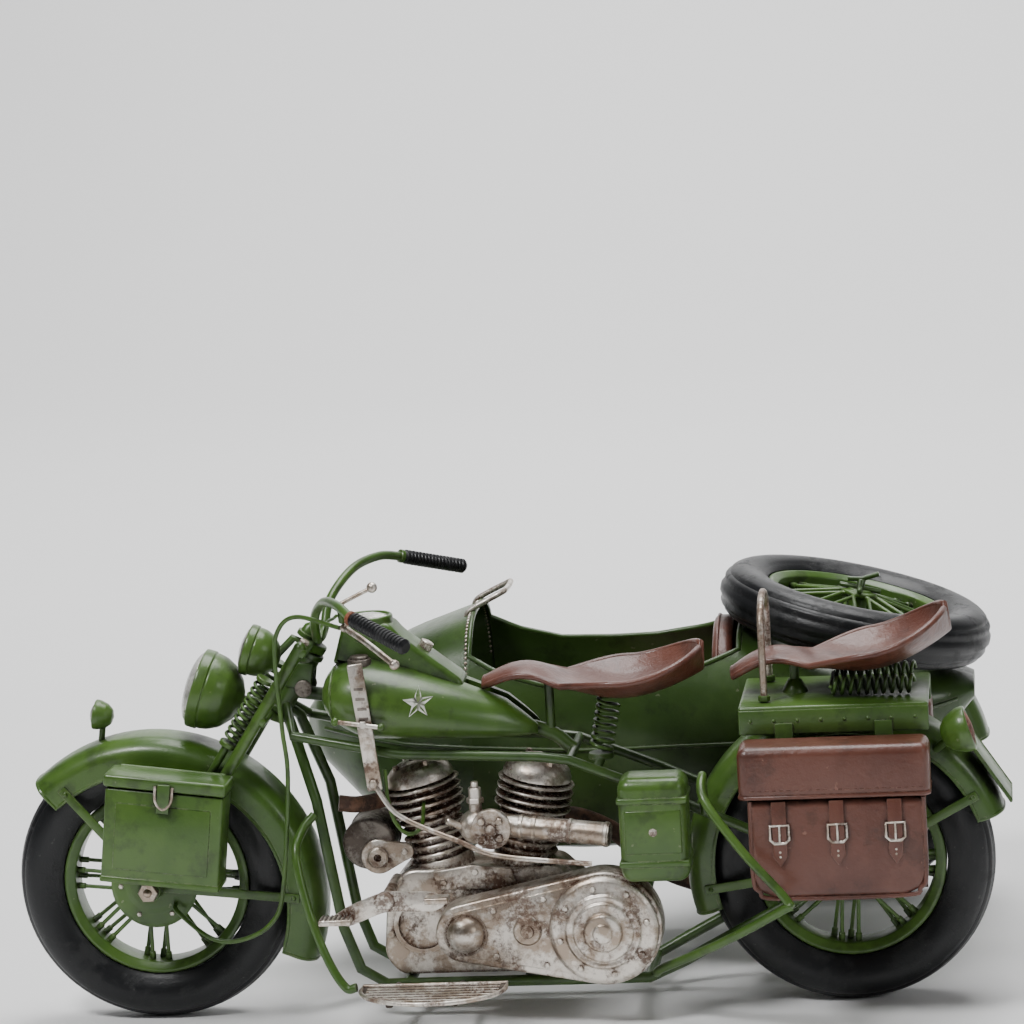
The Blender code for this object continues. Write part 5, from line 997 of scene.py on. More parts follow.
@dataclass
class Controls(SubAssembly):
    """The handlebar with its grips, levers and cable."""

    bar_radius: float = 0.0016
    grip_length: float = 0.0260
    grip_radius: float = 0.0026

    def route(self, side: int) -> list[Vector]:
        """Return one half of the bar, from the middle outward."""
        foot = in_fork(0, 0, UPPER_YOKE + YOKE + 0.0003 + self.bar_radius)
        rise = [(0.0, 0.0, 0.0), (0.0002, 0.0080, 0.0016), (0.0016, 0.0160, 0.0105), (0.0075, 0.0310, 0.0180),
                (0.0145, 0.0460, 0.0195), (0.0208, 0.0572, 0.0172)]
        return [foot + Vector((x, side * y, z)) for x, y, z in rise]

    def build(self) -> None:
        """Build the bar group."""
        left, right = self.route(-1), self.route(1)
        foot = in_fork(0, 0, UPPER_YOKE + YOKE + 0.0003 + self.bar_radius)
        pivot = foot + Vector((0.0155, -0.0400, 0.0108))
        tip = pivot + Vector((0.0194, -0.0220, -0.0086))
        bracket = bar(left[4] + Vector((0.001, 0.001, 0)), pivot + Vector((-0.0006, 0.0004, 0.0021)), 0.0013)
        knob = left[4] + Vector((0.0115, 0.0035, 0.0050))
        layers = [(Finish.GREEN, joined([tube(through(left[::-1] + right[1:], 8), self.bar_radius, 20), bracket])),
                  (Finish.SILVER, bar(left[4], knob, 0.0007) + ball(knob, 0.0018))]
        for side, end, name in ((-1, left[-1], "left"), (1, right[-1], "right")):
            way = Vector((0.0196, side * 0.0155, -0.0072)).normalized()
            start = end + way * 0.0007
            collar = bar(start - way * 0.0016, start + way * 0.0002, self.grip_radius * 0.92, sides=24)
            layers.append((Finish.GOLDEN if side < 0 else Finish.GREEN, collar))
            profile = [(0.0, 0.0), (self.grip_radius * 0.8, 0.0)]
            ribs = 17
            for i in range(ribs):
                base = 0.0006 + (self.grip_length - 0.0016) * i / ribs
                pitch = (self.grip_length - 0.0016) / ribs
                profile += [(self.grip_radius - 0.00038, base), (self.grip_radius, base + pitch * 0.25),
                            (self.grip_radius, base + pitch * 0.70), (self.grip_radius - 0.00038, base + pitch * 0.95)]
            profile += [(self.grip_radius, self.grip_length - 0.0009), (self.grip_radius * 0.7, self.grip_length),
                        (0.0, self.grip_length)]
            self.keep(f"grip_{name}_skin", [(Finish.RUBBER, turned(profile, start, way, 32))], "steering_head",
                      [f"grip_{name}"], "black_rubber")
        wire = through([foot + Vector((0.002, -0.006, 0.0006)), foot + Vector((0.006, -0.018, 0.0085)),
                        foot + Vector((0.0110, -0.034, 0.0130)), foot + Vector((0.0140, -0.0455, 0.0160))], 8)
        layers.append((Finish.GREEN, tube(wire, 0.0006, 10)))
        self.keep("handlebar_skin", layers, "steering_head", ["handlebar"], "olive_paint")
        blade = tube(through([pivot, pivot.lerp(tip, 0.4) + Vector((0, 0, 0.0005)), tip], 8), 0.00105, 14)
        self.keep("brake_lever_skin", [(Finish.SILVER, joined([blade, ball(tip, 0.0017), ball(pivot, 0.0015)]))],
                  "brake_lever_arm", ["brake_lever"], "antique_silver")
        low = [(0.0090, -0.0155, -0.0085), (0.0206, -0.0200, -0.0166), (0.0310, -0.0215, -0.0173), (0.0418, -0.0218, -0.0120),
               (0.0472, -0.0218, 0.0), (0.0515, -0.0218, 0.0380), (0.0508, -0.0218, 0.0554), (0.0500, -0.0218, 0.0790),
               (0.0518, -0.0222, 0.0898), (0.0590, -0.0250, 0.0948)]
        start = FRONT_AXLE + Vector((0.0075, -0.0120, -0.0062))
        way = [start, *[FRONT_AXLE + Vector(p) for p in low], pivot + Vector((-0.0020, 0.0024, -0.0004))]
        self.keep("brake_cable_skin", [(Finish.GREEN, tube(through(way, 8), 0.0008, 12))], "steering_head", ["brake_cable"],
                  "olive_paint")


# ---- fenders ------------------------------------------------------------------------------------
def fender(radius: float, centre: Vector, start: float, end: float, valance: float, half: float = 0.0122) -> Shape:
    """Return a valanced fender with rolled edges between two angles in degrees.

    Args:
        radius: the crown's radius.
        centre: the middle of its arc.
        start: the front angle.
        end: the rear angle.
        valance: the depth of the sides.
        half: half its width.

    Returns:
        The fender.
    """
    wall = 0.0005
    profile = rounded([(radius - valance, half - wall), (radius - 0.0042, half - wall), (radius - 0.0010, half * 0.62),
                       (radius - wall, 0.0), (radius - 0.0010, -half * 0.62), (radius - 0.0042, -half + wall),
                       (radius - valance, -half + wall)], 0.005, 5)
    steps = 48
    rows = []
    for i in range(steps + 1):
        angle = math.radians(start + (end - start) * i / steps)
        rows.append([centre + Vector((r * math.cos(angle), y, r * math.sin(angle))) for r, y in profile])
    sheet = shell(rows, 0.0009)
    edge = [row[0] for row in rows] + rows[-1][1:-1] + [row[-1] for row in reversed(rows)] + rows[0][-2:0:-1]
    return sheet + tube(edge, 0.00075, 8, closed=True)


def stays(axle: Vector, ends: Sequence[tuple[float, float]], half: float = 0.0122) -> Shape:
    """Return flat stays with an eye at the axle, on both sides."""
    out = []
    for side in (-1, 1):
        near, far = sorted((axle.y + side * (half - 0.0002), axle.y + side * (half + 0.0007)))
        ring = turned([(0.0018, -0.00055), (0.0036, -0.00055), (0.0036, 0.00055), (0.0018, 0.00055)],
                      (axle.x, (near + far) / 2, axle.z), SIDE, 28, closed=True)
        out.append(ring)
        for x, z in ends:
            a, b = Vector((axle.x, axle.z)), Vector((x, z))
            way = (b - a).normalized()
            across = Vector((-way.y, way.x)) * 0.0016
            outline = [a + way * 0.0028 - across, b - across, b + across, a + way * 0.0028 + across]
            out.append(side_plate([tuple(p) for p in outline], near, far, 0.0003, 2))
            out.append(ball((x - way.x * 0.002, near if side < 0 else far, z - way.y * 0.002), 0.0009, 12))
    return joined(out)


def on_arc(centre: Vector, radius: float, degrees: float) -> tuple[float, float]:
    """Return an (x, z) point at an angle round a centre."""
    return centre.x + radius * math.cos(math.radians(degrees)), centre.z + radius * math.sin(math.radians(degrees))


@dataclass
class FrontFender(SubAssembly):
    """The front fender with its crown lamp, the brake plate and the ammunition box."""

    radius: float = 0.0595

    def build(self) -> None:
        """Build the pieces beside the front wheel."""
        centre = FRONT_AXLE + Vector((-0.0006, 0, -0.0075))
        edge = self.radius - 0.0080
        green = [fender(self.radius, centre, 131.0, -21.0, 0.0120),
                 stays(FRONT_AXLE, [on_arc(centre, edge, 124.0), on_arc(centre, edge, 2.0)])]
        x, z = on_arc(centre, self.radius - 0.0005, 106.0)
        post = Vector((x + 0.0012, 0, z + 0.0060))
        green.append(bar((x, 0, z), post + UP * 0.001, 0.0011))
        spot, way = post + Vector((-0.0030, 0, 0.0035)), Vector((-1, 0, 0.2))
        bowl = rounded([(0, -0.0004), (0.0040, -0.0004), (0.0042, 0.0), (0.0052, 0.0), (0.0052, -0.0014), (0.0050, -0.0022),
                        (0.0043, -0.0044), (0.0026, -0.0063), (0, -0.0070)], 0.0005, 3)
        green.append(turned(bowl, spot, way, 40))
        glass = turned([(0.0040, -0.0004), (0.0032, 0.0006), (0.0018, 0.0012), (0, 0.0014), (0, -0.0003)], spot, way, 32)
        self.keep("front_fender_skin", [(Finish.GREEN, joined(green)), (Finish.GLASS, glass)], "steering_head",
                  ["front_fender"], "olive_paint")
        self.build_brake_plate()
        self.build_ammo_box()

    def build_brake_plate(self) -> None:
        """Build the slotted drum plate."""
        c = FRONT_AXLE
        disc = turned(rounded([(0.0020, 0.0096), (0.0040, 0.0113), (0.0080, 0.0113), (0.0100, 0.0108), (0.0138, 0.0108),
                               (0.0151, 0.0100), (0.0151, 0.0095), (0.0020, 0.0095)], 0.0005, 3), c, -SIDE, 56, closed=True)
        bolts = self.kit.around(bar((0.0115, 0, 0.0106), (0.0115, 0, 0.0114), 0.0009, sides=6), 6, frame_on(c, -SIDE),
                                Finish.SILVER)
        self.keep("front_brake_plate_skin", [(Finish.GREEN, disc), (Finish.SILVER, bolts)], "steering_head",
                  ["front_brake_plate"], "olive_paint")

    def build_ammo_box(self) -> None:
        """Build the box beside the wheel with its pressed panel, latch and lid."""
        place = Matrix.Translation(FRONT_AXLE + Vector((0.0094, 0, 0.0240))) @ Matrix.Rotation(math.radians(7.5), 4, "Y")
        half, back, low, lid = 0.02025, -0.0189, -0.01875, 0.01415
        front = back - 0.0150
        body = block((-half, front, low), (half, back, lid - 0.0002), 0.0009)
        rib = plate([(-half + 0.004, low + 0.005), (half - 0.004, low + 0.005), (half - 0.004, lid - 0.005),
                     (-half + 0.004, lid - 0.005)], front - 0.0004, front + 0.001, SIDE_ON, 0.0004)
        base = block((-half - 0.0003, front - 0.0003, low), (half + 0.0003, back, low + 0.0022), 0.0006)
        self.keep("ammo_box_skin", [(Finish.GREEN, joined([body, rib, base]).moved(place))], "steering_head", ["ammo_box"],
                  "olive_paint")
        top = block((-half - 0.0008, front - 0.0008, lid + 0.0002), (half + 0.0008, back, 0.01875), 0.0012, 4)
        hasp = block((-0.0022, front - 0.0017, lid - 0.0070), (0.0022, front - 0.0004, lid + 0.0030), 0.0004)
        loop = tube(through([(-0.0030, front - 0.0012, lid + 0.0022), (-0.0026, front - 0.0014, lid - 0.003),
                             (0.0, front - 0.0014, lid - 0.0056), (0.0026, front - 0.0014, lid - 0.003),
                             (0.0030, front - 0.0012, lid + 0.0022)], 6), 0.0005, 10)
        hinge = bar((-half * 0.9, back - 0.0006, 0.0182), (half * 0.9, back - 0.0006, 0.0182), 0.0009)
        self.keep("ammo_box_lid_skin", [(Finish.GREEN, joined([top, hasp, hinge]).moved(place)),
                                        (Finish.SILVER, loop.moved(place))], "ammo_lid", ["ammo_box_lid"], "olive_paint")


# ---- frame, tank and engine ---------------------------------------------------------------------
@dataclass
class Frame(SubAssembly):
    """The tube frame, its head and the crash bars."""

    tube_radius: float = 0.0019
    half_width: float = 0.0145
    stay_half: float = 0.0168
    rail_z: float = 0.0130
    top_half: float = 0.0180

    def side_tubes(self, side: int) -> Shape:
        """Return one side's down tube with lower rail, and its top rail."""
        low, wide, rail = side * self.half_width, side * self.stay_half, side * self.top_half
        foot = HEAD - STEER_AXIS * 0.009
        drop = Vector((REAR_AXLE.x, wide, REAR_AXLE.z))
        down = [foot, foot + Vector((0.0040, side * 0.0085, -0.0060)), (-0.0545, low, 0.0780), (-0.0480, low, 0.0330),
                (-0.0430, low, 0.0185), (-0.0340, low, self.rail_z), (0.0560, low, self.rail_z),
                (0.0680, wide, self.rail_z + 0.0060), drop]
        top = [foot + Vector((0.001, 0, 0.001)), foot + Vector((0.0060, rail, -0.0080)), (-0.0250, rail, 0.0940),
               (0.0230, rail, 0.0915), (0.0330, rail, 0.0900), (0.0600, rail, 0.0790), drop]
        return joined([tube(down, self.tube_radius, 20), tube(top, self.tube_radius - 0.0002, 20),
                       bar(drop - SIDE * self.tube_radius, drop + SIDE * self.tube_radius, 0.0042, sides=32)])

    def build(self) -> None:
        """Build the frame and the bars bolted to it."""
        foot, crown = HEAD - STEER_AXIS * 0.012, HEAD + STEER_AXIS * 0.012
        spine = through([HEAD - STEER_AXIS * 0.004, (-0.0420, 0, 0.1100), (0.0180, 0, 0.0985), (0.0330, 0, 0.0900)], 6)
        parts = [bar(foot, crown, 0.0040, sides=36), bar(foot, foot + STEER_AXIS * 0.002, 0.0046, sides=36),
                 bar(crown - STEER_AXIS * 0.002, crown, 0.0046, sides=36), tube(spine, 0.0024, 20),
                 self.side_tubes(-1), self.side_tubes(1),
                 bar((0.0330, -self.top_half, 0.0900), (0.0330, self.top_half, 0.0900), 0.0016),
                 bar((0.0420, -self.top_half, 0.0863), (0.0420, self.top_half, 0.0863), 0.0016),
                 bar((0.0420, 0, 0.0863), (0.0420, 0, 0.0884), 0.0044, sides=32),
                 bar((0.0255, 0, 0.0945), (0.0255, 0, 0.1145), 0.0016)]
        cross = bar((-0.0270, -self.half_width, self.rail_z), (-0.0270, self.half_width, self.rail_z), self.tube_radius)
        parts.append(self.kit.along(cross, 3, (0.0415, 0, 0), Finish.DARK_GREEN))
        low, high = foot.z + 0.003, crown.z - 0.0035
        gusset = [(HEAD.x - 0.003, low + 0.006), (HEAD.x + 0.006, low + 0.004), (HEAD.x + 0.0075, high),
                  (HEAD.x - 0.0015, high + 0.001)]
        for side in (-1, 1):
            parts.append(side_plate(gusset, *sorted((side * 0.0034, side * 0.0048)), 0.0006, 3))
        plate_layer = joined([bar((HEAD.x + 0.0035, side * 0.0046, HEAD.z - 0.002),
                                  (HEAD.x + 0.0035, side * 0.0058, HEAD.z - 0.002), 0.0030, sides=28) for side in (-1, 1)])
        self.keep("main_frame_skin", [(Finish.DARK_GREEN, joined(parts)), (Finish.STEEL, plate_layer)], "chassis",
                  ["main_frame"], "dark_olive_paint")
        face = self.half_width + self.tube_radius + 0.002
        front = [(-0.0550, -face, 0.0740), (-0.0585, -0.0220, 0.0700), (-0.0600, -0.0300, 0.0630), (-0.0560, -0.0350, 0.0450),
                 (-0.0500, -0.0390, 0.0290), (-0.0440, -0.0420, 0.0200), (-0.0402, -0.0425, 0.0200)]
        rear = [(0.0780, -self.stay_half - 0.0048, 0.0712), (0.0780, -0.0240, 0.0800), (0.0785, -0.0300, 0.0860),
                (0.0795, -0.0400, 0.0800), (0.0920, -0.0480, 0.0640), (0.1060, -0.0545, 0.0490), (0.1040, -0.0540, 0.0455),
                (0.0820, -0.0400, 0.0310), (0.0620, -0.0240, 0.0190), (0.0585, -face, 0.0155)]
        for route, name in ((front, "front_crash_bar"), (rear, "rear_crash_bar")):
            self.keep(f"{name}_skin", [(Finish.GREEN, tube(through(route, 8), 0.0015, 18))], "chassis", [name], "olive_paint")


def tank_section(x: float) -> tuple[float, float, float, float]:
    """Return a tank half's middle height, reach up, reach down and width at a station."""
    t = (x + 0.0500) / 0.0715
    top, bottom = 0.1285 - 0.0240 * t ** 1.35, 0.0985 - 0.0028 * t
    swell = max(0.0, math.sin(math.pi * min(1.0, (t * 0.985 + 0.015) ** 0.50))) ** 0.62
    nose = min(1.0, t * 5.0) ** 0.5
    middle = (top + bottom) / 2 - 0.003 * t
    end = min(1.0, max(0.0, (1.02 - t) * 6.0)) ** 0.5
    scale = (0.25 + 0.75 * nose) * end
    return middle, (top - middle) * scale, (middle - bottom) * scale, 0.0042 + 0.0205 * swell


@dataclass
class Tank(SubAssembly):
    """The tank halves, console, speedometer and gear gate."""

    half_gap: float = 0.0032

    def surface(self, x: float, degrees: float, out: float = 0.0) -> Vector:
        """Return a point of the left half's skin at a station and an angle, 90 being the top."""
        middle, up, down, width = tank_section(x)
        angle = math.radians(degrees)
        reach = up if angle > 0 else down
        spread = abs(math.cos(angle)) ** 0.75
        return Vector((x, -self.half_gap - (width - self.half_gap) * spread - out * math.cos(angle),
                       middle + reach * math.sin(angle) + out * math.sin(angle)))

    def half(self) -> Shape:
        """Return the left half."""
        rings = []
        for i in range(41):
            t = i / 40
            x = -0.0500 + 0.0715 * (0.5 - 0.5 * math.cos(math.pi * t))
            rings.append([self.surface(x, 90.0 - 5.0 * step) for step in range(37)])
        return loft(rings)

    def star(self) -> Shape:
        """Return a five-pointed star that follows the tank's side."""
        centre, reach = Vector((-0.0165, 0.1120)), 0.0052
        spots = []
        for i in range(10):
            angle = math.pi / 2 + math.tau * i / 10
            spots.append(centre + Vector((math.cos(angle), math.sin(angle))) * reach * (1.0 if i % 2 == 0 else 0.40))
        bm = bmesh.new()
        hub = bm.verts.new(self.on_side(*centre))
        for a, b in zip(spots, spots[1:] + spots[:1]):
            last = None
            for t in (0.0, 0.25, 0.5, 0.75, 1.0):
                p = a.lerp(b, t)
                spot = bm.verts.new(self.on_side(*p))
                if last is not None:
                    bm.faces.new((hub, last, spot))
                last = spot
        grown = bmesh.ops.extrude_face_region(bm, geom=bm.faces[:])
        bmesh.ops.translate(bm, verts=[v for v in grown["geom"] if isinstance(v, bmesh.types.BMVert)], vec=(0, -0.00012, 0))
        return from_bmesh(bm)

    def on_side(self, x: float, z: float) -> Vector:
        """Return the point of the left skin at a station and a height."""
        middle, up, down, width = tank_section(x)
        s = (z - middle) / (up if z > middle else down)
        s = max(-0.999, min(0.999, s))
        spread = math.sqrt(1 - s * s) ** 0.75
        return Vector((x, -self.half_gap - (width - self.half_gap) * spread + 0.00004, z))

    def build(self) -> None:
        """Build the tank group."""
        half = self.half()
        seam = tube([self.surface(-0.0466, a, 0.00005) for a in range(84, -91, -6)], 0.00055, 10)
        foot = tube([self.surface(-0.0500 + 0.0715 * t / 24 + 0.0002, -88.0, 0.0001) for t in range(1, 24)], 0.0006, 10)
        caps = [bar((-0.0370, -0.0120, 0.1225), (-0.0370, -0.0120, 0.1262), 0.0040, sides=36),
                bar((-0.0370, -0.0120, 0.1260), (-0.0370, -0.0120, 0.1272), 0.0032, sides=36)]
        grey = joined(caps)
        for name, skin, layers in (
                ("left", half, [(Finish.GREEN, joined([half, seam, foot])), (Finish.WHITE, self.star()), (Finish.STEEL, grey)]),
                ("right", half.mirrored(), [(Finish.GREEN, joined([half, seam, foot]).mirrored()),
                                            (Finish.WHITE, self.star().mirrored()), (Finish.STEEL, grey.mirrored())])):
            self.keep(f"tank_{name}_skin", layers, "chassis", [f"tank_{name}"], "olive_paint", 50.0)
        self.build_console()
        face = -tank_section(-0.0345)[3] - 0.0003
        a, b = Vector((-0.0365, 0.1270)), Vector((-0.0322, 0.0835))
        across = Vector((-(b - a).y, (b - a).x)).normalized() * 0.0026
        gate = side_plate([tuple(p) for p in (a - across, b - across, b + across, a + across)], face - 0.0011, face, 0.0008, 3)
        rod_route = [(-0.0322, face - 0.0008, 0.0850), (-0.0240, -0.0280, 0.0750), (-0.0040, -0.0300, 0.0660),
                     (0.0090, -0.0305, 0.0608), (0.0400, -0.0300, 0.0570)]
        nut = bar((-0.0325, face - 0.0026, 0.0860), (-0.0325, face, 0.0860), 0.0016, sides=6)
        slots = self.kit.along(block((-0.0372, face - 0.0013, 0.1180), (-0.0340, face - 0.0009, 0.1190), 0.0002), 4,
                               (0.0004, 0, -0.0034), Finish.STEEL)
        self.keep("gear_gate_skin", [(Finish.SILVER, joined([gate, tube(through(rod_route, 8), 0.0009, 14), nut])),
                                     (Finish.STEEL, slots)], "chassis", ["gear_gate"], "antique_silver")
        lever = bar((-0.0440, face - 0.0028, 0.1080), (-0.0285, face - 0.0028, 0.1055), 0.0008)
        ends = joined([ball((-0.0440, face - 0.0028, 0.1080), 0.0014), ball((-0.0285, face - 0.0028, 0.1055), 0.0014)])
        pivot = bar((-0.0346, face - 0.0015, 0.1065), (-0.0346, face - 0.0036, 0.1065), 0.0015, sides=6)
        self.keep("gear_lever_skin", [(Finish.SILVER, lever + pivot), (Finish.GREEN, ends)], "gear_lever_arm", ["gear_lever"],
                  "antique_silver")

    def build_console(self) -> None:
        """Build the console with the speedometer, its glass and the screw behind it."""
        outline = rounded([(-0.0450, 0.1233), (-0.0470, 0.1238), (-0.0430, 0.1370), (-0.0270, 0.1370), (-0.0240, 0.1330),
                           (-0.0030, 0.1165), (-0.0030, 0.1120), (-0.0451, 0.1232)], 0.0030, 5)
        body = side_plate(outline, -0.0075, 0.0075, 0.0018, 5)
        seat = Vector((-0.0350, 0, 0.1370))
        ring = turned(rounded([(0.0068, 0.0012), (0.0074, 0.0021), (0.0084, 0.0018), (0.0085, 0.0), (0.0085, -0.0058),
                               (0.0070, -0.0060), (0.0060, -0.0060)], 0.0005, 3), seat, UP, 64)
        glass = turned([(0.0071, 0.0012), (0.0050, 0.0019), (0.0025, 0.0023), (0.0, 0.0024), (0.0, 0.0008)], seat, UP, 48)
        knurl = self.kit.around(bar((0.0019, 0, 0.0), (0.0019, 0, 0.0030), 0.0004, sides=8, soft=0.0), 20,
                                frame_on((-0.0165, 0, 0.1262), (0.5, 0, 0.85)), Finish.SILVER)
        screw = bar((-0.0165, 0, 0.1262), Vector((-0.0165, 0, 0.1262)) + Vector((0.5, 0, 0.85)).normalized() * 0.0032, 0.0020)
        ticks = self.kit.around(block((0.0052, -0.00015, 0.0), (0.0064, 0.00015, 0.0001), 0.0), 12,
                                Matrix.Translation(seat + UP * 0.0014), Finish.STEEL)
        self.keep("tank_console_skin", [(Finish.GREEN, body + ring), (Finish.GLASS, glass), (Finish.SILVER, knurl + screw),
                                        (Finish.STEEL, ticks)], "chassis", ["tank_console"], "olive_paint")


@dataclass
class Engine(SubAssembly):
    """The V-twin: cylinders, case, covers, carburettor, generator and exhaust."""

    tilt: float = math.radians(12.0)
    case_half: float = 0.0120

    def cylinder(self) -> Shape:
        """Return a finned barrel and domed head up the Z axis."""
        profile = [(0.0, 0.0345), (0.0040, 0.0344), (0.0062, 0.0340), (0.0092, 0.0325), (0.0108, 0.0308), (0.0118, 0.0285),
                   (0.0118, 0.0270), (0.0100, 0.0266)]
        fins = 9
        pitch = 0.0262 / fins
        for i in range(fins):
            top = 0.0264 - i * pitch
            outer = 0.0132 if i < 4 else 0.0110
            profile += [(0.0088, top), (outer - 0.0003, top - 0.0003), (outer, top - pitch * 0.22), (outer - 0.0003, top - pitch * 0.42),
                        (0.0088, top - pitch * 0.55)]
        profile += [(0.0088, 0.0), (0.0, 0.0)]
        return turned(profile, (0, 0, 0), UP, 56)

    def build(self) -> None:
        """Build the engine."""
        for side, name in ((-1, "front_cylinder"), (1, "rear_cylinder")):
            foot = Vector((-0.0005 + side * 0.0145, 0, 0.0544))
            way = Vector((side * math.sin(self.tilt), 0, math.cos(self.tilt)))
            place = frame_on(foot, way)
            bolt = bar((0.0078, 0, 0.0320), (0.0078, 0, 0.0345), 0.0011, sides=6)
            plug = bar((0.0, 0, 0.0338), (0.0, 0, 0.0352), 0.0022, sides=6)
            layers = [(Finish.SILVER, joined([self.cylinder().moved(place), plug.moved(place),
                                              self.kit.around(bolt, 4, place, Finish.SILVER, 0.6)]))]
            if side < 0:
                bend = [foot + Vector(p) for p in ((-0.0100, 0, 0.0225), (-0.0190, -0.0080, 0.0215), (-0.0255, -0.0150, 0.0220),
                                                   (-0.0315, -0.0165, 0.0230))]
                oil = [(-0.0290, -0.0225, 0.0900), (-0.0285, -0.0235, 0.0800), (-0.0262, -0.0245, 0.0720),
                       (-0.0220, -0.0248, 0.0680), (-0.0178, -0.0225, 0.0700), (-0.0185, -0.0080, 0.0765)]
                layers.append((Finish.RUST, tube(through(bend, 8), 0.0028, 24)))
                layers.append((Finish.GREEN, tube(through(oil, 8), 0.0007, 12)))
            self.keep(f"{name}_skin", layers, "chassis", [name], "antique_silver")
        self.build_case()
        self.build_primary()
        self.build_carburettor()
        self.build_generator()
        route = [(0.0263, 0.0057, 0.0655), (0.0335, 0.0105, 0.0630), (0.0440, 0.0190, 0.0550), (0.0560, 0.0240, 0.0420),
                 (0.0750, 0.0260, 0.0340), (0.1000, 0.0265, 0.0335), (0.1500, 0.0265, 0.0340)]
        self.keep("exhaust_pipe_skin", [(Finish.RUST, tube(through(route, 8), 0.0032, 24))], "chassis", ["exhaust_pipe"],
                  "rusty_brown")

    def build_case(self) -> None:
        """Build the crankcase with its plate, ribs and bolts."""
        half = self.case_half
        outline = rounded([(0.0, 0.0153), (0.0210, 0.0153), (0.0370, 0.0210), (0.0400, 0.0400), (0.0300, 0.0480), (0.0260, 0.0520),
                           (-0.0260, 0.0520), (-0.0330, 0.0440), (-0.0350, 0.0220), (-0.0300, 0.0153), (-0.0001, 0.0153)],
                          0.0035, 5)
        body = side_plate(outline, -half, half, 0.0012, 3)
        plate_shape = side_plate([(-0.0150, 0.0450), (0.0125, 0.0450), (0.0105, 0.0515), (-0.0030, 0.0535), (-0.0165, 0.0515)],
                                 -half - 0.0012, 0.001 - half, 0.0005, 3)
        ring = turned([(0.0085, 0.0), (0.0085, 0.0012), (0.0100, 0.0012), (0.0100, 0.0)], (-0.0210, -half, 0.0330), -SIDE, 48,
                      closed=True)
        bolts = [bar((x, -half - 0.0018, z), (x, -half, z), 0.0013, sides=6)
                 for x, z in ((-0.0130, 0.0475), (0.0095, 0.0475), (-0.0020, 0.0510), (-0.0300, 0.0470), (-0.0320, 0.0300))]
        stub = bar((-0.0290, -0.0389, 0.0490), (-0.0290, 0.001 - half, 0.0490), 0.0020)
        stands = [bar(Vector((-0.0005 + s * 0.0145, 0, 0.0544)) - Vector((s * math.sin(self.tilt), 0, math.cos(self.tilt))) * 0.008,
                      Vector((-0.0005 + s * 0.0145, 0, 0.0544)), 0.0108, sides=48) for s in (-1, 1)]
        self.keep("crankcase_skin", [(Finish.SILVER, joined([body, plate_shape, ring, *bolts, stub, *stands]))], "chassis",
                  ["crankcase"], "antique_silver")
        x0, y = -0.0290, -0.0400
        pedal = side_plate(rounded([(-0.0455, 0.0418), (-0.0420, 0.0405), (-0.0290, 0.0455), (-0.0120, 0.0450), (-0.0075, 0.0480),
                                    (-0.0120, 0.0520), (-0.0290, 0.0525), (-0.0410, 0.0480), (-0.0500, 0.0425), (-0.0456, 0.0419)],
                                   0.003, 4), y - 0.0012, y, 0.0004)
        treads = [block((-0.0510, y - 0.0070, 0.0425), (-0.0400, y - 0.0004, 0.0445), 0.0005),
                  block((-0.0150, y - 0.0070, 0.0490), (-0.0070, y - 0.0004, 0.0510), 0.0005)]
        grooves = [self.kit.along(bar((-0.0500, y - 0.0066, 0.0446), (-0.0500, y - 0.0008, 0.0446), 0.00035, sides=8), 7,
                                  (0.0015, 0, 0), Finish.STEEL)]
        hub = bar((x0, y - 0.0022, 0.0490), (x0, y + 0.0008, 0.0490), 0.0032, sides=36)
        self.keep("clutch_pedal_skin", [(Finish.SILVER, joined([pedal, *treads, hub])), (Finish.STEEL, joined(grooves))],
                  "clutch_pedal_arm", ["clutch_pedal"], "antique_silver")

    def build_primary(self) -> None:
        """Build the primary cover with its domes."""
        cx, cz, sx, sz = 0.0430, 0.0345, -0.0040, 0.0340
        y_in = -self.case_half - 0.0062
        y_out = y_in - 0.0125
        outline = arc(cx, cz, 0.0195, -100, 98, 40) + arc(sx, sz, 0.0102, 98, 260, 24)
        inner = arc(cx, cz, 0.0170, -100, 98, 40) + arc(sx, sz, 0.0078, 98, 260, 24)
        body = side_plate(outline, y_out + 0.0006, y_in, 0.0010, 3)
        panel = side_plate(inner, y_out, y_out + 0.002, 0.0006, 2)
        dome = turned([(0, 0.0050), (0.0018, 0.0048), (0.0034, 0.0042), (0.0050, 0.0030), (0.0060, 0.0016), (0.0064, 0.0),
                       (0.0074, 0.0004), (0.0074, -0.001), (0, -0.001)], (sx, y_out, sz), -SIDE, 48)
        boss = turned([(0, 0.0016), (0.0020, 0.0016), (0.0024, 0.0008), (0.0042, 0.0008), (0.0050, 0.0), (0.0050, -0.002),
                       (0, -0.002)], (0.0170, y_out, 0.0345), -SIDE, 40)
        clutch = turned(rounded([(0, 0.0072), (0.0030, 0.0072), (0.0034, 0.0066), (0.0062, 0.0066), (0.0066, 0.0048),
                                 (0.0098, 0.0050), (0.0104, 0.0040), (0.0122, 0.0045), (0.0130, 0.0034), (0.0170, 0.0030),
                                 (0.0185, 0.0018), (0.0185, 0.0), (0, 0)], 0.0006, 3), (cx, y_out + 0.0004, cz), -SIDE, 72)
        ring = self.kit.around(bar((0.0150, 0, 0.0028), (0.0150, 0, 0.0044), 0.0011, sides=6), 8,
                               frame_on((cx, y_out + 0.0004, cz), -SIDE), Finish.SILVER, 0.2)
        mount = bar((0.0170, y_in - 0.002, 0.0345), (0.0170, -self.case_half - 0.0003, 0.0345), 0.0060, sides=36)
        screws = [bar((x, y_out - 0.0009, z), (x, y_out + 0.001, z), 0.0011, sides=6)
                  for x, z in ((0.0060, 0.0420), (0.0060, 0.0262), (0.0230, 0.0455), (0.0230, 0.0225))]
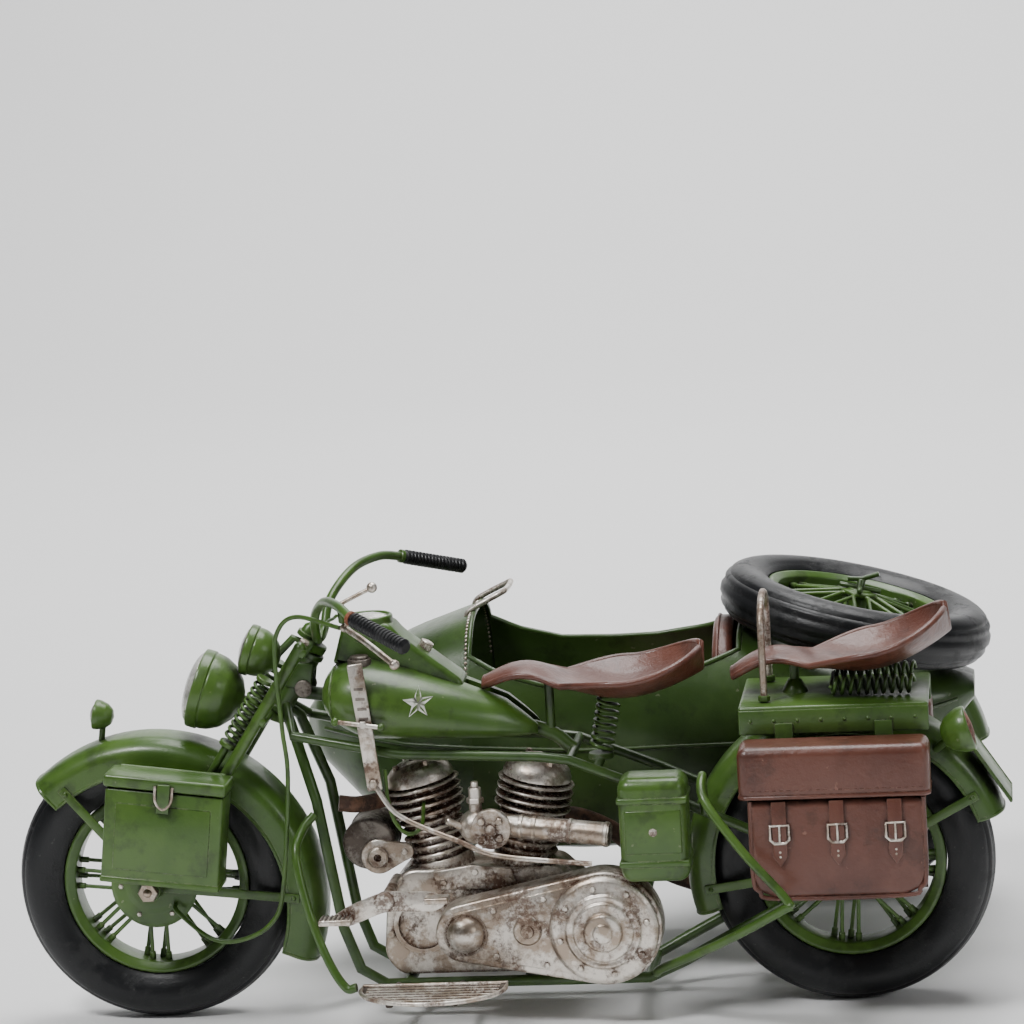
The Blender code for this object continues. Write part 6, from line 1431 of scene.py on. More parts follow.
        self.keep("primary_cover_skin", [(Finish.SILVER, joined([body, panel, dome, boss, clutch, ring, mount, *screws]))],
                  "chassis", ["primary_cover"], "antique_silver")

    def build_carburettor(self) -> None:
        """Build the carburettor with its runner and intake pipe."""
        c = Vector((0.0005, -0.0190, 0.0685))
        middle = Vector((-0.0005, 0, 0.0645))
        hub = c + Vector((0.0055, -0.0030, 0))
        flange = frame_on(hub, -SIDE)
        nut = bar((0.0042, 0, 0.0020), (0.0042, 0, 0.0046), 0.0013, sides=6)
        parts = [ball(c, 0.0060, 32), bar(c, c + UP * 0.0135, 0.0022), bar(c + UP * 0.0080, c + UP * 0.0100, 0.0030, sides=6),
                 bar(c + UP * 0.0125, c + UP * 0.0155, 0.0013), bar(c, middle, 0.0022),
                 bar(middle - FORE * 0.0045, middle + FORE * 0.0045, 0.0022),
                 bar(c + Vector((-0.0040, -0.0020, 0)), c + Vector((-0.0095, -0.0050, 0.0035)), 0.0012),
                 bar(hub, hub - SIDE * 0.0030, 0.0068, sides=44), bar(hub, hub - SIDE * 0.0048, 0.0018, sides=24),
                 self.kit.around(nut, 4, flange, Finish.SILVER, math.pi / 4),
                 tube([c + Vector((0.0080, -0.0010, 0.0005)), c + Vector((0.0455, -0.0055, -0.0030))], 0.0040, 32)]
        start, end = c + Vector((0.0080, -0.0010, 0.0005)), c + Vector((0.0455, -0.0055, -0.0030))
        for t in (0.18, 0.30, 0.62, 0.95):
            spot = start.lerp(end, t)
            parts.append(bar(spot, spot + (end - start).normalized() * 0.0016, 0.0040 + 0.0003, sides=36))
        self.keep("carburettor_skin", [(Finish.SILVER, joined(parts))], "chassis", ["carburettor"], "antique_silver")

    def build_generator(self) -> None:
        """Build the generator drum with its link plate."""
        c = Vector((-0.0385, 0, 0.0610))
        profile = rounded([(0, 0.0100), (0.0060, 0.0100), (0.0062, 0.0094), (0.0084, 0.0098), (0.0090, 0.0088), (0.0090, 0.0062),
                           (0.0087, 0.0058), (0.0087, -0.0058), (0.0090, -0.0062), (0.0090, -0.0088), (0.0084, -0.0100),
                           (0, -0.0100)], 0.0005, 3)
        x, z = c.x + 0.0035, c.z - 0.0040
        link = side_plate(arc(x, z, 0.0060, 60, 300, 24) + arc(x + 0.0092, z + 0.0015, 0.0030, -80, 80, 12), -0.0118, -0.0094,
                          0.0005, 3)
        ring = turned([(0.0014, 0.0), (0.0014, 0.0026), (0.0030, 0.0030), (0.0036, 0.0024), (0.0036, 0.0)], (x, -0.0110, z), -SIDE,
                      40, closed=True)
        bolt = bar((x + 0.0092, -0.0128, z + 0.0015), (x + 0.0092, -0.0114, z + 0.0015), 0.0012, sides=6)
        self.keep("generator_skin", [(Finish.STEEL, turned(profile, c, SIDE, 56)), (Finish.SILVER, joined([link, ring, bolt]))],
                  "chassis", ["generator"], "dark_steel")


# ---- boxes, boards and saddles ------------------------------------------------------------------
RACK_TOP = 0.049 + 0.0555 + 0.0003 + 0.0024
RACK_BOTTOM = RACK_TOP - 0.0095
RACK_FRONT, RACK_REAR = 0.0910, 0.1540
PANNIER_INNER, PANNIER_OUTER = 0.0254, 0.0429


@dataclass
class Luggage(SubAssembly):
    """The footboards, toolbox, rack and panniers."""

    board_top: float = 0.0190

    def footboard(self) -> Layers:
        """Return the left footboard with its grille and arms."""
        edge = [(0.0100, -0.0360), (-0.0390, -0.0360)]
        edge += [(-0.0145 - 0.0245 * math.cos(math.pi * i / 28), -0.0410 - 0.0180 * math.sin(math.pi * i / 28))
                 for i in range(29)]
        base = plate(edge, self.board_top - 0.0015, self.board_top - 0.0005, None, 0.0003)
        rim = tube([(x, y, self.board_top - 0.0006) for x, y in edge], 0.0008, 10, closed=True)
        ribs = [self.kit.along(bar((-0.0370, -0.0378, self.board_top - 0.0004), (0.0080, -0.0378, self.board_top - 0.0004),
                                   0.00045, sides=8), 3, (0, -0.0030, 0), Finish.SILVER)]
        for row in range(3, 7):
            y = -0.0378 - 0.0030 * row
            reach = 0.0235 * math.sqrt(max(0.0, 1 - ((-y - 0.0410) / 0.0180) ** 2))
            ribs.append(bar((-0.0145 - reach, y, self.board_top - 0.0004), (-0.0145 + reach, y, self.board_top - 0.0004), 0.00045,
                            sides=8))
        arms = []
        for x in (-0.0300, -0.0080):
            arms += [bar((x, -0.0167, 0.0130), (x, -0.0400, 0.0130), 0.0013), bar((x, -0.0400, 0.0121), (x, -0.0400, 0.0180), 0.0013)]
        return [(Finish.SILVER, joined([rim, *ribs])), (Finish.STEEL, joined([base, *arms]))]

    def build(self) -> None:
        """Build the boards and boxes."""
        left = self.footboard()
        self.keep("footboard_left_skin", left, "chassis", ["footboard_left"], "antique_silver")
        self.keep("footboard_right_skin", [(f, s.mirrored()) for f, s in left], "chassis", ["footboard_right"], "antique_silver")
        low, high = (0.0505, -0.0396, 0.0520), (0.0735, -0.0222, 0.0875)
        box = block(low, high, 0.0040, 6)
        bands = [block((low[0] - 0.0003, low[1] - 0.0004, z), (high[0] + 0.0003, high[1], z + 0.0022), 0.0007, 3)
                 for z in (0.0575, 0.0790)]
        lid = block((low[0] + 0.002, low[1] - 0.0003, 0.0620), (high[0] - 0.002, low[1] + 0.002, 0.0770), 0.0008, 3)
        screw = bar((0.0620, low[1] - 0.0004, 0.0695), (0.0620, low[1] + 0.001, 0.0695), 0.0016)
        self.keep("toolbox_skin", [(Finish.GREEN, joined([box, *bands, lid])), (Finish.SILVER, screw)], "chassis", ["toolbox"],
                  "olive_paint")
        self.build_rack()
        self.build_panniers()

    def build_rack(self) -> None:
        """Build the rack box with its post, hangers and rivets."""
        deck = block((RACK_FRONT, -0.0242, RACK_TOP - 0.0022), (RACK_REAR, 0.0242, RACK_TOP), 0.0009)
        skirts = [block((RACK_FRONT, side * 0.0236 - 0.0008, RACK_BOTTOM), (RACK_REAR, side * 0.0236 + 0.0008, RACK_TOP - 0.001),
                        0.0006) for side in (-1, 1)]
        x = RACK_FRONT + 0.0180
        cone = turned([(0, -0.0004), (0.0044, -0.0004), (0.0042, 0.0006), (0.0024, 0.0040), (0.0016, 0.0044), (0.0016, 0.0106),
                       (0, 0.0106)], (x, 0, RACK_TOP), UP, 36)
        hangers = []
        for hx in (RACK_FRONT + 0.0120, RACK_REAR - 0.0180):
            for near, far in ((-0.0251, -0.0234), (0.0234, 0.0251)):
                hangers.append(block((hx, near, RACK_BOTTOM - 0.0260), (hx + 0.0060, far, RACK_BOTTOM + 0.0040), 0.0004))
        rivet = ball((RACK_FRONT + 0.004, -0.0242, RACK_TOP - 0.0048), 0.0007, 12)
        rivets = self.kit.along(rivet, 8, (0.0078, 0, 0), Finish.GREEN)
        self.keep("rack_box_skin", [(Finish.GREEN, joined([deck, *skirts, cone, *hangers, rivets]))], "chassis", ["rack_box"],
                  "olive_paint")

    def pannier_body(self) -> Layers:
        """Return the left pannier's bag with its piping and straps."""
        top = RACK_BOTTOM - 0.0180
        low = top - 0.0003 - 0.0330
        front, rear = RACK_FRONT + 0.0030, RACK_REAR - 0.0020
        outline = [(front, top - 0.0003), (front, low + 0.0075), (front + 0.0020, low + 0.0025), (front + 0.0075, low),
                   (rear - 0.0075, low), (rear - 0.0020, low + 0.0025), (rear, low + 0.0075), (rear, top - 0.0003)]
        bag = side_plate(outline, -PANNIER_OUTER + 0.0004, -PANNIER_INNER, 0.0022, 5)
        pipe_route = through([(x + (0.0006 if x < 0.12 else -0.0006), -PANNIER_OUTER + 0.0012, z) for x, z in outline], 5)
        piping = tube(pipe_route, 0.0008, 10)
        return [(Finish.BROWN, joined([bag, piping]))]

    def straps(self, top: float) -> Layers:
        """Return three pointed straps with buckles, hanging from a height."""
        out, metal = [], []
        y = -PANNIER_OUTER
        for x in (0.1040, 0.1230, 0.1420):
            tongue = [(x - 0.0024, top), (x - 0.0024, top - 0.0185), (x, top - 0.0220), (x + 0.0024, top - 0.0185), (x + 0.0024, top)]
            out.append(side_plate(tongue, y - 0.0006, y + 0.0006, 0.0003))
            ring = [(x - 0.0031, y - 0.0005, top - 0.0080), (x - 0.0031, y - 0.0005, top - 0.0128), (x - 0.0018, y - 0.0005, top - 0.0140),
                    (x + 0.0018, y - 0.0005, top - 0.0140), (x + 0.0031, y - 0.0005, top - 0.0128), (x + 0.0031, y - 0.0005, top - 0.0080)]
            metal.append(tube(ring, 0.00055, 10, closed=True))
            metal.append(bar((x, y - 0.0008, top - 0.0080), (x, y - 0.0008, top - 0.0142), 0.0004, sides=10))
            hole = bar((x, y - 0.0008, top - 0.0170), (x, y - 0.0003, top - 0.0170), 0.0004, sides=10)
            metal.append(self.kit.along(hole, 2, (0, 0, -0.0016), Finish.SILVER))
        return [(Finish.BROWN, joined(out)), (Finish.SILVER, joined(metal))]

    def pannier_lid(self) -> Shape:
        """Return the left lid with its rolled lower edge."""
        low = RACK_BOTTOM - 0.0180
        body = block((RACK_FRONT, -PANNIER_OUTER - 0.0008, low), (RACK_REAR, -PANNIER_INNER, RACK_BOTTOM - 0.0003), 0.0032, 6)
        seam = tube([(RACK_FRONT + 0.0006, -PANNIER_INNER - 0.001, low + 0.0012), (RACK_FRONT + 0.0006, -PANNIER_OUTER + 0.001, low + 0.0012),
                     (RACK_FRONT + 0.002, -PANNIER_OUTER - 0.0003, low + 0.0012), (RACK_REAR - 0.002, -PANNIER_OUTER - 0.0003, low + 0.0012),
                     (RACK_REAR - 0.0006, -PANNIER_OUTER + 0.001, low + 0.0012), (RACK_REAR - 0.0006, -PANNIER_INNER - 0.001, low + 0.0012)],
                    0.0008, 10)
        stitch = bar((RACK_FRONT + 0.004, -PANNIER_OUTER - 0.0008, low + 0.0034), (RACK_FRONT + 0.0054, -PANNIER_OUTER - 0.0008, low + 0.0034),
                     0.00022, sides=6)
        return joined([body, seam, self.kit.along(stitch, 24, (0.0024, 0, 0), Finish.BROWN)])

    def build_panniers(self) -> None:
        """Build both panniers and the left one's lid."""
        bag, lid = self.pannier_body(), self.pannier_lid()
        straps = self.straps(RACK_BOTTOM - 0.0180 - 0.0003)
        self.keep("pannier_left_skin", [*bag, *straps], "chassis", ["pannier_left"], "brown_leather")
        self.keep("pannier_lid_skin", [(Finish.BROWN, lid)], "pannier_lid", ["pannier_lid_left"], "brown_leather")
        right = [(f, s.mirrored()) for f, s in [*bag, *straps, (Finish.BROWN, lid)]]
        self.keep("pannier_right_skin", right, "chassis", ["pannier_right"], "brown_leather")


@dataclass
class Saddles(SubAssembly):
    """Both saddles with their springs and the passenger's hoop."""

    length: float = 0.0735
    half_width: float = 0.0235
    thickness: float = 0.0021

    def outline(self, t: float) -> tuple[float, float, float]:
        """Return half width, centre height and edge lift along the saddle, nose at 0."""
        blend = 0.5 - 0.5 * math.cos(math.pi * min(1.0, max(0.0, (t - 0.22) / 0.42)))
        width = 0.0065 + 0.0030 * min(1.0, t / 0.2) + (self.half_width - 0.0095) * blend
        if t > 0.72:
            width *= math.sqrt(max(0.0, 1.0 - ((t - 0.72) / 0.285) ** 2.4))
        if t < 0.06:
            width *= 0.62 + 0.38 * t / 0.06
        centre = 0.0042 * math.sin(math.pi * min(1.0, t / 0.36)) - 0.0065 * blend + 0.0075 * max(0.0, (t - 0.66) / 0.34) ** 1.6
        return max(width, 0.0012), centre, -0.0020 * (1.0 - blend) + 0.0075 * blend

    def pan(self) -> Shape:
        """Return the dished pan with its rolled edge."""
        rows = []
        for i in range(45):
            t = i / 44
            width, centre, lift = self.outline(t)
            rows.append([Vector((t * self.length, width * v, centre + lift * abs(v) ** 2.2))
                         for v in (-1 + 2 * j / 28 for j in range(29))])
        sheet = shell(rows, self.thickness)
        edge = [row[0] for row in rows] + rows[-1][2:-2:4] + [row[-1] for row in reversed(rows)] + rows[0][-4:3:-4]
        return sheet + tube([p + Vector((0.0, 0.0, 0.0001)) for p in edge], self.thickness * 0.56, 12, closed=True)

    def build(self) -> None:
        """Build the saddles."""
        pan = self.pan()
        front = Matrix.Translation((0.0040, 0, 0.1154))
        rear = Matrix.Translation((0.0885, 0, 0.1156)) @ Matrix.Rotation(math.radians(-8.0), 4, "Y")
        for name, place in (("front_saddle", front), ("pillion_saddle", rear)):
            obj = self.keep(f"{name}_skin", [(Finish.BROWN, pan.moved(place))], "chassis", [name], "brown_leather", 60.0)
        coil = self.kit.coil(Vector((0.0420, 0, 0.0888)), Vector((0.0460, 0, 0.1075)), 0.0036, 0.0007, 7, Finish.GREEN)
        self.keep("saddle_spring_skin", [(Finish.GREEN, coil)], "chassis", ["saddle_spring"], "dark_olive_paint")
        z = RACK_TOP + 0.0037
        near, far = RACK_FRONT + 0.0300, RACK_FRONT + 0.0590
        parts = [self.kit.coil(Vector((near, y, z)), Vector((far, y, z)), 0.0027, 0.0006, 10, Finish.GREEN) for y in (-0.0110, 0.0110)]
        parts.append(bar((near + 0.0006, -0.0137, z), (near + 0.0006, 0.0110, z), 0.0006))
        self.keep("pillion_springs_skin", [(Finish.GREEN, joined(parts))], "chassis", ["pillion_springs"], "dark_olive_paint")
        x, y = RACK_FRONT + 0.0085, 0.0165
        hoop = [(x, -y, RACK_TOP + 0.0003), (x, -y, RACK_TOP + 0.0240)]
        hoop += [(x, -y * math.cos(math.pi * i / 16), RACK_TOP + 0.0240 + 0.0100 * math.sin(math.pi * i / 16)) for i in range(1, 16)]
        hoop += [(x, y, RACK_TOP + 0.0240), (x, y, RACK_TOP + 0.0003)]
        feet = [bar((x, s * y, RACK_TOP + 0.0003), (x, s * y, RACK_TOP + 0.0024), 0.0012 + 0.0008, sides=6) for s in (-1, 1)]
        self.keep("passenger_handle_skin", [(Finish.SILVER, tube(hoop, 0.0012, 16)), (Finish.GREEN, joined(feet))], "chassis",
                  ["passenger_handle"], "antique_silver")


@dataclass
class RearFender(SubAssembly):
    """The rear fender with its tail lamp and bare number plate."""

    radius: float = 0.0555

    def build(self) -> None:
        """Build the rear fender."""
        edge = self.radius - 0.0060
        parts = [fender(self.radius, REAR_AXLE, 197.0, 18.0, 0.0095),
                 stays(REAR_AXLE, [on_arc(REAR_AXLE, edge, a) for a in (28.0, 188.0)])]
        lean = math.radians(33.0)
        out = Vector((math.cos(lean), 0, math.sin(lean)))
        along = Vector((out.z, 0, -out.x))
        base = REAR_AXLE + out * self.radius
        place = Matrix(((out.x, 0, along.x, base.x), (0, 1, 0, 0), (out.z, 0, along.z, base.z), (0, 0, 0, 1)))
        parts += [block((0.0012, -0.0120, -0.0130), (0.0022, 0.0120, 0.0130), 0.0004, 3, place),
                  block((0.0, -0.0030, -0.0030), (0.0016, 0.0030, 0.0030), 0.0004, 3, place),
                  tube([place @ Vector((0.0020, y, z)) for y, z in ((-0.0114, -0.0124), (0.0114, -0.0124), (0.0114, 0.0124),
                                                                     (-0.0114, 0.0124))], 0.00045, 8, closed=True)]
        centre = REAR_AXLE + Vector((0.0415, -0.0204, 0.0480))
        way = Vector((0.95, 0, 0.3)).normalized()
        bowl = rounded([(0, 0.0006), (0.0064, 0.0006), (0.0068, 0.0010), (0.0077, 0.0006), (0.0077, -0.0016), (0.0072, -0.0034),
                        (0.0056, -0.0066), (0.0031, -0.0088), (0, -0.0094)], 0.0008, 4)
        parts.append(turned(bowl, centre, way, 48))
        x, z = on_arc(REAR_AXLE, edge, 52.0)
        parts.append(bar(centre - way * 0.004, (x, -0.0116, z), 0.0014))
        glass = turned([(0.0062, 0.0006), (0.0044, 0.0012), (0.0022, 0.0016), (0, 0.0017), (0, 0.0006)], centre, way, 40)
        self.keep("rear_fender_skin", [(Finish.GREEN, joined(parts)), (Finish.GOLDEN, glass)], "chassis", ["rear_fender"],
                  "olive_paint")


# ---- sidecar ------------------------------------------------------------------------------------
STATIONS = (
    (-0.0720, 0.0820, 0.0860, 0.0900, 0.12), (-0.0660, 0.0720, 0.0850, 0.0985, 0.42), (-0.0520, 0.0580, 0.0830, 0.1080, 0.70),
    (-0.0320, 0.0460, 0.0800, 0.1170, 0.89), (-0.0085, 0.0400, 0.0780, 0.1250, 0.98), (0.0300, 0.0380, 0.0760, 0.1230, 1.00),
    (0.0880, 0.0410, 0.0770, 0.1160, 0.99), (0.1150, 0.0500, 0.0800, 0.1085, 0.93), (0.1420, 0.0640, 0.0840, 0.1015, 0.78),
    (0.1600, 0.0780, 0.0880, 0.0965, 0.56), (0.1680, 0.0870, 0.0900, 0.0935, 0.34))


def station(x: float) -> tuple[float, ...]:
    """Return the hull's floor, side height, crown and width share at a place along it."""
    for near, far in zip(STATIONS, STATIONS[1:]):
        if near[0] <= x <= far[0]:
            t = (x - near[0]) / (far[0] - near[0])
            return tuple(a + (b - a) * t for a, b in zip(near[1:], far[1:]))
    return STATIONS[-1][1:] if x > 0 else STATIONS[0][1:]


def hull_point(x: float, degrees: float, inset: float = 0.0) -> Vector:
    """Return a point of the hull's skin at an angle round it, 90 being the top."""
    floor, side_z, crown, share = station(x)
    c, s = math.cos(math.radians(degrees)), math.sin(math.radians(degrees))
    half = 0.0390 * share - inset
    reach = max(0.001, ((crown - side_z) if s > 0 else (side_z - floor)) - inset)
    return Vector((x, SIDECAR_Y + half * math.copysign(abs(c) ** 0.62, c),
                   side_z + reach * math.copysign(abs(s) ** (0.80 if s > 0 else 0.62), s)))


@dataclass
class Sidecar(SubAssembly):
    """The sidecar's hull, seat, handle, chassis and fender."""

    wall: float = 0.0016
    front_x: float = -0.0085
    rear_x: float = 0.0865

    def rim_height(self, x: float) -> float:
        """Return the height of the cockpit's edge at a place along the hull."""
        rim = ((-0.0085, 0.1140), (0.0015, 0.1085), (0.0175, 0.1040), (0.0365, 0.1035), (0.0525, 0.1040), (0.0705, 0.1070),
               (0.0865, 0.1120))
        for (x0, z0), (x1, z1) in zip(rim, rim[1:]):
            if x0 <= x <= x1:
                return z0 + (z1 - z0) * (x - x0) / (x1 - x0)
        return 1.0

    def build(self) -> None:
        """Build the sidecar."""
        self.build_hull()
        self.build_seat()
        self.build_chassis()

    def section(self, x: float, open_top: bool) -> list[Vector]:
        """Return the hull's outer skin from the near edge, under the floor, to the far edge."""
        count = 56
        if not open_top:
            return [hull_point(x, 90 - 360 * i / count) for i in range(count + 1)]
        limit = []
        for side in (1, -1):
            low, high = 0.0, 90.0
            for _ in range(24):
                mid = (low + high) / 2
                p = hull_point(x, mid if side > 0 else 180 - mid)
                lean = math.tan(math.radians(2.5)) * (p.y - SIDECAR_Y)
                if p.z < self.rim_height(x) + lean:
                    low = mid
                else:
                    high = mid
            limit.append(low)
        start, end = limit[0], -180 - limit[1]
        return [hull_point(x, start + (end - start) * i / count) for i in range(count + 1)]

    def build_hull(self) -> None:
        """Build the hull in three runs of skin with the cockpit's rolled edge."""
        nose = [self.section(-0.0720 + (self.front_x + 0.0720) * (i / 16) ** 1.4, False) for i in range(17)]
        tub = [self.section(self.front_x + (self.rear_x - self.front_x) * i / 26, True) for i in range(27)]
        tail = [self.section(self.rear_x + (0.1680 - self.rear_x) * (1 - (1 - i / 18) ** 1.4), False) for i in range(19)]
        inward = [[p.lerp(Vector((p.x, SIDECAR_Y, 0.078)), 0.018) for p in row] for row in tub]
        skins = [shell(nose, 0.0004), shell(tub, 0.0004), shell(inward, 0.0004), shell(tail, 0.0004)]
        ends = [Shape([Vector(p) for p in ring[:-1]], [tuple(range(len(ring) - 1))]) for ring in (nose[0], tail[-1])]
        left, right = [row[-1] for row in tub], [row[0] for row in tub]
        cowl = [hull_point(self.front_x, a) for a in range(0, 181, 5)]
        cowl = [p for p in cowl if p.z > self.rim_height(self.front_x) + 0.001]
        back = [hull_point(self.rear_x, a) for a in range(0, 181, 5)]
        back = [p for p in back if p.z > self.rim_height(self.rear_x) + 0.001]
        roll = left + back[::-1] + right[::-1] + cowl
        edge = tube(roll, 0.0010, 12, closed=True)
        beads = []
        arch = [hull_point(self.front_x - 0.0012, a) for a in range(24, 157, 3)]
        for i, p in enumerate(arch):
            beads.append(ball(p + Vector((0, 0, 0.0002)), 0.0007, 10))
        band_z = [(x, hull_point(x, 2.0, -0.0002), hull_point(x, 178.0, -0.0002)) for x in
                  [-0.064 + 0.226 * i / 50 for i in range(51)]]
        belt = tube([b for _, b, _ in band_z], 0.0007, 8) + tube([c for _, _, c in band_z], 0.0007, 8)
        floor = side_plate([(-0.0080, 0.0430), (0.0860, 0.0440), (0.0860, 0.0450), (-0.0080, 0.0440)], SIDECAR_Y - 0.032,
                           SIDECAR_Y + 0.032, 0.0)
        base = block((0.0400, SIDECAR_Y - 0.0172, 0.0420), (0.0740, SIDECAR_Y + 0.0172, 0.0540), 0.001)
        normal = Vector((math.sin(SPARE_TILT), 0, math.cos(SPARE_TILT)))
        pad_top = SPARE_CENTRE - normal * 0.0088
        stud_top = SPARE_CENTRE + normal * 0.0119
        cross = joined([bar(SPARE_CENTRE + normal * 0.0087 - v * 0.0075, SPARE_CENTRE + normal * 0.0087 + v * 0.0075, 0.0009)
                        for v in (SIDE, SIDE.cross(normal))])
        mount = joined([bar(pad_top - normal * 0.008, pad_top, 0.0060, sides=40), bar(pad_top, stud_top, 0.0015)])
        wing = tube([stud_top - Vector((0.0050, 0, -0.0004)), stud_top, stud_top + Vector((0.0062, 0, 0.0016))], 0.0009, 12)
        green = joined([*skins, *ends, edge, belt, floor, base, mount, wing, cross])
        self.keep("sidecar_body_skin", [(Finish.DARK_GREEN, green), (Finish.SILVER, joined(beads))], "chassis", ["sidecar_body"],
                  "dark_olive_paint", 50.0)

    def build_seat(self) -> None:
        """Build the cushions and the grab handle."""
        half = 0.0312
        cushion = block((0.0330, SIDECAR_Y - half, 0.0543), (0.0745, SIDECAR_Y + half, 0.0640), 0.0036, 8)
        piping = tube([(x, y, 0.0618) for x, y in ((0.0336, SIDECAR_Y - half + 0.001), (0.0740, SIDECAR_Y - half + 0.001),
                                                  (0.0740, SIDECAR_Y + half - 0.001), (0.0336, SIDECAR_Y + half - 0.001))], 0.0006, 8,
                      closed=True)
        self.keep("sidecar_seat_skin", [(Finish.BROWN, cushion + piping)], "chassis", ["sidecar_seat"], "brown_leather")
        edge = [(0.92, 0.0600), (0.96, 0.0800), (0.94, 0.0980), (0.80, 0.1065), (0.60, 0.1120), (0.32, 0.1162), (0.08, 0.1180)]
        side = [(half * s, z) for s, z in edge]
        outline = [(y, z) for y, z in side] + [(-y, z) for y, z in reversed(side)]
        turn = Matrix.Translation((0, SIDECAR_Y, 0)) @ Matrix.Rotation(math.pi / 2, 4, "Z")
        back = side_plate(outline, -0.0840, -0.0765, 0.0026, 6).moved(turn)
        welt = tube([turn @ Vector((y, -0.0785, z)) for y, z in outline], 0.0006, 8, closed=True)
        self.keep("sidecar_backrest_skin", [(Finish.BROWN, back + welt)], "chassis", ["sidecar_backrest"],
                            "brown_leather")
        x, reach, foot = self.front_x - 0.0030, 0.0115, hull_point(self.front_x - 0.0030, 72.0).z + 0.0006
        hoop = [(x, SIDECAR_Y - reach, foot), (x + 0.0020, SIDECAR_Y - reach, foot + 0.0030),
                (x + 0.0120, SIDECAR_Y - reach + 0.0010, foot + 0.0080), (x + 0.0145, SIDECAR_Y - reach + 0.0040, foot + 0.0092)]
        hoop += [(hx, 2 * SIDECAR_Y - y, z) for hx, y, z in reversed(hoop)]
        self.keep("grab_handle_skin", [(Finish.SILVER, tube(through(hoop, 6), 0.0010, 14))], "chassis", ["grab_handle"],
                  "antique_silver")

    def build_chassis(self) -> None:
        """Build the chassis rails and the sidecar fender."""
        inner, near_y, far_y, z = 0.0167, SIDECAR_Y - 0.02145, SIDECAR_Y + 0.0234, 0.0330
        parts = [bar((-0.0340, far_y, z), (0.1220, far_y, z), 0.0022, sides=28)]
        for x in (-0.0190, 0.0520):
            cross = [(x, inner, 0.0130), (x, inner + 0.0030, 0.0150), (x, inner + 0.0130, z - 0.0030), (x, inner + 0.0160, z),
                     (x, far_y, z)]
            parts.append(tube(cross, 0.0022, 20))
            for y in (near_y, far_y):
                parts.append(bar((x, y, z), (x, y, 0.0450), 0.0016))
        a = SIDECAR_AXLE
        parts += [bar((a.x, far_y, z), (a.x, far_y, a.z), 0.0021), bar((a.x, far_y, a.z), (a.x, a.y + 0.0142, a.z), 0.0016),
                  bar((a.x, a.y + 0.0134, a.z), (a.x, a.y + 0.0157, a.z), 0.0036, sides=6)]
        self.keep("sidecar_chassis_skin", [(Finish.DARK_GREEN, joined(parts))], "chassis", ["sidecar_chassis"], "dark_olive_paint")
        guard = fender(0.0555, a, 168.0, 12.0, 0.0095) + stays(a, [on_arc(a, 0.0495, d) for d in (40.0, 140.0)])
        self.keep("sidecar_fender_skin", [(Finish.DARK_GREEN, guard)], "chassis", ["sidecar_fender"], "dark_olive_paint")


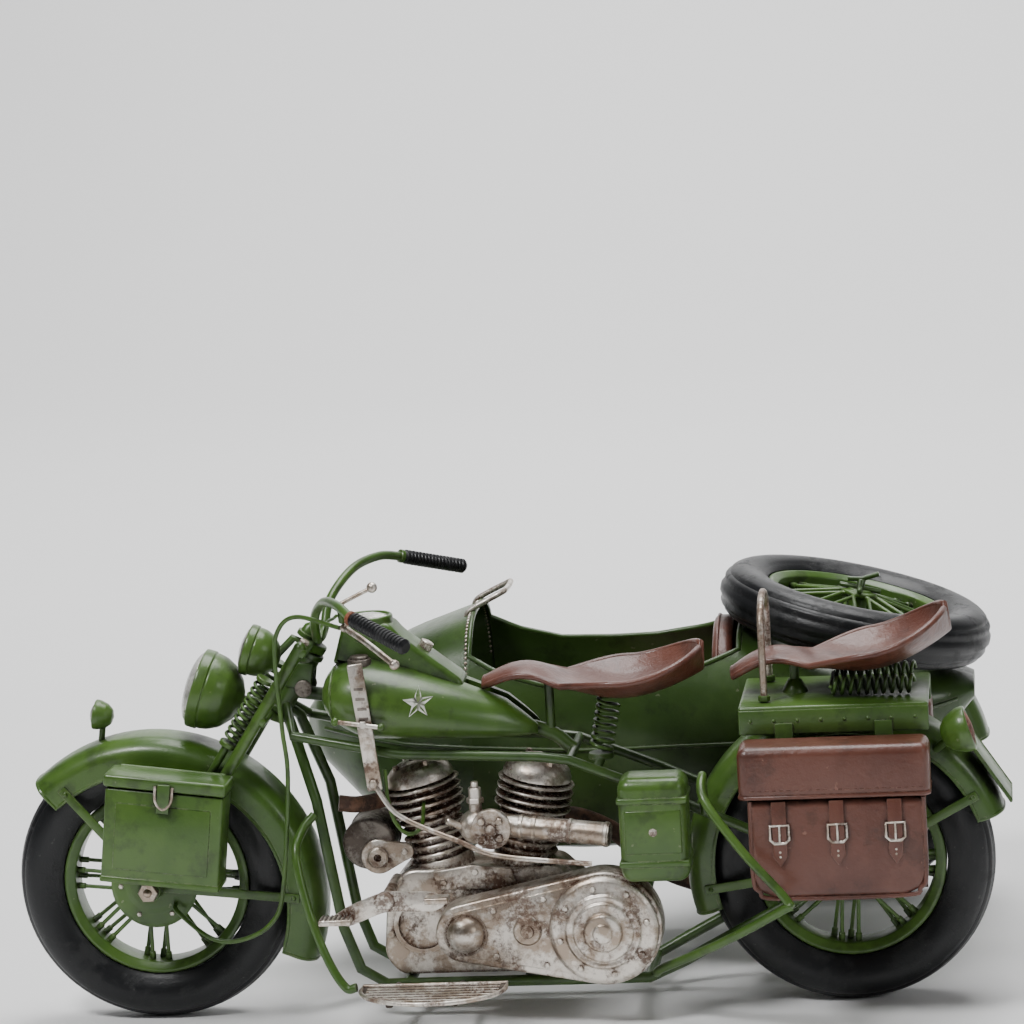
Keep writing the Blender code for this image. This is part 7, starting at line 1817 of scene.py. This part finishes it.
# ---- studio -------------------------------------------------------------------------------------
@dataclass
class Studio:
    """The pale floor, soft lights and camera."""

    shift: Vector
    focal: float = 4000.0 / 1024.0
    azimuth: float = math.radians(8.0)
    elevation: float = math.radians(14.3)
    roll: float = math.radians(-3.7)
    distance: float = 1.3779
    aside: float = -0.01223
    below: float = 0.08838

    def build(self) -> None:
        """Build the studio."""
        self.floor()
        self.lights()
        self.camera()

    def floor(self) -> None:
        """Build a plain seamless sweep."""
        g = Graph("studio_paper")
        tone = g.mix(g.noise(3.0, 2.0), (0.86, 0.86, 0.86, 1), (0.90, 0.90, 0.90, 1))
        paper = g.finish(tone, g.noise(40.0, 2.0) * 0.1 + 0.75, 0.0)
        profile = [(-2.6, 0.0), (1.6, 0.0), *((1.6 + 0.8 * math.sin(a), 0.8 - 0.8 * math.cos(a))
                                              for a in (math.pi / 2 * i / 12 for i in range(1, 13))), (2.4, 3.2)]
        points = [(x, y, z) for x in (-4.0, 4.0) for y, z in profile]
        n = len(profile)
        mesh = bpy.data.meshes.new("studio_floor")
        mesh.from_pydata(points, [], [(i, n + i, n + i + 1, i + 1) for i in range(n - 1)])
        mesh.materials.append(paper)
        mesh.polygons.foreach_set("use_smooth", [True] * len(mesh.polygons))
        obj = bpy.data.objects.new("studio_floor", mesh)
        bpy.context.scene.collection.objects.link(obj)

    def lights(self) -> None:
        """Place soft boxes and an even surround."""
        world = bpy.data.worlds.new("studio")
        bpy.context.scene.world = world
        world.use_nodes = True
        world.node_tree.nodes["Background"].inputs["Color"].default_value = (1.0, 1.0, 1.0, 1.0)
        world.node_tree.nodes["Background"].inputs["Strength"].default_value = 0.08
        model, wall = Vector((0.0, 0.0, 0.05)), Vector((0.0, 2.4, 0.5))
        for name, place, size, power, aim in (
                ("key", (-0.50, -0.70, 1.20), 0.35, 13.0, model), ("top", (0.15, 0.20, 1.30), 0.80, 14.0, model),
                ("fill", (1.10, -0.80, 0.60), 0.40, 2.5, model), ("backdrop", (0.0, 1.00, 1.70), 1.20, 45.0, wall)):
            lamp = bpy.data.lights.new(name, "AREA")
            lamp.shape, lamp.size, lamp.energy = "DISK", size, power
            obj = bpy.data.objects.new(name, lamp)
            obj.location = place
            obj.rotation_euler = (aim - Vector(place)).to_track_quat("-Z", "Y").to_euler()
            bpy.context.scene.collection.objects.link(obj)

    def camera(self) -> None:
        """Place the camera low on the left, aimed above the model and rolled a little."""
        back = Vector((math.sin(self.azimuth) * math.cos(self.elevation), -math.cos(self.azimuth) * math.cos(self.elevation),
                       math.sin(self.elevation)))
        right = (-back).cross(UP).normalized()
        up = right.cross(-back)
        ahead = (-back - right * self.aside + up * self.below).normalized()
        across = ahead.cross(up).normalized()
        lift = across.cross(ahead)
        tilted = across * math.cos(self.roll) + lift * math.sin(self.roll)
        raised = lift * math.cos(self.roll) - across * math.sin(self.roll)
        data = bpy.data.cameras.new("camera")
        data.sensor_width = 36.0
        data.lens = self.focal * 36.0
        data.clip_start, data.clip_end = 0.05, 20.0
        obj = bpy.data.objects.new("camera", data)
        spot = Vector((0, 0, 0.049)) + back * self.distance - self.shift
        turn = Matrix((tilted, raised, -ahead)).transposed().to_4x4()
        obj.matrix_world = Matrix.Translation(spot) @ turn
        bpy.context.scene.collection.objects.link(obj)
        bpy.context.scene.camera = obj


def main() -> None:
    """Build the whole scene in order."""
    logging.basicConfig(level=logging.INFO, format="%(name)s: %(message)s")
    low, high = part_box("front_axle")
    shift = FRONT_AXLE - (low + high) / 2
    kit = Kit(shift)
    for group in (Wheels, Fork, Controls, FrontFender, Frame, Tank, Engine, Luggage, Saddles, RearFender, Sidecar):
        group(kit).build()
        log.info("%s is built", group.__name__)
    Studio(shift).build()


if __name__ == "__main__":
    main()
